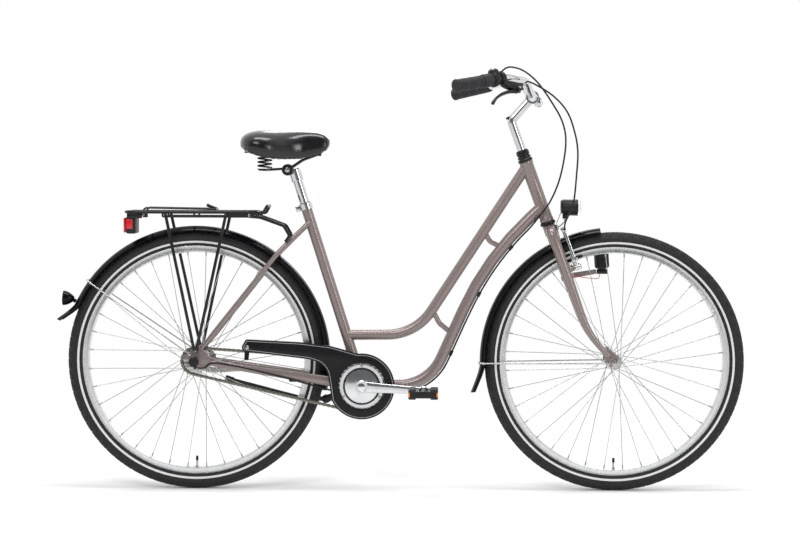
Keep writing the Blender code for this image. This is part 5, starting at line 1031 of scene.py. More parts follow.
finish(
    fuse(
        plate(
            [toothed(SPROCKET_TEETH, COG_ANGLE + COG_END), circle(0.0135)], 0, TOOTH_WIDTH,
            side_plane(REAR_AXLE, -CHAIN_LINE)
        ),
        turned(band(HUB_BORE, 0.0165, -CHAIN_LINE - 0.006, -CHAIN_LINE + 0.006), REAR_AXLE, LEFT)
    ),
    "rear_sprocket", STEEL
)
finish(
    plate(
        [toothed(CHAINRING_TEETH, COG_ANGLE + RING_END), circle(SPINDLE_RADIUS + GAP)], 0, TOOTH_WIDTH,
        side_plane(BRACKET, -CHAIN_LINE)
    ),
    "chainring", STEEL
)


def chain_pins():
    """Each pin's place: round the chainring, back along the lower run, round the sprocket and forward."""
    found = []
    for step in range(CHAINRING_WRAP + 1):
        angle = COG_ANGLE + RING_END + step * 2 * math.pi / CHAINRING_TEETH
        found.append(around(BRACKET, CHAINRING_RADIUS, math.degrees(angle)))
    cog_start = REAR_AXLE + ALONG * SPROCKET_RADIUS * math.cos(COG_END)
    cog_start -= ACROSS * SPROCKET_RADIUS * math.sin(COG_END)
    for step in range(1, RUN_LINKS):
        found.append(found[CHAINRING_WRAP].lerp(cog_start, step / RUN_LINKS))
    for step in range(SPROCKET_WRAP + 1):
        angle = COG_ANGLE - COG_END + step * 2 * math.pi / SPROCKET_TEETH
        found.append(around(REAR_AXLE, SPROCKET_RADIUS, math.degrees(angle)))
    last = found[-1]
    for step in range(1, RUN_LINKS):
        found.append(last.lerp(found[0], step / RUN_LINKS))
    return found


def link_outline():
    """A link plate's waisted outline about its middle, one pitch between its two round ends."""
    found = []
    for end in (1, -1):
        for step in range(9):
            angle = math.radians(-100 + 200 * step / 8)
            found.append(
                (
                    end * (PITCH / 2 + LINK_HEIGHT / 2 * math.cos(angle)),
                    end * LINK_HEIGHT / 2 * math.sin(angle)
                )
            )
        found.append((0.0, end * LINK_HEIGHT * 0.38))
    return found


def chain():
    """The chain's waisted plates, inner and outer by turns, its pins and its rollers."""
    pins = chain_pins()
    line = LEFT * CHAIN_LINE
    plates = []
    rollers = []
    inner = (ROLLER_WIDTH / 2 + 0.0001, 0.0008)
    outer = (ROLLER_WIDTH / 2 + 0.0010, 0.0008)
    for number, (here, after) in enumerate(zip(pins, pins[1:] + pins[:1])):
        middle = (here + after) / 2
        ahead = (after - here).normalized()
        near, thick = inner if number % 2 else outer
        basis = Matrix((ahead, ahead.cross(LEFT).normalized() * -1, -LEFT)).transposed().to_4x4()
        for side in (-1, 1):
            plane = Matrix.Translation(middle - line + LEFT * side * (near + thick / 2)) @ basis
            plates.append(plate([link_outline()], 0, thick, plane, 0.0001))
        pin = here - line
        rollers.append(rod(pin - LEFT * (ROLLER_WIDTH / 2), pin + LEFT * (ROLLER_WIDTH / 2), ROLLER_RADIUS))
        plates.append(rod(pin - LEFT * 0.0042, pin + LEFT * 0.0042, 0.0017))
    finish(fuse(*plates), "chain", CHAIN_STEEL, sharp=40)
    detail(fuse(*rollers), "chain_rollers", "chain", CHAIN_DARK)


chain()


# Cranks and pedals


def crank_arm(side):
    """A crank's arm, boss and tip, and the places of its pedal and its cap."""
    ahead = CRANK_AHEAD * (1 if side < 0 else -1)
    middle = LEFT * side * (CRANK_INSIDE + CRANK_THICKNESS / 2)
    hub_point = BRACKET + middle
    eye = hub_point + ahead * CRANK_LENGTH + LEFT * side * 0.004
    stations = [hub_point, hub_point.lerp(eye, 0.30), hub_point.lerp(eye, 0.75), eye]
    half = CRANK_THICKNESS / 2
    out = LEFT * side
    arm = sweep(
        stations, [(0.0160, half), (0.0135, half * 0.9), (0.0105, half * 0.8), (0.0100, half * 0.8)], LEFT,
        3.4, 36
    )
    boss = knob(
        [
            (0, -half), (0.0165, -half), (0.0175, -half + 0.001), (0.0175, half + 0.0008),
            (0.0163, half + 0.002), (0.0118, half + 0.002), (0.0112, half + 0.0010), (0, half + 0.0010)
        ],
        hub_point, out
    )
    tip = knob(band(0, 0.0125, -half * 0.85, half * 0.85, 0.0012, half * 0.2), eye, out)
    return arm, boss, tip, eye + out * half * 0.85, hub_point + out * (half + 0.0008)


right_arm, right_boss, right_tip, right_eye, right_bolt = crank_arm(-1)
left_arm, left_boss, left_tip, left_eye, left_bolt = crank_arm(1)
spindle = rod(BRACKET - LEFT * (CRANK_INSIDE + 0.002), BRACKET + LEFT * (CRANK_INSIDE - GAP), SPINDLE_RADIUS)
finish(fuse(right_arm, right_boss, right_tip, spindle), "crank_right", POLISHED)
finish(fuse(left_arm, left_boss, left_tip), "crank_left", POLISHED)
for side, place, name in ((-1, right_bolt, "right"), (1, left_bolt, "left")):
    out = LEFT * side
    cap = knob(
        [(0, 0), (0.0108, 0), (0.0106, 0.0008), (0.0060, 0.0018), (0, 0.0021)], place - out * 0.0006, out
    )
    detail(cap, "crank_cap_" + name, "crank_" + name, CHROME)

# The polished cover outside the chainring: a domed disc, a groove with a black ring on its floor as painted
# shade, and a flat ring with three rivets.
cover_in = -(CHAIN_LINE + TOOTH_WIDTH / 2 + GAP)
cover_bore = SPINDLE_RADIUS + GAP
finish(
    turned(
        [
            (cover_bore, cover_in), (0.0596, cover_in), (0.0600, cover_in - 0.0005),
            (0.0600, cover_in - 0.0038), (0.0593, cover_in - 0.0045), (0.0517, cover_in - 0.0045),
            (0.0510, cover_in - 0.0040), (0.0508, cover_in - 0.0012), (0.0468, cover_in - 0.0012),
            (0.0465, cover_in - 0.0052), (0.0455, cover_in - 0.0062), (0.0380, cover_in - 0.0078),
            (0.0280, cover_in - 0.0095), (0.0190, cover_in - 0.0105), (cover_bore, cover_in - 0.0110)
        ],
        BRACKET, LEFT, 128
    ),
    "chainring_cover", POLISHED
)
# A black ring on the groove's floor: painted shade in the groove.
detail(
    turned(
        [
            (0.0469, cover_in - 0.0013), (0.0507, cover_in - 0.0013), (0.0507, cover_in - 0.0018),
            (0.0469, cover_in - 0.0018)
        ],
        BRACKET, LEFT, 128
    ),
    "cover_groove_painted_shade", "chainring_cover", BLACK_PLASTIC
)
rivets = []
for i in range(3):
    foot = around(BRACKET, 0.0555, 90 + 120 * i, cover_in - 0.0040)
    rivets.append(knob([(0, 0), (0.0036, 0), (0.0036, 0.0006), (0.0022, 0.0018), (0, 0.0020)], foot, -LEFT))
detail(fuse(*rivets), "cover_rivets", "chainring_cover", STEEL)


def pedal(name, eye, side):
    """A block pedal: a barrel on the axle, ribbed treads in a moulded cage, and a reflector at each end."""
    out = LEFT * side
    start = eye + out * GAP
    body = start + out * 0.010
    middle = body + out * PEDAL_WIDTH / 2
    pieces = [rod(start, middle, 0.0065), rod(body, body + out * PEDAL_WIDTH, 0.0095)]
    long = PEDAL_LENGTH
    thick = PEDAL_THICKNESS
    for share in (0.045, 0.955):
        bar = body + out * PEDAL_WIDTH * share
        pieces.append(box(bar, (long - 0.002, 0.008, thick - 0.008), 0.0025))
    for ahead in (-1, 1):
        wall = middle + AHEAD * ahead * (long / 2 - 0.0032)
        pieces.append(box(wall, (0.0062, PEDAL_WIDTH, thick - 0.005), 0.0016))
        bar_size = (0.010, PEDAL_WIDTH - 0.006, thick - 0.010)
        pieces.append(box(middle + AHEAD * ahead * 0.016, bar_size, 0.0016))
    finish(fuse(*pieces), name, BLACK_PLASTIC)
    treads = []
    for ahead in (-1, 1):
        for rib in range(9):
            along = body + out * PEDAL_WIDTH * (0.105 + 0.79 * rib / 8)
            treads.append(box(along + AHEAD * ahead * (long / 2 - 0.0105), (0.019, 0.0062, thick), 0.0014))
    detail(fuse(*treads), name + "_treads", name, GRIP)
    plates = []
    for ahead in (-1, 1):
        for block in (-1, 1):
            end = PEDAL_WIDTH / 2 + 0.0004
            place = middle + vec(ahead * (long / 2 - 0.0020), block * (end + 0.004) / 2, 0)
            plates.append(box(place, (0.0042, end - 0.004, 0.0125), 0.0006))
    detail(fuse(*plates), name + "_reflectors", name, AMBER)


pedal("pedal_right", right_eye, -1)
pedal("pedal_left", left_eye, 1)


# Frame

STAY_BEND = around(REAR_AXLE, FENDER_RADIUS + 0.0034, 52.64)
STAY_BRIDGE = around(REAR_AXLE, FENDER_RADIUS + 0.0234, 52.30)
BRIDGE_RADIUS = 0.0060


def stay_path(side):
    """The right or left seat stay, which draws in above the wheel to meet the seat tube."""
    low = REAR_AXLE + vec(0.012, side * (REAR_STAY_GAP / 2 + 0.0004), 0.026)
    high = seat(SEAT_TUBE_LENGTH - 0.054, 0, side * 0.010)
    return bent([low, STAY_BEND + LEFT * side * 0.0370, high], [0.08])


def chainstay_path(side):
    """The right or left chainstay's middle line, from the drop-out to the bracket."""
    low = REAR_AXLE + vec(0.036, side * (REAR_STAY_GAP / 2 - 0.0007), -0.004)
    waist = BRACKET + vec(-0.105, side * 0.0345, 0.014)
    return bent([low, waist, BRACKET + vec(-0.012, side * 0.0235, 0.001)], [0.25])


HEAD_JOIN = steer(HEAD_HIGH - 0.010, 0)
upper_bend = BRACKET + vec(0.1475, 0, 0.139)
upper_end = seat(0.144)
upper_path = bent([HEAD_JOIN, upper_bend, upper_end], [0.145])
LOWER_JOIN = steer(HEAD_LOW + 0.042, 0)
lower_bend = BRACKET + vec(0.343, 0, 0.353)
lower_corner = BRACKET + vec(0.183, 0, -0.003)
lower_path = bent([LOWER_JOIN, lower_bend, lower_corner, BRACKET], [0.80, 0.127])


def on_path(path, share):
    """The place at that share of a path's length."""
    left = share * sum((b - a).length for a, b in zip(path, path[1:]))
    for a, b in zip(path, path[1:]):
        run = (b - a).length
        if left <= run:
            return a.lerp(b, left / run)
        left -= run
    return path[-1]


def brace(high, low, sag, radius):
    """A short curved brace from the upper tube to the lower one."""
    middle = high.lerp(low, 0.465) + (low - high).normalized().cross(LEFT) * -sag
    return tube(bent([high, middle, low], [radius]), 0.0072)


def dropout(axle, outline, side, apart, slot_middle, slot_length, turn=None):
    """A plate that holds an axle's end: its outline in mm from the axle, and an open slot."""
    shape = [(axle.x + a / 1000, axle.z + b / 1000) for a, b in outline]
    ear = plate([shape], side * (apart + DROPOUT_THICKNESS) / 2, DROPOUT_THICKNESS)
    reach = LEFT * (apart / 2 + DROPOUT_THICKNESS + 0.01)
    radius = AXLE_RADIUS + GAP
    slot = box(slot_middle, (slot_length, 0.16, radius * 1.96), 0.0002, turn)
    return carve(ear, rod(axle - reach, axle + reach, radius), slot)


def frame():
    """The welded frame, its tubes run into each other, with drop-outs cut for the axle."""
    collar = HEAD_RADIUS + 0.0012
    post_bore = POST_RADIUS + GAP
    shell_end = BRACKET_WIDTH / 2
    pieces = [
        turned(
            [
                (HEAD_BORE, HEAD_LOW), (collar, HEAD_LOW), (collar, HEAD_LOW + 0.006),
                (HEAD_RADIUS, HEAD_LOW + 0.008), (HEAD_RADIUS, HEAD_HIGH - 0.008),
                (collar, HEAD_HIGH - 0.006), (collar, HEAD_HIGH), (HEAD_BORE, HEAD_HIGH)
            ],
            steer(0, 0), FORK_UP, 96
        ),
        tube(lower_path, LOWER_TUBE_RADIUS), tube(upper_path, UPPER_TUBE_RADIUS),
        turned(
            [
                (post_bore, 0), (SEAT_TUBE_RADIUS, 0), (SEAT_TUBE_RADIUS, SEAT_TUBE_LENGTH),
                (post_bore, SEAT_TUBE_LENGTH)
            ],
            seat(0), SEAT_UP, 72
        ),
        turned(
            [
                (0.0140, -shell_end + 0.003), *band(0.0175, BRACKET_RADIUS, -shell_end, shell_end, 0.0008),
                (0.0140, shell_end - 0.003)
            ],
            BRACKET, LEFT, 72
        )
    ]
    pieces.append(brace(on_path(upper_path, 0.293), on_path(lower_path, 0.2065), 0.0109, 0.022))
    pieces.append(brace(on_path(upper_path, 0.645), on_path(lower_path, 0.5735), 0.0090, 0.030))
    for side in (-1, 1):
        path = chainstay_path(side)
        share = tapered(path, 0.0, 1.0)
        halves = [
            (
                0.0070 + (CHAINSTAY_HALF_HEIGHT - 0.0070) * min(1, s * 1.3),
                0.0055 + (CHAINSTAY_HALF_WIDTH - 0.0055) * s
            )
            for s in share
        ]
        pieces.append(sweep(path, halves, LEFT))
        stay = stay_path(side)
        stay[1:1] = [stay[0].lerp(stay[1], s) for s in (0.05, 0.10, 0.15, 0.2)]
        pieces.append(tube(stay, [0.0044, 0.0047, 0.0058, 0.0067] + [STAY_RADIUS] * (len(stay) - 4)))
    pieces.append(rod(STAY_BRIDGE - LEFT * 0.032, STAY_BRIDGE + LEFT * 0.032, BRIDGE_RADIUS))
    low_bridge = BRACKET + vec(-0.080, 0, 0.010)
    pieces.append(rod(low_bridge - LEFT * 0.030, low_bridge + LEFT * 0.030, 0.0075))
    outline = [(-28, -7), (-8, -15), (20, -20), (44, -13), (46, 9), (22, 34), (8, 39), (-8, 33), (-28, 14)]
    for side in (-1, 1):
        pieces.append(dropout(REAR_AXLE, outline, side, REAR_STAY_GAP, REAR_AXLE - AHEAD * 0.030, 0.060))
    return fuse(*pieces)


finish(frame(), "frame", PAINT, sharp=40)

# Headset: two cups pressed in the head tube, and the locknut that turns with the fork
cup_bore = STEERER_RADIUS + RUNNING_GAP
CUP_HEIGHT = 0.010
for name, height, axis, deep, bulge in (
    (
        "headset_upper_cup", HEAD_HIGH, FORK_UP, CUP_HEIGHT,
        ((0.0020, 0.0022), (0.0025, 0.0030), (0.0025, 0.0070), (0.0018, 0.0080))
    ),
    (
        "headset_lower_cup", HEAD_LOW, -FORK_UP, CUP_HEIGHT + 0.002,
        ((0.0030, 0.0030), (0.0035, 0.0040), (0.0035, 0.0090), (0.0026, 0.0100))
    )
):
    side = [(HEAD_RADIUS + out, along) for out, along in bulge]
    profile = [(cup_bore, GAP), (HEAD_RADIUS, GAP), *side, (HEAD_RADIUS, deep), (cup_bore, deep)]
    finish(turned(profile, steer(height, 0), axis, 96), name, BLACK_METAL)
NUT_LOW = HEAD_HIGH + CUP_HEIGHT + RUNNING_GAP
NUT_HEIGHT = 0.024
nut_bore = STEERER_RADIUS + GAP
finish(
    turned(
        [
            (nut_bore, 0), (0.0180, 0), (0.0185, 0.0005), (0.0185, 0.0055), (0.0180, 0.0062),
            (0.0160, 0.0070), (0.0160, 0.0090), (0.0176, 0.0097), (0.0180, 0.0103), (0.0180, 0.0195),
            (0.0174, 0.0205), (0.0155, NUT_HEIGHT), (nut_bore, NUT_HEIGHT)
        ],
        steer(NUT_LOW, 0), FORK_UP, 96
    ),
    "headset_locknut", BLACK_METAL
)


# Fork

CROWN = HEAD_LOW - CUP_HEIGHT - 0.002 - RUNNING_GAP
BLADE_STRAIGHT = 0.150
BRAKE_PIVOT = RIM_RADIUS - 0.0345
BRAKE_AHEAD = 0.034
PAD_HEIGHT = 0.0078


def blade_path(side):
    """A fork blade's middle line: out from the crown, down beside the wheel, then forward to the axle."""
    top = bent(
        [
            steer(CROWN - 0.0155, 0, side * 0.004), steer(CROWN - 0.0175, 0, side * 0.036),
            steer(CROWN - 0.060, 0, side * BLADE_SPREAD),
            steer(BLADE_STRAIGHT, 0, side * (BLADE_SPREAD + 0.004))
        ],
        [0.020, 0.060]
    )
    straight = top[-2]
    steps = 16
    for step in range(1, 8):
        top.insert(-1, straight.lerp(top[-1], step / 8))
    for step in range(1, steps + 1):
        share = step / steps
        along = BLADE_STRAIGHT + (0.022 - BLADE_STRAIGHT) * share
        spread = BLADE_SPREAD + 0.004 + (FRONT_FORK_GAP / 2 + 0.002 - BLADE_SPREAD - 0.004) * share
        top.append(steer(along, FORK_RAKE * 0.78 * share**2, side * spread))
    return top


def blade_radius(along):
    """A fork blade's radius at a height along the steering axis. It narrows towards the axle."""
    top = CROWN - 0.1
    share = min(1.0, max(0.0, (top - along) / top))
    return BLADE_RADIUS + (BLADE_TIP_RADIUS - BLADE_RADIUS) * share


def fork():
    """The crown, the steerer and both blades, with their drop-outs and the brake's bosses."""
    pieces = [
        knob(
            [
                (0, CROWN - 0.029), (0.0165, CROWN - 0.028), (0.0178, CROWN - 0.026), (0.0178, CROWN - 0.002),
                (0.0170, CROWN), (0, CROWN)
            ],
            steer(0, 0), FORK_UP, 72
        )
    ]
    pieces.append(rod(steer(CROWN - 0.010, 0), steer(NUT_LOW + NUT_HEIGHT - 0.002, 0), STEERER_RADIUS))
    for side in (-1, 1):
        path = blade_path(side)
        pieces.append(tube(path, [blade_radius((place - FORK_FOOT).dot(FORK_UP)) for place in path]))
        outline = [(-17, -9), (9, -10), (11, 4), (2, 20), (-14, 38), (-24, 34), (-27, 8), (-27, -4)]
        slot = (FRONT_AXLE - FORK_UP * 0.015, 0.030, axes(-FORK_UP, LEFT))
        pieces.append(dropout(FRONT_AXLE, outline, side, FRONT_FORK_GAP, *slot))
        low, high = (steer(BRAKE_PIVOT, ahead + 0.006, side * BLADE_SPREAD) for ahead in (0, BRAKE_AHEAD))
        pieces.append(rod(low, low.lerp(high, 0.55), 0.0065))
        pieces.append(rod(low, high, 0.0040))
    return fuse(*pieces)


finish(fork(), "fork", PAINT, sharp=40)


# Stem and handlebar

STEM_TOP = STEM_BEND + 0.0407
STEM_REACH = 0.0754
STEM_START = NUT_LOW + NUT_HEIGHT + GAP
CLAMP = steer(STEM_TOP, STEM_REACH)
CLAMP_WIDTH = 0.044


def stem():
    """The quill, the bent neck and the clamp round the bar."""
    extension = (CLAMP - steer(STEM_BEND, 0)).normalized()
    neck = bent([steer(STEM_START, 0), steer(STEM_BEND, 0), CLAMP - extension * 0.010], [0.016])
    return fuse(
        rod(steer(HEAD_HIGH - 0.060, 0), steer(STEM_START + 0.01, 0), BAR_RADIUS), tube(neck, STEM_RADIUS),
        turned(band(BAR_CENTRE_RADIUS + GAP, 0.0185, -CLAMP_WIDTH / 2, CLAMP_WIDTH / 2), CLAMP, LEFT, 96),
        box(
            CLAMP + FORK_AHEAD * 0.010 - FORK_UP * 0.016, (0.022, 0.034, 0.026), 0.004, axes(FORK_AHEAD, LEFT)
        )
    )


finish(stem(), "stem", POLISHED)
ear_place = CLAMP + FORK_AHEAD * 0.011 - FORK_UP * 0.0285
detail(
    fuse(
        rod(ear_place - FORK_UP * 0.004, ear_place + FORK_UP * 0.002, 0.0052),
        box(
            CLAMP + FORK_AHEAD * 0.0205 - FORK_UP * 0.018, (0.0016, 0.0345, 0.0150), 0.0004,
            axes(FORK_AHEAD, LEFT)
        )
    ),
    "stem_clamp_bolt", "stem", STEEL
)
wedge_top = steer(STEM_BEND, 0) + (FORK_UP - FORK_AHEAD * 0.35).normalized() * (STEM_RADIUS - 0.001)
detail(
    knob(
        [
            (0, -0.004), (0.0078, -0.004), (0.0078, 0.0012), (0.0062, 0.0024), (0.0034, 0.0024),
            (0.0034, -0.0005), (0, -0.0005)
        ],
        wedge_top, FORK_UP
    ),
    "stem_bolt", "stem", BLACK_METAL
)


def bar_path(side):
    """The handlebar's middle line from the clamp out to one end."""
    end = CLAMP + vec(-0.209, side * BAR_HALF_WIDTH, 0.019)
    rise = CLAMP + vec(-0.025, side * 0.105, 0.044)
    return bent(
        [CLAMP, CLAMP + vec(0, side * 0.045, 0), rise, rise + vec(-0.048, side * 0.077, 0.003), end],
        [0.030, 0.035, 0.060]
    )


right_bar = bar_path(-1)
left_bar = bar_path(1)
BAR_END = right_bar[-1]
GRIP_AHEAD = (right_bar[-2] - right_bar[-1]).normalized()


def on_grip(distance, side=-1):
    """A place on the handlebar's straight end, a distance in from its tip."""
    place = BAR_END + GRIP_AHEAD * distance
    return vec(place.x, place.y if side < 0 else -place.y, place.z)


def grip_axis(side=-1):
    """The direction from the bar's tip along its straight end."""
    return vec(GRIP_AHEAD.x, GRIP_AHEAD.y if side < 0 else -GRIP_AHEAD.y, GRIP_AHEAD.z)


finish(
    fuse(
        tube(list(reversed(right_bar)) + left_bar[1:], BAR_RADIUS),
        rod(CLAMP - LEFT * 0.036, CLAMP + LEFT * 0.036, BAR_CENTRE_RADIUS)
    ),
    "handlebar", CHROME
)

END_CAP = 0.004


def grip(name, side, length):
    """A rubber grip with a rolled end, four bands of fine ribs and plain bands between them."""
    bore = BAR_RADIUS + GAP
    profile = [
        (0, -END_CAP), (GRIP_RADIUS * 0.70, -END_CAP), (GRIP_RADIUS * 0.95, -END_CAP + 0.0009),
        (GRIP_RADIUS + 0.0010, -END_CAP + 0.0024), (GRIP_RADIUS + 0.0010, 0.002),
        (GRIP_RADIUS - 0.0004, 0.0030)
    ]
    ribs = round((length - 0.012) / 0.0026)
    for rib in range(ribs):
        start = 0.005 + (length - 0.010) * rib / ribs
        step = (length - 0.010) / ribs
        if rib % 12 > 8:
            profile += [(GRIP_RADIUS, start), (GRIP_RADIUS, start + step * 0.98)]
            continue
        profile += [
            (GRIP_RADIUS - 0.0010, start), (GRIP_RADIUS - 0.0002, start + step * 0.22),
            (GRIP_RADIUS, start + step * 0.5), (GRIP_RADIUS - 0.0002, start + step * 0.78)
        ]
    profile += [(GRIP_RADIUS - 0.0008, length), (bore, length), (bore, -GAP), (0, -GAP)]
    finish(knob(profile, on_grip(0, side), grip_axis(side)), name, GRIP, sharp=60)


grip("grip_right", -1, RIGHT_GRIP)
grip("grip_left", 1, LEFT_GRIP)

TWIST_START = RIGHT_GRIP + GAP
TWIST_END = TWIST_START + TWIST_LENGTH
SHIFTER_END = TWIST_END + 0.022
GRIP_UP = (UP - grip_axis() * UP.dot(grip_axis())).normalized()
GRIP_FRONT = grip_axis().cross(GRIP_UP)
SHIFTER_ROOT = on_grip(TWIST_END) + grip_axis() * 0.006 + GRIP_FRONT * 0.008 + GRIP_UP * 0.009
SHIFTER_OUTLET = on_grip(TWIST_END) + grip_axis() * 0.0235 + GRIP_FRONT * 0.0125 + GRIP_UP * 0.0165
bar_bore = BAR_RADIUS + GAP


def shifter_twist():
    """The turning half of the shifter: a sleeve with eight long raised ribs."""
    tread = GRIP_RADIUS + 0.0015
    outline = []
    steps = 160
    for step in range(steps):
        angle = 2 * math.pi * step / steps
        lift = 0.5 + 0.5 * math.cos(8 * angle)
        radius = tread - 0.0012 * (1 - lift**0.5)
        outline.append((radius * math.cos(angle), radius * math.sin(angle)))
    middle = on_grip((TWIST_START + TWIST_END) / 2)
    plane = Matrix.Translation(middle) @ grip_axis().to_track_quat("Z", "Y").to_matrix().to_4x4()
    made = plate([outline, circle(bar_bore)], 0, TWIST_LENGTH - RUNNING_GAP, plane, 0.0008)
    finish(made, "shifter_twist", GRIP)


shifter_twist()


def shifter_housing():
    """The shifter's fixed half, with its domed window on top and the cable's outlet in front."""
    axis = grip_axis()
    start = on_grip(TWIST_END)
    body = turned(
        [
            (bar_bore, GAP), (0.0192, GAP), (0.0200, 0.0010), (0.0208, 0.0045), (0.0210, 0.0065),
            (0.0206, 0.0100), (0.0196, 0.0150), (0.0186, 0.0190), (0.0170, 0.0215), (bar_bore, 0.0220)
        ],
        start, axis, 96
    )
    back = vec(-0.30, 0.0, 0.95).normalized()
    across_dir = axis.cross(back).normalized()

    def ring(height, across, deep):
        centre = start + axis * 0.0145 + back * height
        return [centre + axis * across * c + across_dir * deep * s for c, s in circle(1.0)]

    base_rows = (
        (0.012, 0.0130, 0.0170), (0.0225, 0.0125, 0.0158), (0.0245, 0.0118, 0.0148), (0.0250, 0.0105, 0.0133)
    )
    base = loft([ring(*row) for row in base_rows])
    reach = SHIFTER_OUTLET - SHIFTER_ROOT
    outlet = knob(
        [
            (0, 0), (0.0060, 0), (0.0060, 0.006), (0.0052, 0.007), (0.0052, 0.011), (0.0046, 0.012),
            (0.0044, reach.length), (0, reach.length)
        ],
        SHIFTER_ROOT, reach
    )
    finish(fuse(body, base, outlet), "shifter_housing", BLACK_PLASTIC)
    dome_rows = (
        (0.0235, 0.0108, 0.0136), (0.0268, 0.0104, 0.0130), (0.0290, 0.0090, 0.0110),
        (0.0303, 0.0066, 0.0078), (0.0309, 0.0034, 0.0040), (0.0310, 0.0006, 0.0008)
    )
    detail(loft([ring(*row) for row in dome_rows]), "shift_window", "shifter_housing", WINDOW, 60)


shifter_housing()

# Brake lever
LEVER_STATION = SHIFTER_END + 0.0055
LEVER_DROOP = math.radians(60)
LEVER_ALONG = -grip_axis()
lever_flat = vec(-LEVER_ALONG.y, LEVER_ALONG.x, 0).normalized()
LEVER_OUT = (lever_flat * math.cos(LEVER_DROOP) - UP * math.sin(LEVER_DROOP)).normalized()
LEVER_OUT = (LEVER_OUT - LEVER_ALONG * LEVER_OUT.dot(LEVER_ALONG)).normalized()
LEVER_AXIS = LEVER_OUT.cross(LEVER_ALONG).normalized()
lever_base = on_grip(LEVER_STATION)


def at_lever(along, out, up=0.0):
    """A place by its distance along the bar, out from it in the lever's plane, and across that plane."""
    return lever_base + LEVER_ALONG * along + LEVER_OUT * out + LEVER_AXIS * up


LEVER_HALF = 0.0045


def brake_bracket():
    """The lever's collar and hood, with a slot that the lever turns in."""
    collar = turned(band(bar_bore, 0.0165, 0, 0.014, 0.0007, 0.0008), lever_base, grip_axis(), 96)
    hood = sweep(
        [at_lever(-0.004, 0.014), at_lever(-0.020, 0.024), at_lever(-0.042, 0.031), at_lever(-0.064, 0.030)],
        [(0.0085, 0.011), (0.0115, 0.012), (0.0110, 0.0115), (0.0055, 0.007)], LEVER_AXIS, 2.6, 40
    )
    ears = [
        box(
            at_lever(-0.046, 0.037, side * (LEVER_HALF + 0.0030)), (0.020, 0.022, 0.0040), 0.0012,
            axes(LEVER_ALONG, LEVER_OUT)
        )
        for side in (-1, 1)
    ]
    space = box(
        at_lever(-0.042, 0.047), (0.060, 0.034, 2 * (LEVER_HALF + RUNNING_GAP)), 0.0008,
        axes(LEVER_ALONG, LEVER_OUT)
    )
    made = fuse(collar, carve(hood, space), *ears)
    finish(made, "brake_lever_bracket", BLACK_METAL, sharp=40)
    barrel = knob(
        [
            (0, 0), (0.0042, 0), (0.0042, 0.004), (0.0052, 0.0045), (0.0052, 0.0085), (0.0042, 0.0090),
            (0.0040, 0.0155), (0, 0.0155)
        ],
        at_lever(-0.060, 0.030), at_lever(-0.076, 0.028) - at_lever(-0.060, 0.030)
    )
    detail(barrel, "lever_barrel", "brake_lever_bracket", STEEL)
    pin = [at_lever(-0.046, 0.040, side * (LEVER_HALF + 0.0062)) for side in (-1, 1)]
    clamp_bolt = lever_base + grip_axis() * 0.007 - LEVER_OUT * 0.0158
    detail(
        fuse(
            rod(*pin, 0.0034), rod(clamp_bolt - LEVER_AXIS * 0.006, clamp_bolt + LEVER_AXIS * 0.006, 0.0030)
        ),
        "lever_pin", "brake_lever_bracket", STEEL
    )


brake_bracket()


def brake_lever():
    """The curved lever with a ball at its tip."""
    stations = [
        at_lever(-0.052, 0.041), at_lever(-0.036, 0.044), at_lever(-0.010, 0.043), at_lever(0.020, 0.047),
        at_lever(0.045, 0.056), at_lever(0.062, 0.067)
    ]
    halves = [
        (0.0055, LEVER_HALF), (0.0065, LEVER_HALF), (0.0048, LEVER_HALF), (0.0042, 0.0062), (0.0040, 0.0066),
        (0.0046, 0.0050)
    ]
    blade = sweep(stations, halves, LEVER_AXIS, 2.6)
    tip = knob(
        [(0, -0.004), (0.0040, -0.003), (0.0050, -0.0006), (0.0050, 0.0006), (0.0036, 0.0034), (0, 0.0046)],
        stations[-1], stations[-1] - stations[-2]
    )
    finish(fuse(blade, tip), "brake_lever", BLACK_METAL, sharp=60)


brake_lever()


# Front brake arms


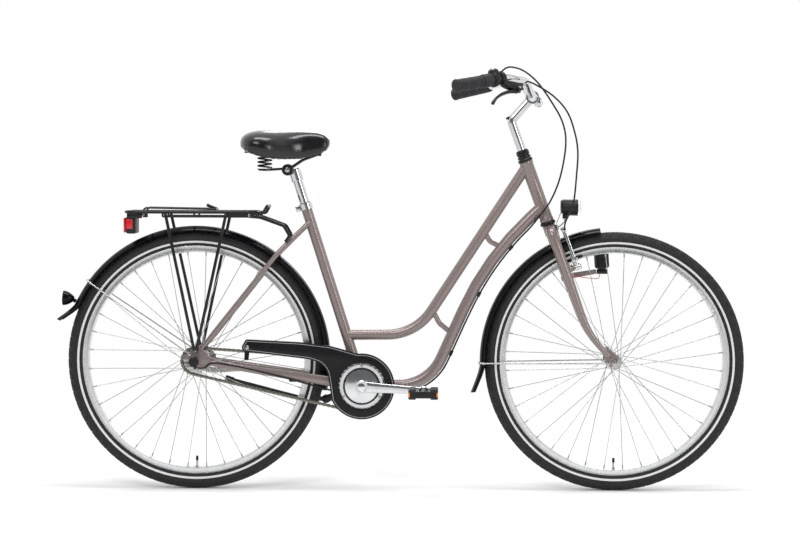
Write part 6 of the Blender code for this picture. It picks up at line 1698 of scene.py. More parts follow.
def brake_arm(name, side):
    """One arm of the rim brake, with its pad, post, return spring and adjusting screw."""
    y = side * BLADE_SPREAD
    pad_radius = RIM_RADIUS - BRAKE_TRACK + PAD_HEIGHT / 2
    pad_along = math.sqrt(pad_radius**2 - (FORK_RAKE - BRAKE_AHEAD) ** 2)
    top = steer(BRAKE_PIVOT + 0.108, BRAKE_AHEAD, y - side * 0.006)
    arm = sweep(
        [steer(BRAKE_PIVOT - 0.004, BRAKE_AHEAD, y), steer(pad_along, BRAKE_AHEAD, y + side * 0.001), top],
        [(0.0085, 0.0055), (0.0075, 0.0050), (0.0045, 0.0042)], FORK_AHEAD, 3
    )
    face = RIM_WIDTH / 2 + 0.0019
    post = [steer(pad_along, BRAKE_AHEAD, y + side * out) for out in (-0.012, 0.008, 0.009, 0.012, 0.0125)]
    to_pad = steer(pad_along, BRAKE_AHEAD) - FRONT_AXLE
    middle = math.degrees(math.atan2(to_pad.z, to_pad.x))
    washer = rod(post[0], post[2], 0.0072)
    cradle = rod(top + LEFT * side * 0.005, top - LEFT * side * 0.005, 0.0062)
    hub_low = steer(BRAKE_PIVOT, BRAKE_AHEAD - 0.0065, y)
    shell = knob(
        [(0.0045, 0), (0.0082, 0), (0.0088, 0.0006), (0.0088, 0.0150), (0.0078, 0.0160), (0, 0.0160)],
        hub_low, FORK_AHEAD
    )
    finish(fuse(shell, arm, washer, cradle), name, POLISHED)
    bolts = [
        hexagon(hub_low + FORK_AHEAD * 0.0150, hub_low + FORK_AHEAD * 0.0183, 0.0052),
        rod(steer(pad_along, BRAKE_AHEAD, side * (face + 0.006)), post[3], 0.0035),
        hexagon(post[1], post[4], 0.0055),
        hexagon(top - FORK_AHEAD * 0.0055, top + FORK_AHEAD * 0.0062, 0.0040)
    ]
    spring = bent(
        [
            steer(BRAKE_PIVOT - 0.006, BRAKE_AHEAD - 0.010, y),
            steer(BRAKE_PIVOT - 0.004, BRAKE_AHEAD - 0.010, y + side * 0.0085),
            steer(BRAKE_PIVOT + 0.046, BRAKE_AHEAD - 0.007, y + side * 0.0040)
        ],
        [0.004]
    )
    bolts.append(tube(spring, 0.0009))
    detail(fuse(*bolts), name + "_bolts", name, STEEL)
    rows = []
    ends = ((2.0, 0.0045, 1.0), (4.1, 0.0044, 0.94), (4.4, 0.0040, 0.60))
    rear_ends = [(-degrees, deep, tall) for degrees, deep, tall in reversed(ends)]
    for degrees, deep, tall in (*rear_ends, (0.0, 0.0045, 1.0), *ends):
        place = around(FRONT_AXLE, pad_radius, middle + degrees, side * (face + 0.0045))
        rows.append((place, (tall * PAD_HEIGHT / 2, deep)))
    pad = sweep([row[0] for row in rows], [row[1] for row in rows], LEFT, 5, fine=2)
    detail(pad, name + "_pad", name, PAD, 50)


brake_arm("brake_arm_right", -1)
brake_arm("brake_arm_left", 1)


# Seat post, saddle frame and springs

POST_LENGTH = POST_TOP - SEAT_TUBE_LENGTH + POST_INSERT
finish(
    knob(
        [
            (0, 0), (POST_RADIUS - 0.001, 0), (POST_RADIUS, 0.001), (POST_RADIUS, POST_LENGTH),
            (0, POST_LENGTH)
        ],
        seat(SEAT_TUBE_LENGTH - POST_INSERT), SEAT_UP, 96
    ),
    "seatpost", POLISHED
)
band_low = SEAT_TUBE_LENGTH - 0.020
ear = seat(band_low + 0.009, -SEAT_TUBE_RADIUS - 0.0075)
finish(
    fuse(
        turned(
            band(SEAT_TUBE_RADIUS + GAP, SEAT_TUBE_RADIUS + 0.0034, 0, 0.018, 0.0008), seat(band_low),
            SEAT_UP, 96
        ),
        box(ear + LEFT * 0.0048, (0.012, 0.0062, 0.016), 0.002, axes(SEAT_AHEAD, LEFT)),
        box(ear - LEFT * 0.0048, (0.012, 0.0062, 0.016), 0.002, axes(SEAT_AHEAD, LEFT)),
        knob(
            [
                (0, 0), (0.0034, 0), (0.0042, 0.0006), (0.0042, 0.0060), (0.0022, 0.0064), (0.0022, 0.0030),
                (0, 0.0030)
            ],
            ear - LEFT * 0.0078, -LEFT
        ),
        rod(ear - LEFT * 0.008, ear + LEFT * 0.012, 0.0028),
        hexagon(ear + LEFT * 0.0078, ear + LEFT * 0.0115, 0.0046)
    ),
    "seat_clamp", POLISHED
)

POST_HEAD = seat(POST_TOP)
SPRING_FOOT = POST_HEAD + vec(-0.0814, 0, 0.0058)
SPRING_HEIGHT = 0.0355
SPRING_TOP = SPRING_FOOT.z + SPRING_HEIGHT
PAN_TOP = SPRING_TOP + 0.0110
PAN_THICKNESS = 0.0040
NOSE_PIVOT = POST_HEAD + vec(0.0706, 0, 0.0438)
CLAMP_DISC = seat(POST_TOP + 0.0075, -0.0160)


def rail_path(side):
    """A saddle rail from its spring forward over the clamp to the nose."""
    return bent(
        [
            SPRING_FOOT + vec(0, side * SPRING_SPREAD, -0.004),
            SPRING_FOOT + vec(0.032, side * 0.030, -0.002), CLAMP_DISC + vec(0.006, side * 0.022, 0.004),
            POST_HEAD + vec(0.0226, side * 0.020, 0.0293), NOSE_PIVOT + vec(-0.008, side * 0.012, 0),
            NOSE_PIVOT + vec(0, side * 0.004, 0)
        ],
        [0.015, 0.040, 0.030, 0.006]
    )


def saddle_frame():
    """The two rails with their clamp's grooved discs, the springs' feet and the pin in the nose."""
    disc = [
        (0, 0), (0.0158, 0), (0.0158, 0.0040), (0.0140, 0.0052), (0.0140, 0.0064), (0.0158, 0.0076),
        (0.0158, 0.0136), (0, 0.0136)
    ]
    cheek = [(0.0060, 0.0136), (0.0158, 0.0136), (0.0158, 0.026), (0.0148, 0.028), (0.0060, 0.028)]
    pieces = [knob(disc, CLAMP_DISC, LEFT * side, 96) for side in (-1, 1)]
    pieces += [turned(cheek, CLAMP_DISC, LEFT * side, 96) for side in (-1, 1)]
    for side in (-1, 1):
        pieces.append(tube(rail_path(side), 0.0033))
        foot = SPRING_FOOT + LEFT * side * SPRING_SPREAD
        pieces.append(
            knob(
                [
                    (0, -0.0065), (0.0110, -0.0065), (0.0150, -0.0040), (0.0175, -0.0012), (0.0175, -GAP),
                    (0, -GAP)
                ],
                foot, UP
            )
        )
    pieces.append(rod(NOSE_PIVOT - LEFT * 0.010, NOSE_PIVOT + LEFT * 0.010, 0.0036))
    return fuse(*pieces)


finish(saddle_frame(), "saddle_frame", BLACK_METAL, sharp=40)
collar = [
    (0.0139, POST_TOP - 0.030), (0.0165, POST_TOP - 0.030), (0.0172, POST_TOP - 0.029),
    (0.0172, POST_TOP + 0.002), (0.0155, POST_TOP + 0.004), (0, POST_TOP + 0.004)
]
detail(knob(collar, seat(0), SEAT_UP), "post_collar", "saddle_frame", POLISHED)
detail(
    fuse(
        *[
            hexagon(CLAMP_DISC + LEFT * side * 0.024, CLAMP_DISC + LEFT * side * 0.0335, 0.0075)
            for side in (-1, 1)
        ]
    ),
    "saddle_clamp_nuts", "saddle_frame", STEEL
)


def spring_points(side, per_turn=40):
    """A coil of steady pitch."""
    count = SPRING_TURNS * per_turn
    low = SPRING_FOOT.z + SPRING_WIRE + GAP
    high = SPRING_TOP - SPRING_WIRE - GAP
    found = []
    for step in range(count + 1):
        angle = 2 * math.pi * step / per_turn
        centre = SPRING_FOOT + LEFT * side * SPRING_SPREAD
        across = vec(math.cos(angle), side * math.sin(angle), 0) * SPRING_RADIUS
        found.append(vec(centre.x, centre.y, low + (high - low) * step / count) + across)
    return found


for name, side in (("saddle_spring_right", -1), ("saddle_spring_left", 1)):
    coil = tube(spring_points(side), SPRING_WIRE)
    coil = finish(coil, name, BLACK_METAL)
    foot = SPRING_FOOT + LEFT * side * SPRING_SPREAD + vec(SHIFT, 0, 0)
    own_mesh(coil)


# Saddle: stations from tail to nose, as (x, half width, top z, skirt z), with x and z from the post's head
SADDLE_STATIONS = [
    (-0.1484, 0.44, 0.0883, 0.0640), (-0.1334, 0.80, 0.1013, 0.0515), (-0.1094, 0.98, 0.1098, 0.0410),
    (-0.0794, 1.00, 0.1108, 0.0320), (-0.0494, 0.86, 0.1078, 0.0275), (-0.0194, 0.62, 0.1063, 0.0262),
    (0.0106, 0.44, 0.1068, 0.0275), (0.0406, 0.34, 0.1073, 0.0312), (0.0706, 0.29, 0.1048, 0.0405),
    (0.0906, 0.25, 0.0968, 0.0530), (0.0996, 0.14, 0.0843, 0.0690)
]


def saddle_ring(x, share, top, skirt):
    """One ring of the cushion: crowned on top, drawn in at the skirt, and hollow below."""
    w = SADDLE_WIDTH / 2 * share
    h = top - skirt
    top += POST_HEAD.z
    skirt += POST_HEAD.z
    roof = max(skirt + 0.004, min(PAN_TOP + GAP + 0.0034, top - 0.012))
    half = [
        (0.0, top - 0.0015 * share), (0.42 * w, top), (0.80 * w, top - 0.14 * h), (1.00 * w, top - 0.42 * h),
        (1.00 * w, top - 0.76 * h), (0.90 * w, skirt), (0.74 * w, skirt + 0.003), (0.62 * w, roof),
        (0.0, roof)
    ]
    other_half = [(-y, z) for y, z in reversed(half[1:-1])]
    return [vec(POST_HEAD.x + x, y, z) for y, z in half + other_half]


COVER_GRID = 0.0045
UNDERSIDE = -0.55  # a face that looks further down than this stays put
FILLING_PRESSURE = 3.0
COVER_STIFFNESS = 25.0
BEND_STIFFNESS = 6.0
SWELL_FRAMES = 10
GATHER_HEIGHT = 0.026
GATHER_WIDTH = 0.0145
GATHER_DEPTH = 0.0009


def swelled(made, most=0.005):
    """The cover blown up by its filling in a short cloth run, in which no point moves further than `most`."""
    remesh = made.modifiers.new("even", "REMESH")
    remesh.mode = "VOXEL"
    remesh.voxel_size = COVER_GRID
    made = baked(made)
    before = [vertex.co.copy() for vertex in made.data.vertices]
    under = [v.index for v in made.data.vertices if v.normal.z < UNDERSIDE]
    group = made.vertex_groups.new(name="held")
    group.add(under, 1.0, "REPLACE")
    cover = made.modifiers.new("cover", "CLOTH")
    cover.settings.use_pressure = True
    cover.settings.uniform_pressure_force = FILLING_PRESSURE
    cover.settings.effector_weights.gravity = 0.0
    cover.settings.vertex_group_mass = group.name
    cover.settings.tension_stiffness = COVER_STIFFNESS
    cover.settings.compression_stiffness = COVER_STIFFNESS
    cover.settings.bending_stiffness = BEND_STIFFNESS
    cover.point_cache.frame_start = 1
    cover.point_cache.frame_end = SWELL_FRAMES
    for frame_number in range(1, SWELL_FRAMES + 1):
        bpy.context.scene.frame_set(frame_number)
    made = baked(made, 0.0)
    bpy.context.scene.frame_set(1)
    for vertex, old in zip(made.data.vertices, before):
        move = vertex.co - old
        if move.length > most:
            vertex.co = old + move * (most / move.length)
    return made


def gathered(made):
    """Draws small gathers into the cover near its lower edge, where it is stretched under the pan."""
    rows = [(POST_HEAD.x + station[0], POST_HEAD.z + station[3]) for station in SADDLE_STATIONS]
    for vertex in made.data.vertices:
        x, z = vertex.co.x, vertex.co.z
        low = rows[0][1]
        for (a, za), (b, zb) in zip(rows, rows[1:]):
            if a <= x <= b:
                low = za + (zb - za) * (x - a) / (b - a)
        near = 1 - min(1.0, max(0.0, (z - low) / GATHER_HEIGHT))
        wave = math.sin(2 * math.pi * x / GATHER_WIDTH + 1.3 * math.sin(x * 95)) * math.sin(x * 31 + 0.7)
        vertex.co += vertex.normal * (GATHER_DEPTH * near**1.5 * wave)
    return made


def saddle_cushion():
    """The padded top: a lofted form, swelled by its filling, smoothed, and gathered at its lower edge."""
    made = loft([saddle_ring(*station) for station in SADDLE_STATIONS])
    soft = made.modifiers.new("soft", "SUBSURF")
    soft.levels = 3
    soft.render_levels = 3
    made = baked(made)
    made = swelled(made)
    calm = made.modifiers.new("calm", "SMOOTH")
    calm.iterations = 12
    fine = made.modifiers.new("fine", "SUBSURF")
    fine.levels = 1
    fine.render_levels = 1
    made = baked(made)
    return finish(gathered(made), "saddle_cushion", LEATHERETTE, sharp=180)


cushion = saddle_cushion()


def saddle_pan():
    """The plate under the padding, with a seat for each spring and a lug for the nose pin."""
    right = [vec(POST_HEAD.x + row[0], SADDLE_WIDTH / 2 * row[1] * 0.52, 0) for row in SADDLE_STATIONS[1:-2]]
    right = [(p.x, p.y) for p in smooth(right, 0.006)]
    outline = [(x, -y) for x, y in right] + [(x, y) for x, y in reversed(right)]
    plane = Matrix.Translation((0, 0, PAN_TOP - PAN_THICKNESS / 2))
    pieces = [plate([outline], 0, PAN_THICKNESS, plane, 0.001)]
    for side in (-1, 1):
        seat_point = vec(SPRING_FOOT.x, side * SPRING_SPREAD, SPRING_TOP)
        pieces.append(rod(seat_point, seat_point + UP * (PAN_TOP - SPRING_TOP - 0.001), 0.0172))
    pin_top = NOSE_PIVOT.z + 0.0036 + RUNNING_GAP
    lug_top = PAN_TOP - 0.001
    pieces.append(box((NOSE_PIVOT.x, 0, (pin_top + lug_top) / 2), (0.010, 0.020, lug_top - pin_top)))
    finish(fuse(*pieces), "saddle_pan", BLACK_PLASTIC)


saddle_pan()


# Chain guard


def guard_outline():
    """The hockey-stick outline, anticlockwise: the round end, the long arm and its cut-off tip."""
    round_part = ring_outline(BRACKET, GUARD_RADIUS, 205 - 360, 96)
    count = len(round_part)
    arm = (
        # (behind the bracket, above it, the corner's radius)
        (0.086, 0.1110, 0.030), (0.170, 0.1210, 0.20), (0.317, 0.1280, 0.008), (0.335, 0.0960, 0.012),
        (0.145, 0.0740, 0.05), (0.112, 0.0640, 0.045), (0.094, 0.0420, 0.05), (0.0885, 0.0100, 0),
    )
    corners = round_part + [(BRACKET.x - behind, BRACKET.z + above) for behind, above, _ in arm]
    radii = {count + number: row[2] for number, row in enumerate(arm)}
    radii[count - 1] = 0.02
    return rounded(corners, radii)


def rounded(outline, radii):
    """The closed outline with arcs of the given radii in place of the corners at those numbers."""
    found = []
    count = len(outline)
    for number, here in enumerate(outline):
        radius = radii.get(number, 0)
        here = vec(here[0], here[1], 0)
        before = Vector((*outline[number - 1], 0))
        after = Vector((*outline[(number + 1) % count], 0))
        turn = math.pi - (before - here).angle(after - here)
        if radius:
            reach = radius * math.tan(turn / 2)
            limit = min((before - here).length, (after - here).length) * 0.48
            radius *= min(1.0, limit / reach) if reach else 0
        if radius <= 0:
            found.append((here.x, here.y))
            continue
        arc = bent([before, here, after], [radius], 4)[1:-1]
        found += [(p.x, p.y) for p in arc]
    return found


def chain_guard():
    """A pressed cover with rounded edges, hollow behind, round an opening with a rolled lip."""
    outline = guard_outline()
    y = -GUARD_FACE + GUARD_DEPTH / 2
    shell = plate([outline], y, GUARD_DEPTH, None, 0.0022)
    hollow = plate([inset(outline, GUARD_WALL)], y + GUARD_WALL, GUARD_DEPTH, None, 0.0008)
    opening = plate([ring_outline(BRACKET, GUARD_OPENING)], y, GUARD_DEPTH * 2)
    made = carve(shell, hollow, opening)
    lip = turned(
        [
            (GUARD_OPENING - 0.0016, 0.0008), (GUARD_OPENING - 0.0010, 0.0001), (GUARD_OPENING, 0.0),
            (GUARD_OPENING + 0.0008, 0.0002), (GUARD_OPENING + 0.0012, 0.0008),
            (GUARD_OPENING + 0.0012, 0.0035), (GUARD_OPENING - 0.0016, 0.0035)
        ],
        BRACKET - LEFT * (GUARD_FACE + 0.0004), LEFT, 160
    )
    bolt = vec(BRACKET.x - 0.313, -GUARD_FACE, BRACKET.z + 0.105)
    strap = [bolt + LEFT * 0.0030, bolt + LEFT * 0.0030 + vec(-0.002, -0.003, -0.034)]
    tab = sweep(strap, [(0.0070, 0.0014), (0.0060, 0.0014)], LEFT, 8)
    finish(fuse(made, lip, tab), "chain_guard", GUARD_BLACK, sharp=35)
    head = knob(
        [
            (0, 0.0004), (0.0020, 0.0004), (0.0022, 0.0020), (0.0046, 0.0017), (0.0055, 0.0006),
            (0.0055, -0.003), (0, -0.003)
        ],
        bolt, -LEFT
    )
    detail(head, "guard_bolt", "chain_guard", STEEL)
    # A thin pale line runs just inside the cover's edge: a painted highlight where the face turns into the
    # rounded edge.
    path = [vec(a, -GUARD_FACE - 0.00002, b) for a, b in inset(outline, 0.0052)]
    rows = []
    for here, after in zip(path, path[1:] + path[:1]):
        ahead = (after - here).normalized()
        out = ahead.cross(LEFT) * 0.00075
        front, back = LEFT * 0.00010, LEFT * 0.0003
        rows.append([here - out - front, here + out - front, here + out + back, here - out + back])
    detail(loft(rows + [rows[0]], False), "guard_painted_highlight_line", "chain_guard", PAINTED_EDGE_HIGHLIGHT, 60)


chain_guard()


# Fenders


def fender(name, axle, start, end, flap, flap_reach, bolt, gap):
    """A rolled fender with a raised middle and rolled edges, then a flap that leans out as it goes on.

    A boss stands on it towards the place `bolt`, which it stops short of by `gap`.
    """
    stations = []
    steps = round((end - start) / 2.0)
    for step in range(steps + 1):
        stations.append((start + (end - start) * step / steps, 0.0, 1.0))
    for step in range(1, 9):
        share = step / 8
        stations.append((end + (flap - end) * share, flap_reach * share**1.5, 1.0 - 0.12 * share))
    across = []
    for step in range(-20, 21):
        share = step / 20
        drop = FENDER_DEPTH * (1 - (1 - abs(share) ** 2.4) ** 0.9)
        drop += 0.0008 * max(0.0, 1 - abs(abs(share) - 0.42) / 0.07)
        across.append((share, drop))
    shape = bmesh.new()
    rows = []
    for degrees, out, narrow in stations:
        row = []
        for share, drop in across:
            radius = FENDER_RADIUS + out - drop * narrow
            row.append(shape.verts.new(around(axle, radius, degrees, share * FENDER_HALF_WIDTH * narrow)))
        rows.append(row)
    for a, b in zip(rows, rows[1:]):
        for i in range(len(across) - 1):
            shape.faces.new((a[i], a[i + 1], b[i + 1], b[i]))
    made = from_bmesh(shape)
    wall = made.modifiers.new("wall", "SOLIDIFY")
    wall.thickness = FENDER_WALL
    wall.offset = 0.0
    made = baked(made)
    out = (bolt - axle).normalized()
    boss = rod(axle + out * (FENDER_RADIUS - FENDER_WALL / 2), bolt - out * gap, 0.0045)
    finish(fuse(made, boss), name, BLACK_GLOSS, sharp=50)


fender("front_fender", FRONT_AXLE, 96.5, 181.5, 192.5, 0.034, steer(CROWN - 0.028, 0), 0.0016)
fender("rear_fender", REAR_AXLE, -13.0, 155.0, 164.0, 0.034, STAY_BRIDGE, BRIDGE_RADIUS + GAP * 2)


def fender_stay(name, axle, degrees, eyelet, face):
    """A wire that crosses over the fender and runs down both sides to the dropouts."""
    over = FENDER_RADIUS + FENDER_WALL / 2 + GAP + FENDER_STAY - 0.0002
    foot = face + GAP + 0.0055
    corners = [
        eyelet - LEFT * foot, around(axle, over - 0.018, degrees, -FENDER_HALF_WIDTH - 0.0055),
        around(axle, over, degrees, -FENDER_HALF_WIDTH - 0.001),
        around(axle, over, degrees, FENDER_HALF_WIDTH + 0.001),
        around(axle, over - 0.018, degrees, FENDER_HALF_WIDTH + 0.0055), eyelet + LEFT * foot
    ]
    wire = tube(bent(corners, [0.015, 0.005, 0.005, 0.015]), FENDER_STAY)
    ends = []
    for side in (-1, 1):
        out = LEFT * side
        ends.append(rod(eyelet + out * (face + GAP), eyelet + out * (foot + 0.0012), 0.0052))
        ends.append(hexagon(eyelet + out * (foot + 0.0008), eyelet + out * (foot + 0.0025), 0.0044))
    finish(fuse(wire, *ends), name, STEEL)
    bolts = []
    for side in (-1, 1):
        foot_point = around(axle, over - 0.013, degrees, side * (FENDER_HALF_WIDTH + 0.0008))
        bolts.append(rod(foot_point, foot_point + LEFT * side * 0.0035, 0.0040))
    detail(fuse(*bolts), name + "_bolts", name, STEEL)


REAR_STAY_EYELET = REAR_AXLE + vec(-0.012, 0, 0.020)
fender_stay("rear_fender_stay", REAR_AXLE, 143.8, REAR_STAY_EYELET, REAR_FACE)
fender_stay("front_fender_stay", FRONT_AXLE, 180.8, FRONT_AXLE + vec(-0.0205, 0, -0.001), FRONT_FACE)

# The rear reflector: a cup bolted to the fender, with a ribbed red face behind
cup_face = around(REAR_AXLE, FENDER_RADIUS + 0.030, 155.0)
cup_foot = around(REAR_AXLE, FENDER_RADIUS + FENDER_WALL / 2 + GAP * 3, 154.5)
cup_back = vec(-1, 0, 0.05).normalized()
finish(
    fuse(
        knob(
            [
                (0, 0), (0.0052, 0), (0.0066, 0.0006), (0.0110, 0.006), (0.0152, 0.012), (0.0185, 0.0195),
                (0.0203, 0.027), (0.0205, 0.0302), (0.0200, 0.0305), (0.0188, 0.0298), (0.0188, 0.0280),
                (0, 0.0280)
            ],
            cup_face - cup_back * 0.022, cup_back, 96
        ),
        rod(cup_foot, cup_face - cup_back * 0.012, 0.0055)
    ),
    "rear_reflector", BLACK_GLOSS, sharp=50
)


def ribbed_disc(centre, along, radius, cells):
    """A round reflector face of small pyramids."""
    shape = bmesh.new()
    turn = Vector(along).to_track_quat("Z", "Y").to_matrix()
    size = 2 * radius / cells
    for i in range(cells):
        for j in range(cells):
            a = -radius + size * (i + 0.5)
            b = -radius + size * (j + 0.5)
            if math.hypot(a, b) > radius - size * 0.6:
                continue
            square = ((-0.5, -0.5), (0.5, -0.5), (0.5, 0.5), (-0.5, 0.5))
            corners = [(a + size * u, b + size * v, 0) for u, v in square]
            ring = [shape.verts.new(centre + turn @ Vector(corner)) for corner in corners]
            peak = shape.verts.new(centre + turn @ vec(a, b, size * 0.30))
            for u, v in zip(ring, ring[1:] + ring[:1]):
                shape.faces.new((u, v, peak))
            shape.faces.new(list(reversed(ring)))
    bmesh.ops.remove_doubles(shape, verts=shape.verts, dist=FINE_WELD)
    return from_bmesh(shape)


face_at = cup_face + cup_back * 0.0062
detail(
    fuse(
        rod(face_at - cup_back * 0.0006, face_at, 0.0187),
        ribbed_disc(face_at + cup_back * 0.0001, cup_back, 0.0180, 14)
    ),
    "rear_reflector_face", "rear_reflector", RED_BACK
)


# Rack, its spring clamp and the rear lamp

RACK_LOW = RACK_HEIGHT - 0.012
BAIL_PIVOT = vec(RACK_REAR + 0.040, 0, RACK_HEIGHT - 0.009)
RACK_KNEE = RACK_FRONT - 0.036


def rack():
    """The deck's hoop with its rods, two legs and a lower rail on each side, and the stays to the frame."""
    w = RACK_HALF_WIDTH
    z = RACK_HEIGHT
    hoop = RACK_FRONT + 0.012
    half = [
        (RACK_REAR, 0, z), (RACK_REAR, w, z), (RACK_FRONT - 0.020, w, z), (RACK_FRONT, w - 0.006, z - 0.004),
        (hoop, w - 0.012, z + 0.017), (hoop, 0, z + 0.017)
    ]
    near = bent([vec(x, -y, h) for x, y, h in half], [0.026, 0.030, 0.008, 0.012])
    far = [vec(p.x, -p.y, p.z) for p in reversed(near)]
    pieces = [tube(near + far[1:-1], RACK_TUBE, closed=True)]
    for y in (-0.020, 0.020):
        pieces.append(tube([vec(RACK_REAR, y, z), vec(RACK_FRONT - 0.0145, y, z - 0.0006)], RACK_WIRE))
    for x in (-0.105, -0.010, 0.086, RACK_FRONT - 0.016):
        pieces.append(rod((x, -w, z), (x, w, z), RACK_WIRE))
    for side in (-1, 1):
        y = side * w
        foot = vec(REAR_EYELET.x, side * (REAR_FACE + 0.0095), REAR_EYELET.z)
        for x, apart in ((-0.080, -0.0030), (0.088, 0.0025)):
            pieces.append(rod((x, y, z), foot + vec(apart, 0, -0.0012), RACK_TUBE))
        pieces.append(rod((-0.0865, y, RACK_LOW), (RACK_KNEE, y, RACK_LOW), RACK_WIRE))
        for x in (-0.0865, 0.0):
            pieces.append(rod((x, y, RACK_LOW - 0.001), (x, y, z), RACK_WIRE))
        pieces.append(box((RACK_FRONT - 0.061, y, z - 0.0065), (0.076, 0.003, 0.016), 0.0006))
        pieces.append(rod(foot + LEFT * side * 0.006, foot - LEFT * side * (0.0095 - GAP), 0.0070))
        pieces.append(
            box((BAIL_PIVOT.x, side * (w - 0.0045), RACK_HEIGHT - 0.007), (0.014, 0.0045, 0.020), 0.001)
        )
        stay_foot = STAY_BEND + vec(0.021, side * 0.0405, 0.031)
        path = [
            (RACK_KNEE, y, RACK_LOW + 0.001), (RACK_FRONT - 0.006, side * 0.050, RACK_HEIGHT - 0.014),
            stay_foot + vec(-0.004, side * 0.0025, 0.044), stay_foot + vec(0.012, 0, 0.017), stay_foot
        ]
        pieces.append(tube(bent(path, [0.03, 0.012, 0.010]), RACK_TUBE))
    finish(fuse(*pieces), "rack", BLACK_METAL, sharp=50)
    bolts = []
    for side in (-1, 1):
        foot = vec(REAR_EYELET.x, side * (REAR_FACE + 0.0095), REAR_EYELET.z)
        out = LEFT * side
        bolts.append(rod(foot + out * 0.0056, foot + out * 0.0060, 0.0058))
        bolts.append(hexagon(foot + out * 0.0050, foot + out * 0.0060, 0.0048))
        plate_bolt = vec(RACK_KNEE, side * (w + 0.0018), z - 0.0085)
        bolts.append(rod(plate_bolt, plate_bolt + out * 0.0022, 0.0034))
    detail(fuse(*bolts), "rack_bolts", "rack", STEEL)


rack()


def rack_bail():
    """The sprung bail that holds luggage down, with a coil round its rod at each side."""
    z = RACK_HEIGHT + RACK_WIRE + 0.0055
    w = 0.036
    ends = RACK_HALF_WIDTH - 0.0045 - 0.00225 - RUNNING_GAP
    wire = 0.0025
    half = [
        vec(BAIL_PIVOT.x, w, BAIL_PIVOT.z), vec(BAIL_PIVOT.x + 0.012, w, z + 0.003), vec(0.056, w, z),
        vec(0.056, 0, z)
    ]
    near = bent([vec(p.x, -p.y, p.z) for p in half], [0.010, 0.014])
    far = [vec(p.x, -p.y, p.z) for p in reversed(near)]
    loop = tube(near + far[1:], wire)
    shaft = rod(BAIL_PIVOT - LEFT * ends, BAIL_PIVOT + LEFT * ends, 0.0035)
    coils = []
    for side in (-1, 1):
        turns = []
        for step in range(121):
            angle = 2 * math.pi * step / 24
            along = side * (0.0395 + 0.011 * step / 120)
            turns.append(BAIL_PIVOT + vec(0.0052 * math.cos(angle), along, 0.0052 * math.sin(angle)))
        coils.append(tube(turns, 0.0011))
    lip = tube(bent([(0.056, 0, z), (0.046, 0, z + 0.003), (0.028, 0, z + 0.011)], [0.02]), 0.0045)
    finish(fuse(loop, shaft, lip, *coils), "rack_bail", BLACK_METAL, sharp=60)


rack_bail()

LAMP_TOP = RACK_HEIGHT - 0.013
LAMP_LOW = LAMP_TOP - 0.047
LAMP_REAR = RACK_REAR - 0.0005
LAMP_HALF_WIDTH = 0.038


def tail_lamp():
    """The lamp's body and the two lugs that it hangs from."""
    middle = vec(LAMP_REAR + 0.013, 0, (LAMP_TOP + LAMP_LOW) / 2)
    height = LAMP_TOP - LAMP_LOW
    pieces = [box(middle, (0.026, 2 * LAMP_HALF_WIDTH, height), 0.005)]
    for side in (-1, 1):
        top = RACK_HEIGHT - RACK_TUBE - GAP
        middle_high = (LAMP_TOP + top) / 2 - 0.001
        pieces.append(
            box((RACK_REAR + 0.014, side * 0.022, middle_high), (0.028, 0.004, top - LAMP_TOP + 0.002))
        )
    finish(fuse(*pieces), "tail_lamp", BLACK_PLASTIC)


tail_lamp()
lens_middle = vec(LAMP_REAR - GAP - 0.0035, 0, (LAMP_TOP + LAMP_LOW) / 2)
lens_size = (0.007, 2 * LAMP_HALF_WIDTH - 0.008, LAMP_TOP - LAMP_LOW - 0.006)
finish(box(lens_middle, lens_size, 0.0025), "tail_lamp_lens", RED_BACK)
rib_size = (0.0013, lens_size[1] - 0.012, 0.0022)
bars = [box(lens_middle + vec(-0.0030, 0, -0.016 + 0.004 * step), rib_size, 0.0005) for step in range(9)]
detail(fuse(*bars), "tail_lamp_ribs", "tail_lamp_lens", RED_BACK)
wrap_size = (0.019, 2 * LAMP_HALF_WIDTH + 0.0008, (LAMP_TOP - LAMP_LOW) * 0.62)
wrap_middle = vec(LAMP_REAR + 0.0105, 0, (LAMP_TOP + LAMP_LOW) / 2 + 0.003)
detail(box(wrap_middle, wrap_size, 0.0030), "tail_lamp_wrap", "tail_lamp", RED_BACK)


# Headlamp and bottle dynamo

HEADLAMP = steer(CROWN + 0.0257, 0.073)
HEADLAMP_PIVOT = HEADLAMP + vec(-0.016, 0, -0.0345)


def lamp_rings(rows):
    """Oval rings about the headlamp, from rows of (ahead, half width, half height, up)."""
    return [
        [HEADLAMP + vec(x, half * c, z + deep * s) for c, s in circle(1.0, 72)]
        for x, half, deep, z in rows
    ]


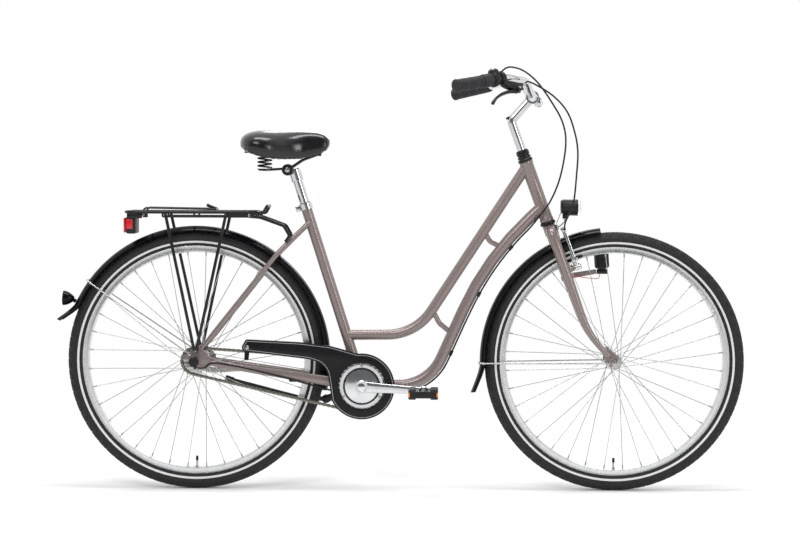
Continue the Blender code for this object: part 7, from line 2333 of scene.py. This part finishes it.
def headlamp():
    """The oval housing on its neck, with a silvered bowl and a bulb in it."""
    body = loft(
        lamp_rings(
            (
                (-0.0275, 0.008, 0.006, 0.003), (-0.0270, 0.020, 0.0155, 0.003),
                (-0.0245, 0.0245, 0.0190, 0.002), (-0.0190, 0.0280, 0.0213, 0.001),
                (0.0, 0.0310, 0.0223, 0.0), (0.0150, 0.0325, 0.0228, 0.0), (0.0195, 0.0330, 0.0230, 0.0),
                (0.0195, 0.0300, 0.0205, 0.0), (0.0110, 0.0240, 0.0160, 0.0), (0.0040, 0.0120, 0.0080, 0.0),
                (0.0030, 0.0010, 0.0010, 0.0)
            )
        )
    )
    neck = rod(HEADLAMP + vec(-0.014, 0, -0.012), HEADLAMP + vec(-0.016, 0, -0.031), 0.0075, 0.0065)
    finish(fuse(body, neck), "headlamp", BLACK_PLASTIC, sharp=50)
    bowl = loft(
        lamp_rings(
            (
                (0.0190, 0.0296, 0.0201, 0), (0.0150, 0.0262, 0.0178, 0), (0.0115, 0.0218, 0.0145, 0),
                (0.0068, 0.0140, 0.0092, 0), (0.0048, 0.0050, 0.0036, 0)
            )
        ),
        False
    )
    detail(bowl, "headlamp_bowl", "headlamp", SILVER_BOWL, 60)
    bulb_profile = [(0, 0), (0.0030, 0), (0.0042, 0.003), (0.0046, 0.006), (0.0036, 0.009), (0, 0.0105)]
    bulb = knob(bulb_profile, HEADLAMP + AHEAD * 0.0045, AHEAD)
    detail(bulb, "headlamp_bulb", "headlamp", WINDOW, 60)


headlamp()
glass = loft(
    lamp_rings(
        (
            (0.0195 + GAP, 0.0335, 0.0234, 0), (0.0225, 0.0335, 0.0234, 0), (0.0250, 0.0328, 0.0228, 0),
            (0.0272, 0.0300, 0.0208, 0), (0.0288, 0.0240, 0.0168, 0), (0.0295, 0.0140, 0.0100, 0),
            (0.0297, 0.0020, 0.0015, 0)
        )
    )
)
finish(glass, "headlamp_lens", CLEAR, sharp=60)


def headlamp_bracket():
    """A bent strap from the fork crown up to the lamp."""
    crown_face = steer(CROWN - 0.014, 0.0175 - GAP)
    stations = [
        crown_face + FORK_AHEAD * 0.0026 - FORK_UP * 0.006,
        crown_face + FORK_AHEAD * 0.0030 + FORK_UP * 0.008, HEADLAMP_PIVOT + vec(-0.016, 0, -0.018),
        HEADLAMP_PIVOT + vec(0, 0, -0.0035)
    ]
    strap = sweep(stations, [(0.0022, 0.0090)] * 4, LEFT, 7, 40)
    eye = rod(HEADLAMP_PIVOT - LEFT * 0.009, HEADLAMP_PIVOT + LEFT * 0.009, 0.0031)
    bolt = hexagon(crown_face + FORK_AHEAD * 0.001, crown_face + FORK_AHEAD * 0.007, 0.0050)
    finish(fuse(strap, eye, bolt), "headlamp_bracket", STEEL)


headlamp_bracket()

DYNAMO_PIVOT = FRONT_AXLE + vec(-0.030, 0.0625, 0.2445)
DYNAMO_AXIS = vec(-0.085, -0.240, 0.967).normalized()
DYNAMO_RADIUS = 0.0205
DYNAMO_LENGTH = 0.070
DYNAMO_HALF_KNUCKLE = 0.0145
DYNAMO_STATION = 0.259
dynamo_low = DYNAMO_PIVOT + UP * 0.0120
ROLLER_LOW = dynamo_low + DYNAMO_AXIS * (DYNAMO_LENGTH + RUNNING_GAP)


def dynamo():
    """The bottle on its knuckle, which swings it in until the roller meets the tyre's wall."""
    r = DYNAMO_RADIUS
    top = DYNAMO_LENGTH
    profile = [(0, 0), (r - 0.004, 0), (r - 0.001, 0.0010), (r, 0.0035)]
    for groove in range(7):
        low = 0.008 + groove * 0.0042
        profile += [(r, low), (r - 0.0008, low + 0.0007), (r - 0.0008, low + 0.0014), (r, low + 0.0021)]
    profile += [
        (r, 0.040), (r - 0.0012, 0.0425), (r - 0.0036, 0.0445), (r - 0.004, 0.047), (r - 0.004, top - 0.005)
    ]
    profile += [(r - 0.0052, top - 0.0035), (0.0085, top - 0.0005), (0.0065, top), (0, top)]
    body = knob(profile, dynamo_low, DYNAMO_AXIS, 96)
    reach = vec(DYNAMO_HALF_KNUCKLE, 0, 0)
    knuckle = rod(DYNAMO_PIVOT - reach, DYNAMO_PIVOT + reach, 0.0070)
    neck = box(DYNAMO_PIVOT + UP * 0.008, (0.020, 0.010, 0.016))
    finish(fuse(body, knuckle, neck), "dynamo", BLACK_PLASTIC, sharp=40)


dynamo()
roller_profile = [(0, 0), (0.0090, 0), (0.0095, 0.0006), (0.0100, 0.0022)]
for groove in range(6):
    low = 0.0030 + groove * 0.0015
    roller_profile += [(0.0105, low), (0.0098, low + 0.0007)]
roller_profile += [(0.0105, 0.0122), (0.0090, 0.0146), (0.0082, 0.0150), (0, 0.0150)]
finish(knob(roller_profile, ROLLER_LOW, DYNAMO_AXIS, 96), "dynamo_roller", STEEL)


def dynamo_bracket():
    """The strap from a clamp on the left fork blade forward to the dynamo's knuckle."""
    on_blade = steer(DYNAMO_STATION, 0, BLADE_SPREAD + 0.0019)
    clamp_bore = blade_radius(DYNAMO_STATION) + GAP * 1.5
    collar = turned(
        band(clamp_bore, clamp_bore + 0.0022, -0.0065, 0.0065, 0.0004, 0.0005), on_blade, FORK_UP, 96
    )
    end = DYNAMO_PIVOT - vec(DYNAMO_HALF_KNUCKLE + 3 * RUNNING_GAP, 0, 0)
    arm = sweep(
        [on_blade + LEFT * (clamp_bore + 0.0008), on_blade + vec(0.016, 0.0195, 0.004), end],
        [(0.0016, 0.0060), (0.0016, 0.0075), (0.0018, 0.0065)], UP, 6
    )
    finish(fuse(collar, arm), "dynamo_bracket", PAINT)


dynamo_bracket()


# Kickstand and coaster brake arm

STAND_STAY = BRACKET + vec(-0.052, 0, 0.0065)
STAND_PIVOT = BRACKET + vec(-0.103, 0, -0.0455)
STAND_INSIDE = 0.044


def kickstand_mount():
    """Two plates bolted over and under the chainstays, and an arm down to the block that the leg turns on."""
    plate_gap = CHAINSTAY_HALF_HEIGHT + 0.0018
    low = STAND_STAY - UP * (plate_gap + 0.0025)
    high = STAND_STAY + UP * (plate_gap + 0.0025)
    block = STAND_PIVOT + LEFT * (STAND_INSIDE - 0.006)
    pieces = [
        box(low, (0.030, 0.072, 0.005)), box(high, (0.030, 0.066, 0.005)),
        rod(low - UP * 0.006, high + UP * 0.004, 0.0050),
        hexagon(high + UP * 0.0025, high + UP * 0.0060, 0.0075),
        sweep(
            [low + LEFT * 0.012, low + vec(-0.012, 0.030, -0.016), block],
            [(0.0060, 0.013), (0.0075, 0.0065), (0.0110, 0.0060)], LEFT, 4, 40
        )
    ]
    finish(fuse(*pieces), "kickstand_mount", BLACK_METAL)


kickstand_mount()


def kickstand():
    """The folded leg with its hub, its rubber foot and the end of its pin."""
    pivot = STAND_PIVOT + LEFT * (STAND_INSIDE + RUNNING_GAP)
    stations = [
        pivot + LEFT * 0.007, STAND_PIVOT + vec(-0.030, STAND_INSIDE + 0.0075, 0.0005),
        STAND_PIVOT + vec(-0.075, STAND_INSIDE + 0.0080, 0.0020),
        STAND_PIVOT + vec(-0.262, STAND_INSIDE + 0.0080, 0.0505)
    ]
    leg = tube(bent(stations, [0.020, 0.05]), 0.0068)
    hub_profile = [(0, 0), (0.0112, 0), (0.0120, 0.0008), (0.0120, 0.0135), (0.0110, 0.0145), (0, 0.0145)]
    finish(fuse(knob(hub_profile, pivot, LEFT), leg), "kickstand", BLACK_METAL)
    back = (stations[-1] - stations[-2]).normalized()
    foot_profile = [
        (0, -0.004), (0.0084, -0.004), (0.0090, -0.003), (0.0092, 0.004), (0.0085, 0.005), (0.0095, 0.0065),
        (0.0100, 0.0180), (0.0088, 0.0200), (0, 0.0200)
    ]
    detail(knob(foot_profile, stations[-1], back), "kickstand_foot", "kickstand", PAD)
    pin = knob([(0, 0), (0.0042, 0), (0.0038, 0.0012), (0, 0.0016)], pivot + LEFT * 0.0143, LEFT)
    detail(pin, "kickstand_pin", "kickstand", STEEL)


kickstand()


def coaster_arm():
    """The strip that carries the hub brake's turning force to the left chainstay."""
    y = 0.0555
    path = [
        REAR_AXLE + vec(x, y, z)
        for x, z in ((-0.012, 0), (0.014, -0.022), (0.034, -0.034), (0.112, -0.0306))
    ]
    strip = sweep(path, [(0.0095, 0.0015), (0.0095, 0.0015), (0.0080, 0.0015), (0.0070, 0.0015)], LEFT, 7)
    ring = turned(
        band(AXLE_RADIUS + GAP, 0.0150, -0.0017, 0.0017, 0.0008, 0.0007), REAR_AXLE + LEFT * y, LEFT
    )
    near, far = (REAR_AXLE + vec(0.104, y + out, -0.0306) for out in (-0.004, 0.006))
    clip = hexagon(near, far, 0.0045)
    finish(fuse(ring, strip, clip), "coaster_brake_arm", STEEL)


coaster_arm()


# Cables, each made along its real route

outlet_ahead = (SHIFTER_OUTLET - SHIFTER_ROOT).normalized()
CABLE_STOP = steer(HEAD_LOW + 0.0195, -0.0173, -0.0245)
loop_points = [
    SHIFTER_OUTLET + outlet_ahead * GAP * 2, SHIFTER_OUTLET + outlet_ahead * 0.028, vec(0.889, -0.162, 1.146),
    vec(0.930, -0.125, 1.116), vec(0.970, -0.092, 1.064), vec(1.001, -0.068, 1.010),
    vec(1.011, -0.050, 0.952), vec(0.998, -0.038, 0.866), vec(0.973, -0.029, 0.800), CABLE_STOP
]
loop = tube(smooth(loop_points, 0.008), CABLE_RADIUS)
seated(loop, "gear_cable_loop_fine", None, CABLE)
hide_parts("gear_cable_loop")
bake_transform(loop)


def tube_underside():
    """The lower tube's outer side, where the gear cable is clipped."""
    off = LOWER_TUBE_RADIUS + CABLE_RADIUS + 0.0012
    found = []
    for here, after in zip(lower_path, lower_path[1:]):
        ahead = (after - here).normalized()
        steps = max(1, round((after - here).length / 0.045))
        for step in range(steps):
            found.append(here.lerp(after, (step + 0.5) / steps) + ahead.cross(LEFT) * off)
    return [point for point in found if BRACKET_RADIUS + 0.020 < (point - BRACKET).length < 0.66]


def gear_cable():
    """The cable under the lower tube, past the bracket and along the right chainstay to the shifting box."""
    under = tube_underside()
    start = CABLE_STOP + (under[0] - CABLE_STOP).normalized() * CABLE_RADIUS
    stay = chainstay_path(-1)
    low = CHAINSTAY_HALF_HEIGHT + CABLE_RADIUS + 0.0012
    shell = -BRACKET_RADIUS - CABLE_RADIUS - 0.001
    middle = stay[0].lerp(stay[len(stay) // 2], 0.55)
    points = [
        start, *under, BRACKET + vec(0.020, -0.006, shell), BRACKET + vec(-0.024, -0.018, shell),
        BRACKET + vec(-0.052, -0.028, -low - 0.0035), BRACKET + vec(-0.085, -0.034, -low + 0.004),
        middle - LEFT * (CHAINSTAY_HALF_WIDTH + CABLE_RADIUS + 0.0015) - UP * 0.004,
        stay[0] + vec(0.030, -0.0105, 0.001), REAR_AXLE + vec(0.030, -REAR_FACE - 0.010, -0.016),
        box_start + vec(0.0122, -0.0122, -0.0160)
    ]
    finish(tube(smooth(points, 0.010), CABLE_RADIUS), "gear_cable", CABLE)
    clips = []
    for here, after in list(zip(under, under[1:]))[2:11:4]:
        half = (after - here).normalized() * 0.0075
        clips.append(rod(here - half, here + half, CABLE_RADIUS + 0.0014))
    detail(fuse(*clips), "gear_cable_clips", "frame", BLACK_PLASTIC)


gear_cable()

arm_top = steer(BRAKE_PIVOT + 0.108, BRAKE_AHEAD, -BLADE_SPREAD + 0.006)
brake_start = at_lever(-0.076, 0.028)
brake_ahead = (at_lever(-0.076, 0.028) - at_lever(-0.060, 0.030)).normalized()
brake_points = [
    brake_start + brake_ahead * GAP * 2, brake_start + brake_ahead * 0.022, vec(0.970, -0.106, 1.083),
    vec(1.012, -0.084, 1.039), vec(1.034, -0.070, 0.983), vec(1.043, -0.062, 0.932),
    vec(1.041, -0.057, 0.876), vec(1.032, -0.056, 0.790), arm_top + vec(0.003, -0.024, 0.024),
    arm_top + vec(0.000, -0.018, 0.004), arm_top + vec(0, -0.0062 - GAP, 0)
]
finish(tube(smooth(brake_points, 0.008), CABLE_RADIUS), "brake_cable", CABLE)

# Between the arms, the brake's wire runs bare, and a ribbed boot covers its first part.
link_start = arm_top + LEFT * 0.0065
link_end = steer(BRAKE_PIVOT + 0.108, BRAKE_AHEAD, BLADE_SPREAD - 0.006) - LEFT * 0.0065
boot = [link_start.lerp(link_end, step / 24) for step in range(25)]
sleeve = tube(boot[:15], [0.0036 + 0.0008 * (i % 2) for i in range(15)])
seated(sleeve, "brake_boot", None, PAD)
wire = seated(tube(boot[13:], 0.0009), "brake_inner_wire", None, STEEL)
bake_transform(sleeve)
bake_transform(wire)
wire_low = DYNAMO_PIVOT + vec(-0.006, 0.004, -0.008)
red_points = [
    wire_low, wire_low + vec(-0.010, -0.002, -0.012), steer(0.262, 0.0165, BLADE_SPREAD + 0.006),
    steer(0.300, 0.0160, BLADE_SPREAD + 0.001), steer(0.345, 0.0165, BLADE_SPREAD - 0.003),
    steer(0.385, 0.0195, 0.026), HEADLAMP_PIVOT + vec(-0.022, 0.012, -0.014),
    HEADLAMP + vec(-0.0245, 0.006, -0.010)
]
detail(tube(smooth(red_points, 0.004), 0.0010), "dynamo_wire", "fork", RED_WIRE)


# Studio: a white floor and backdrop, soft lamps and the photograph's camera

WHITE = (1.0, 1.0, 1.0)
FLOOR_COLOUR = (0.93, 0.93, 0.93)
FLOOR_SIZE = 14.0
FADE_START = 1.1  # from the middle of the floor
FADE_END = 2.4
ROOM_COLOUR = (0.16, 0.165, 0.17)  # behind the camera, in reflections
SKY_LIGHT = (0.60, 0.60, 0.60)
SENSOR_WIDTH = 36.0


def faded(tree, value, start, end):
    """0 before start and 1 after end, with a smooth change between them."""
    values = {"Value": value, "From Min": start, "From Max": end}
    return add(tree, "MapRange", values, interpolation_type="SMOOTHSTEP").outputs["Result"]


def shown(tree):
    """1 for a ray from the camera, a reflection or a lens, and 0 for the light that falls on the object."""
    path = add(tree, "LightPath").outputs
    either = maths(tree, "MAXIMUM", path["Is Camera Ray"], path["Is Glossy Ray"])
    return maths(tree, "MAXIMUM", either, path["Is Transmission Ray"])


def stage_material():
    """A pale matt floor round the object, which keeps its shadow and turns to plain white further out."""
    made = bpy.data.materials.new("studio_floor")
    made.use_nodes = True
    tree = made.node_tree
    shader = tree.nodes["Principled BSDF"]
    shader.inputs["Base Color"].default_value = (*FLOOR_COLOUR, 1.0)
    shader.inputs["Roughness"].default_value = 0.9
    shader.inputs["Specular IOR Level"].default_value = 0.0
    far = add(
        tree, "VectorMath", {0: add(tree, "TexCoord").outputs["Object"]}, operation="LENGTH"
    ).outputs["Value"]
    white = maths(tree, "MULTIPLY", faded(tree, far, FADE_START, FADE_END), shown(tree))
    glow = add(tree, "Emission", {"Color": (*WHITE, 1.0), "Strength": 1.0}).outputs["Emission"]
    both = add(tree, "MixShader", {0: white, 1: shader.outputs["BSDF"], 2: glow}).outputs["Shader"]
    tree.links.new(both, tree.nodes["Material Output"].inputs["Surface"])
    return made


floor_shape = bmesh.new()
bmesh.ops.create_grid(floor_shape, x_segments=1, y_segments=1, size=FLOOR_SIZE)
floor = from_bmesh(floor_shape, "studio_floor")
floor.data.materials.append(stage_material())

world = bpy.data.worlds.new("studio")
bpy.context.scene.world = world
world.use_nodes = True
tree = world.node_tree
backdrop = tree.nodes["Background"]
# The room behind the camera is darker, which is what metal and lacquer show between the lamps.
across = add(tree, "SeparateXYZ", {"Vector": add(tree, "TexCoord").outputs["Generated"]}).outputs["Y"]
seen = add(tree, "LightPath").outputs["Is Camera Ray"]
room = maths(tree, "SUBTRACT", faded(tree, across, -0.05, -0.65), seen)
room.node.use_clamp = True
tree.links.new(
    mixed(tree, shown(tree), SKY_LIGHT, mixed(tree, room, WHITE, ROOM_COLOUR)), backdrop.inputs["Color"]
)
backdrop.inputs["Strength"].default_value = 1.0


def lamp(name, place, size, watts):
    """A soft lamp that looks at the bicycle's middle."""
    light = bpy.data.lights.new(name, "AREA")
    light.shape = "RECTANGLE"
    light.size, light.size_y = size
    light.energy = watts
    made = bpy.data.objects.new(name, light)
    bpy.context.scene.collection.objects.link(made)
    place = Vector(place)
    aim = UP * 0.5 - place
    made.matrix_world = Matrix.Translation(place) @ aim.to_track_quat("-Z", "Y").to_matrix().to_4x4()


lamp("key", (-1.4, -3.2, 3.4), (2.2, 1.4), 64)
lamp("fill", (3.0, -2.8, 1.6), (0.8, 1.6), 30)
lamp("top", (0.0, -0.2, 3.8), (2.6, 0.8), 60)
lamp("rim", (0.6, 3.6, 2.4), (2.4, 1.2), 36)

camera_data = bpy.data.cameras.new("photo_camera")
camera_data.sensor_width = SENSOR_WIDTH
camera_data.lens = CAMERA_LENS
camera = bpy.data.objects.new("photo_camera", camera_data)
bpy.context.scene.collection.objects.link(camera)
bpy.context.scene.camera = camera
yaw = Matrix.Rotation(math.radians(CAMERA_YAW), 4, "Z")
tilt = Matrix.Rotation(math.radians(90 - CAMERA_TILT), 4, "X")
roll = Matrix.Rotation(math.radians(CAMERA_ROLL), 4, "Z")
camera.matrix_world = Matrix.Translation(CAMERA_PLACE) @ yaw @ tilt @ roll

bpy.context.scene.view_settings.view_transform = "Standard"
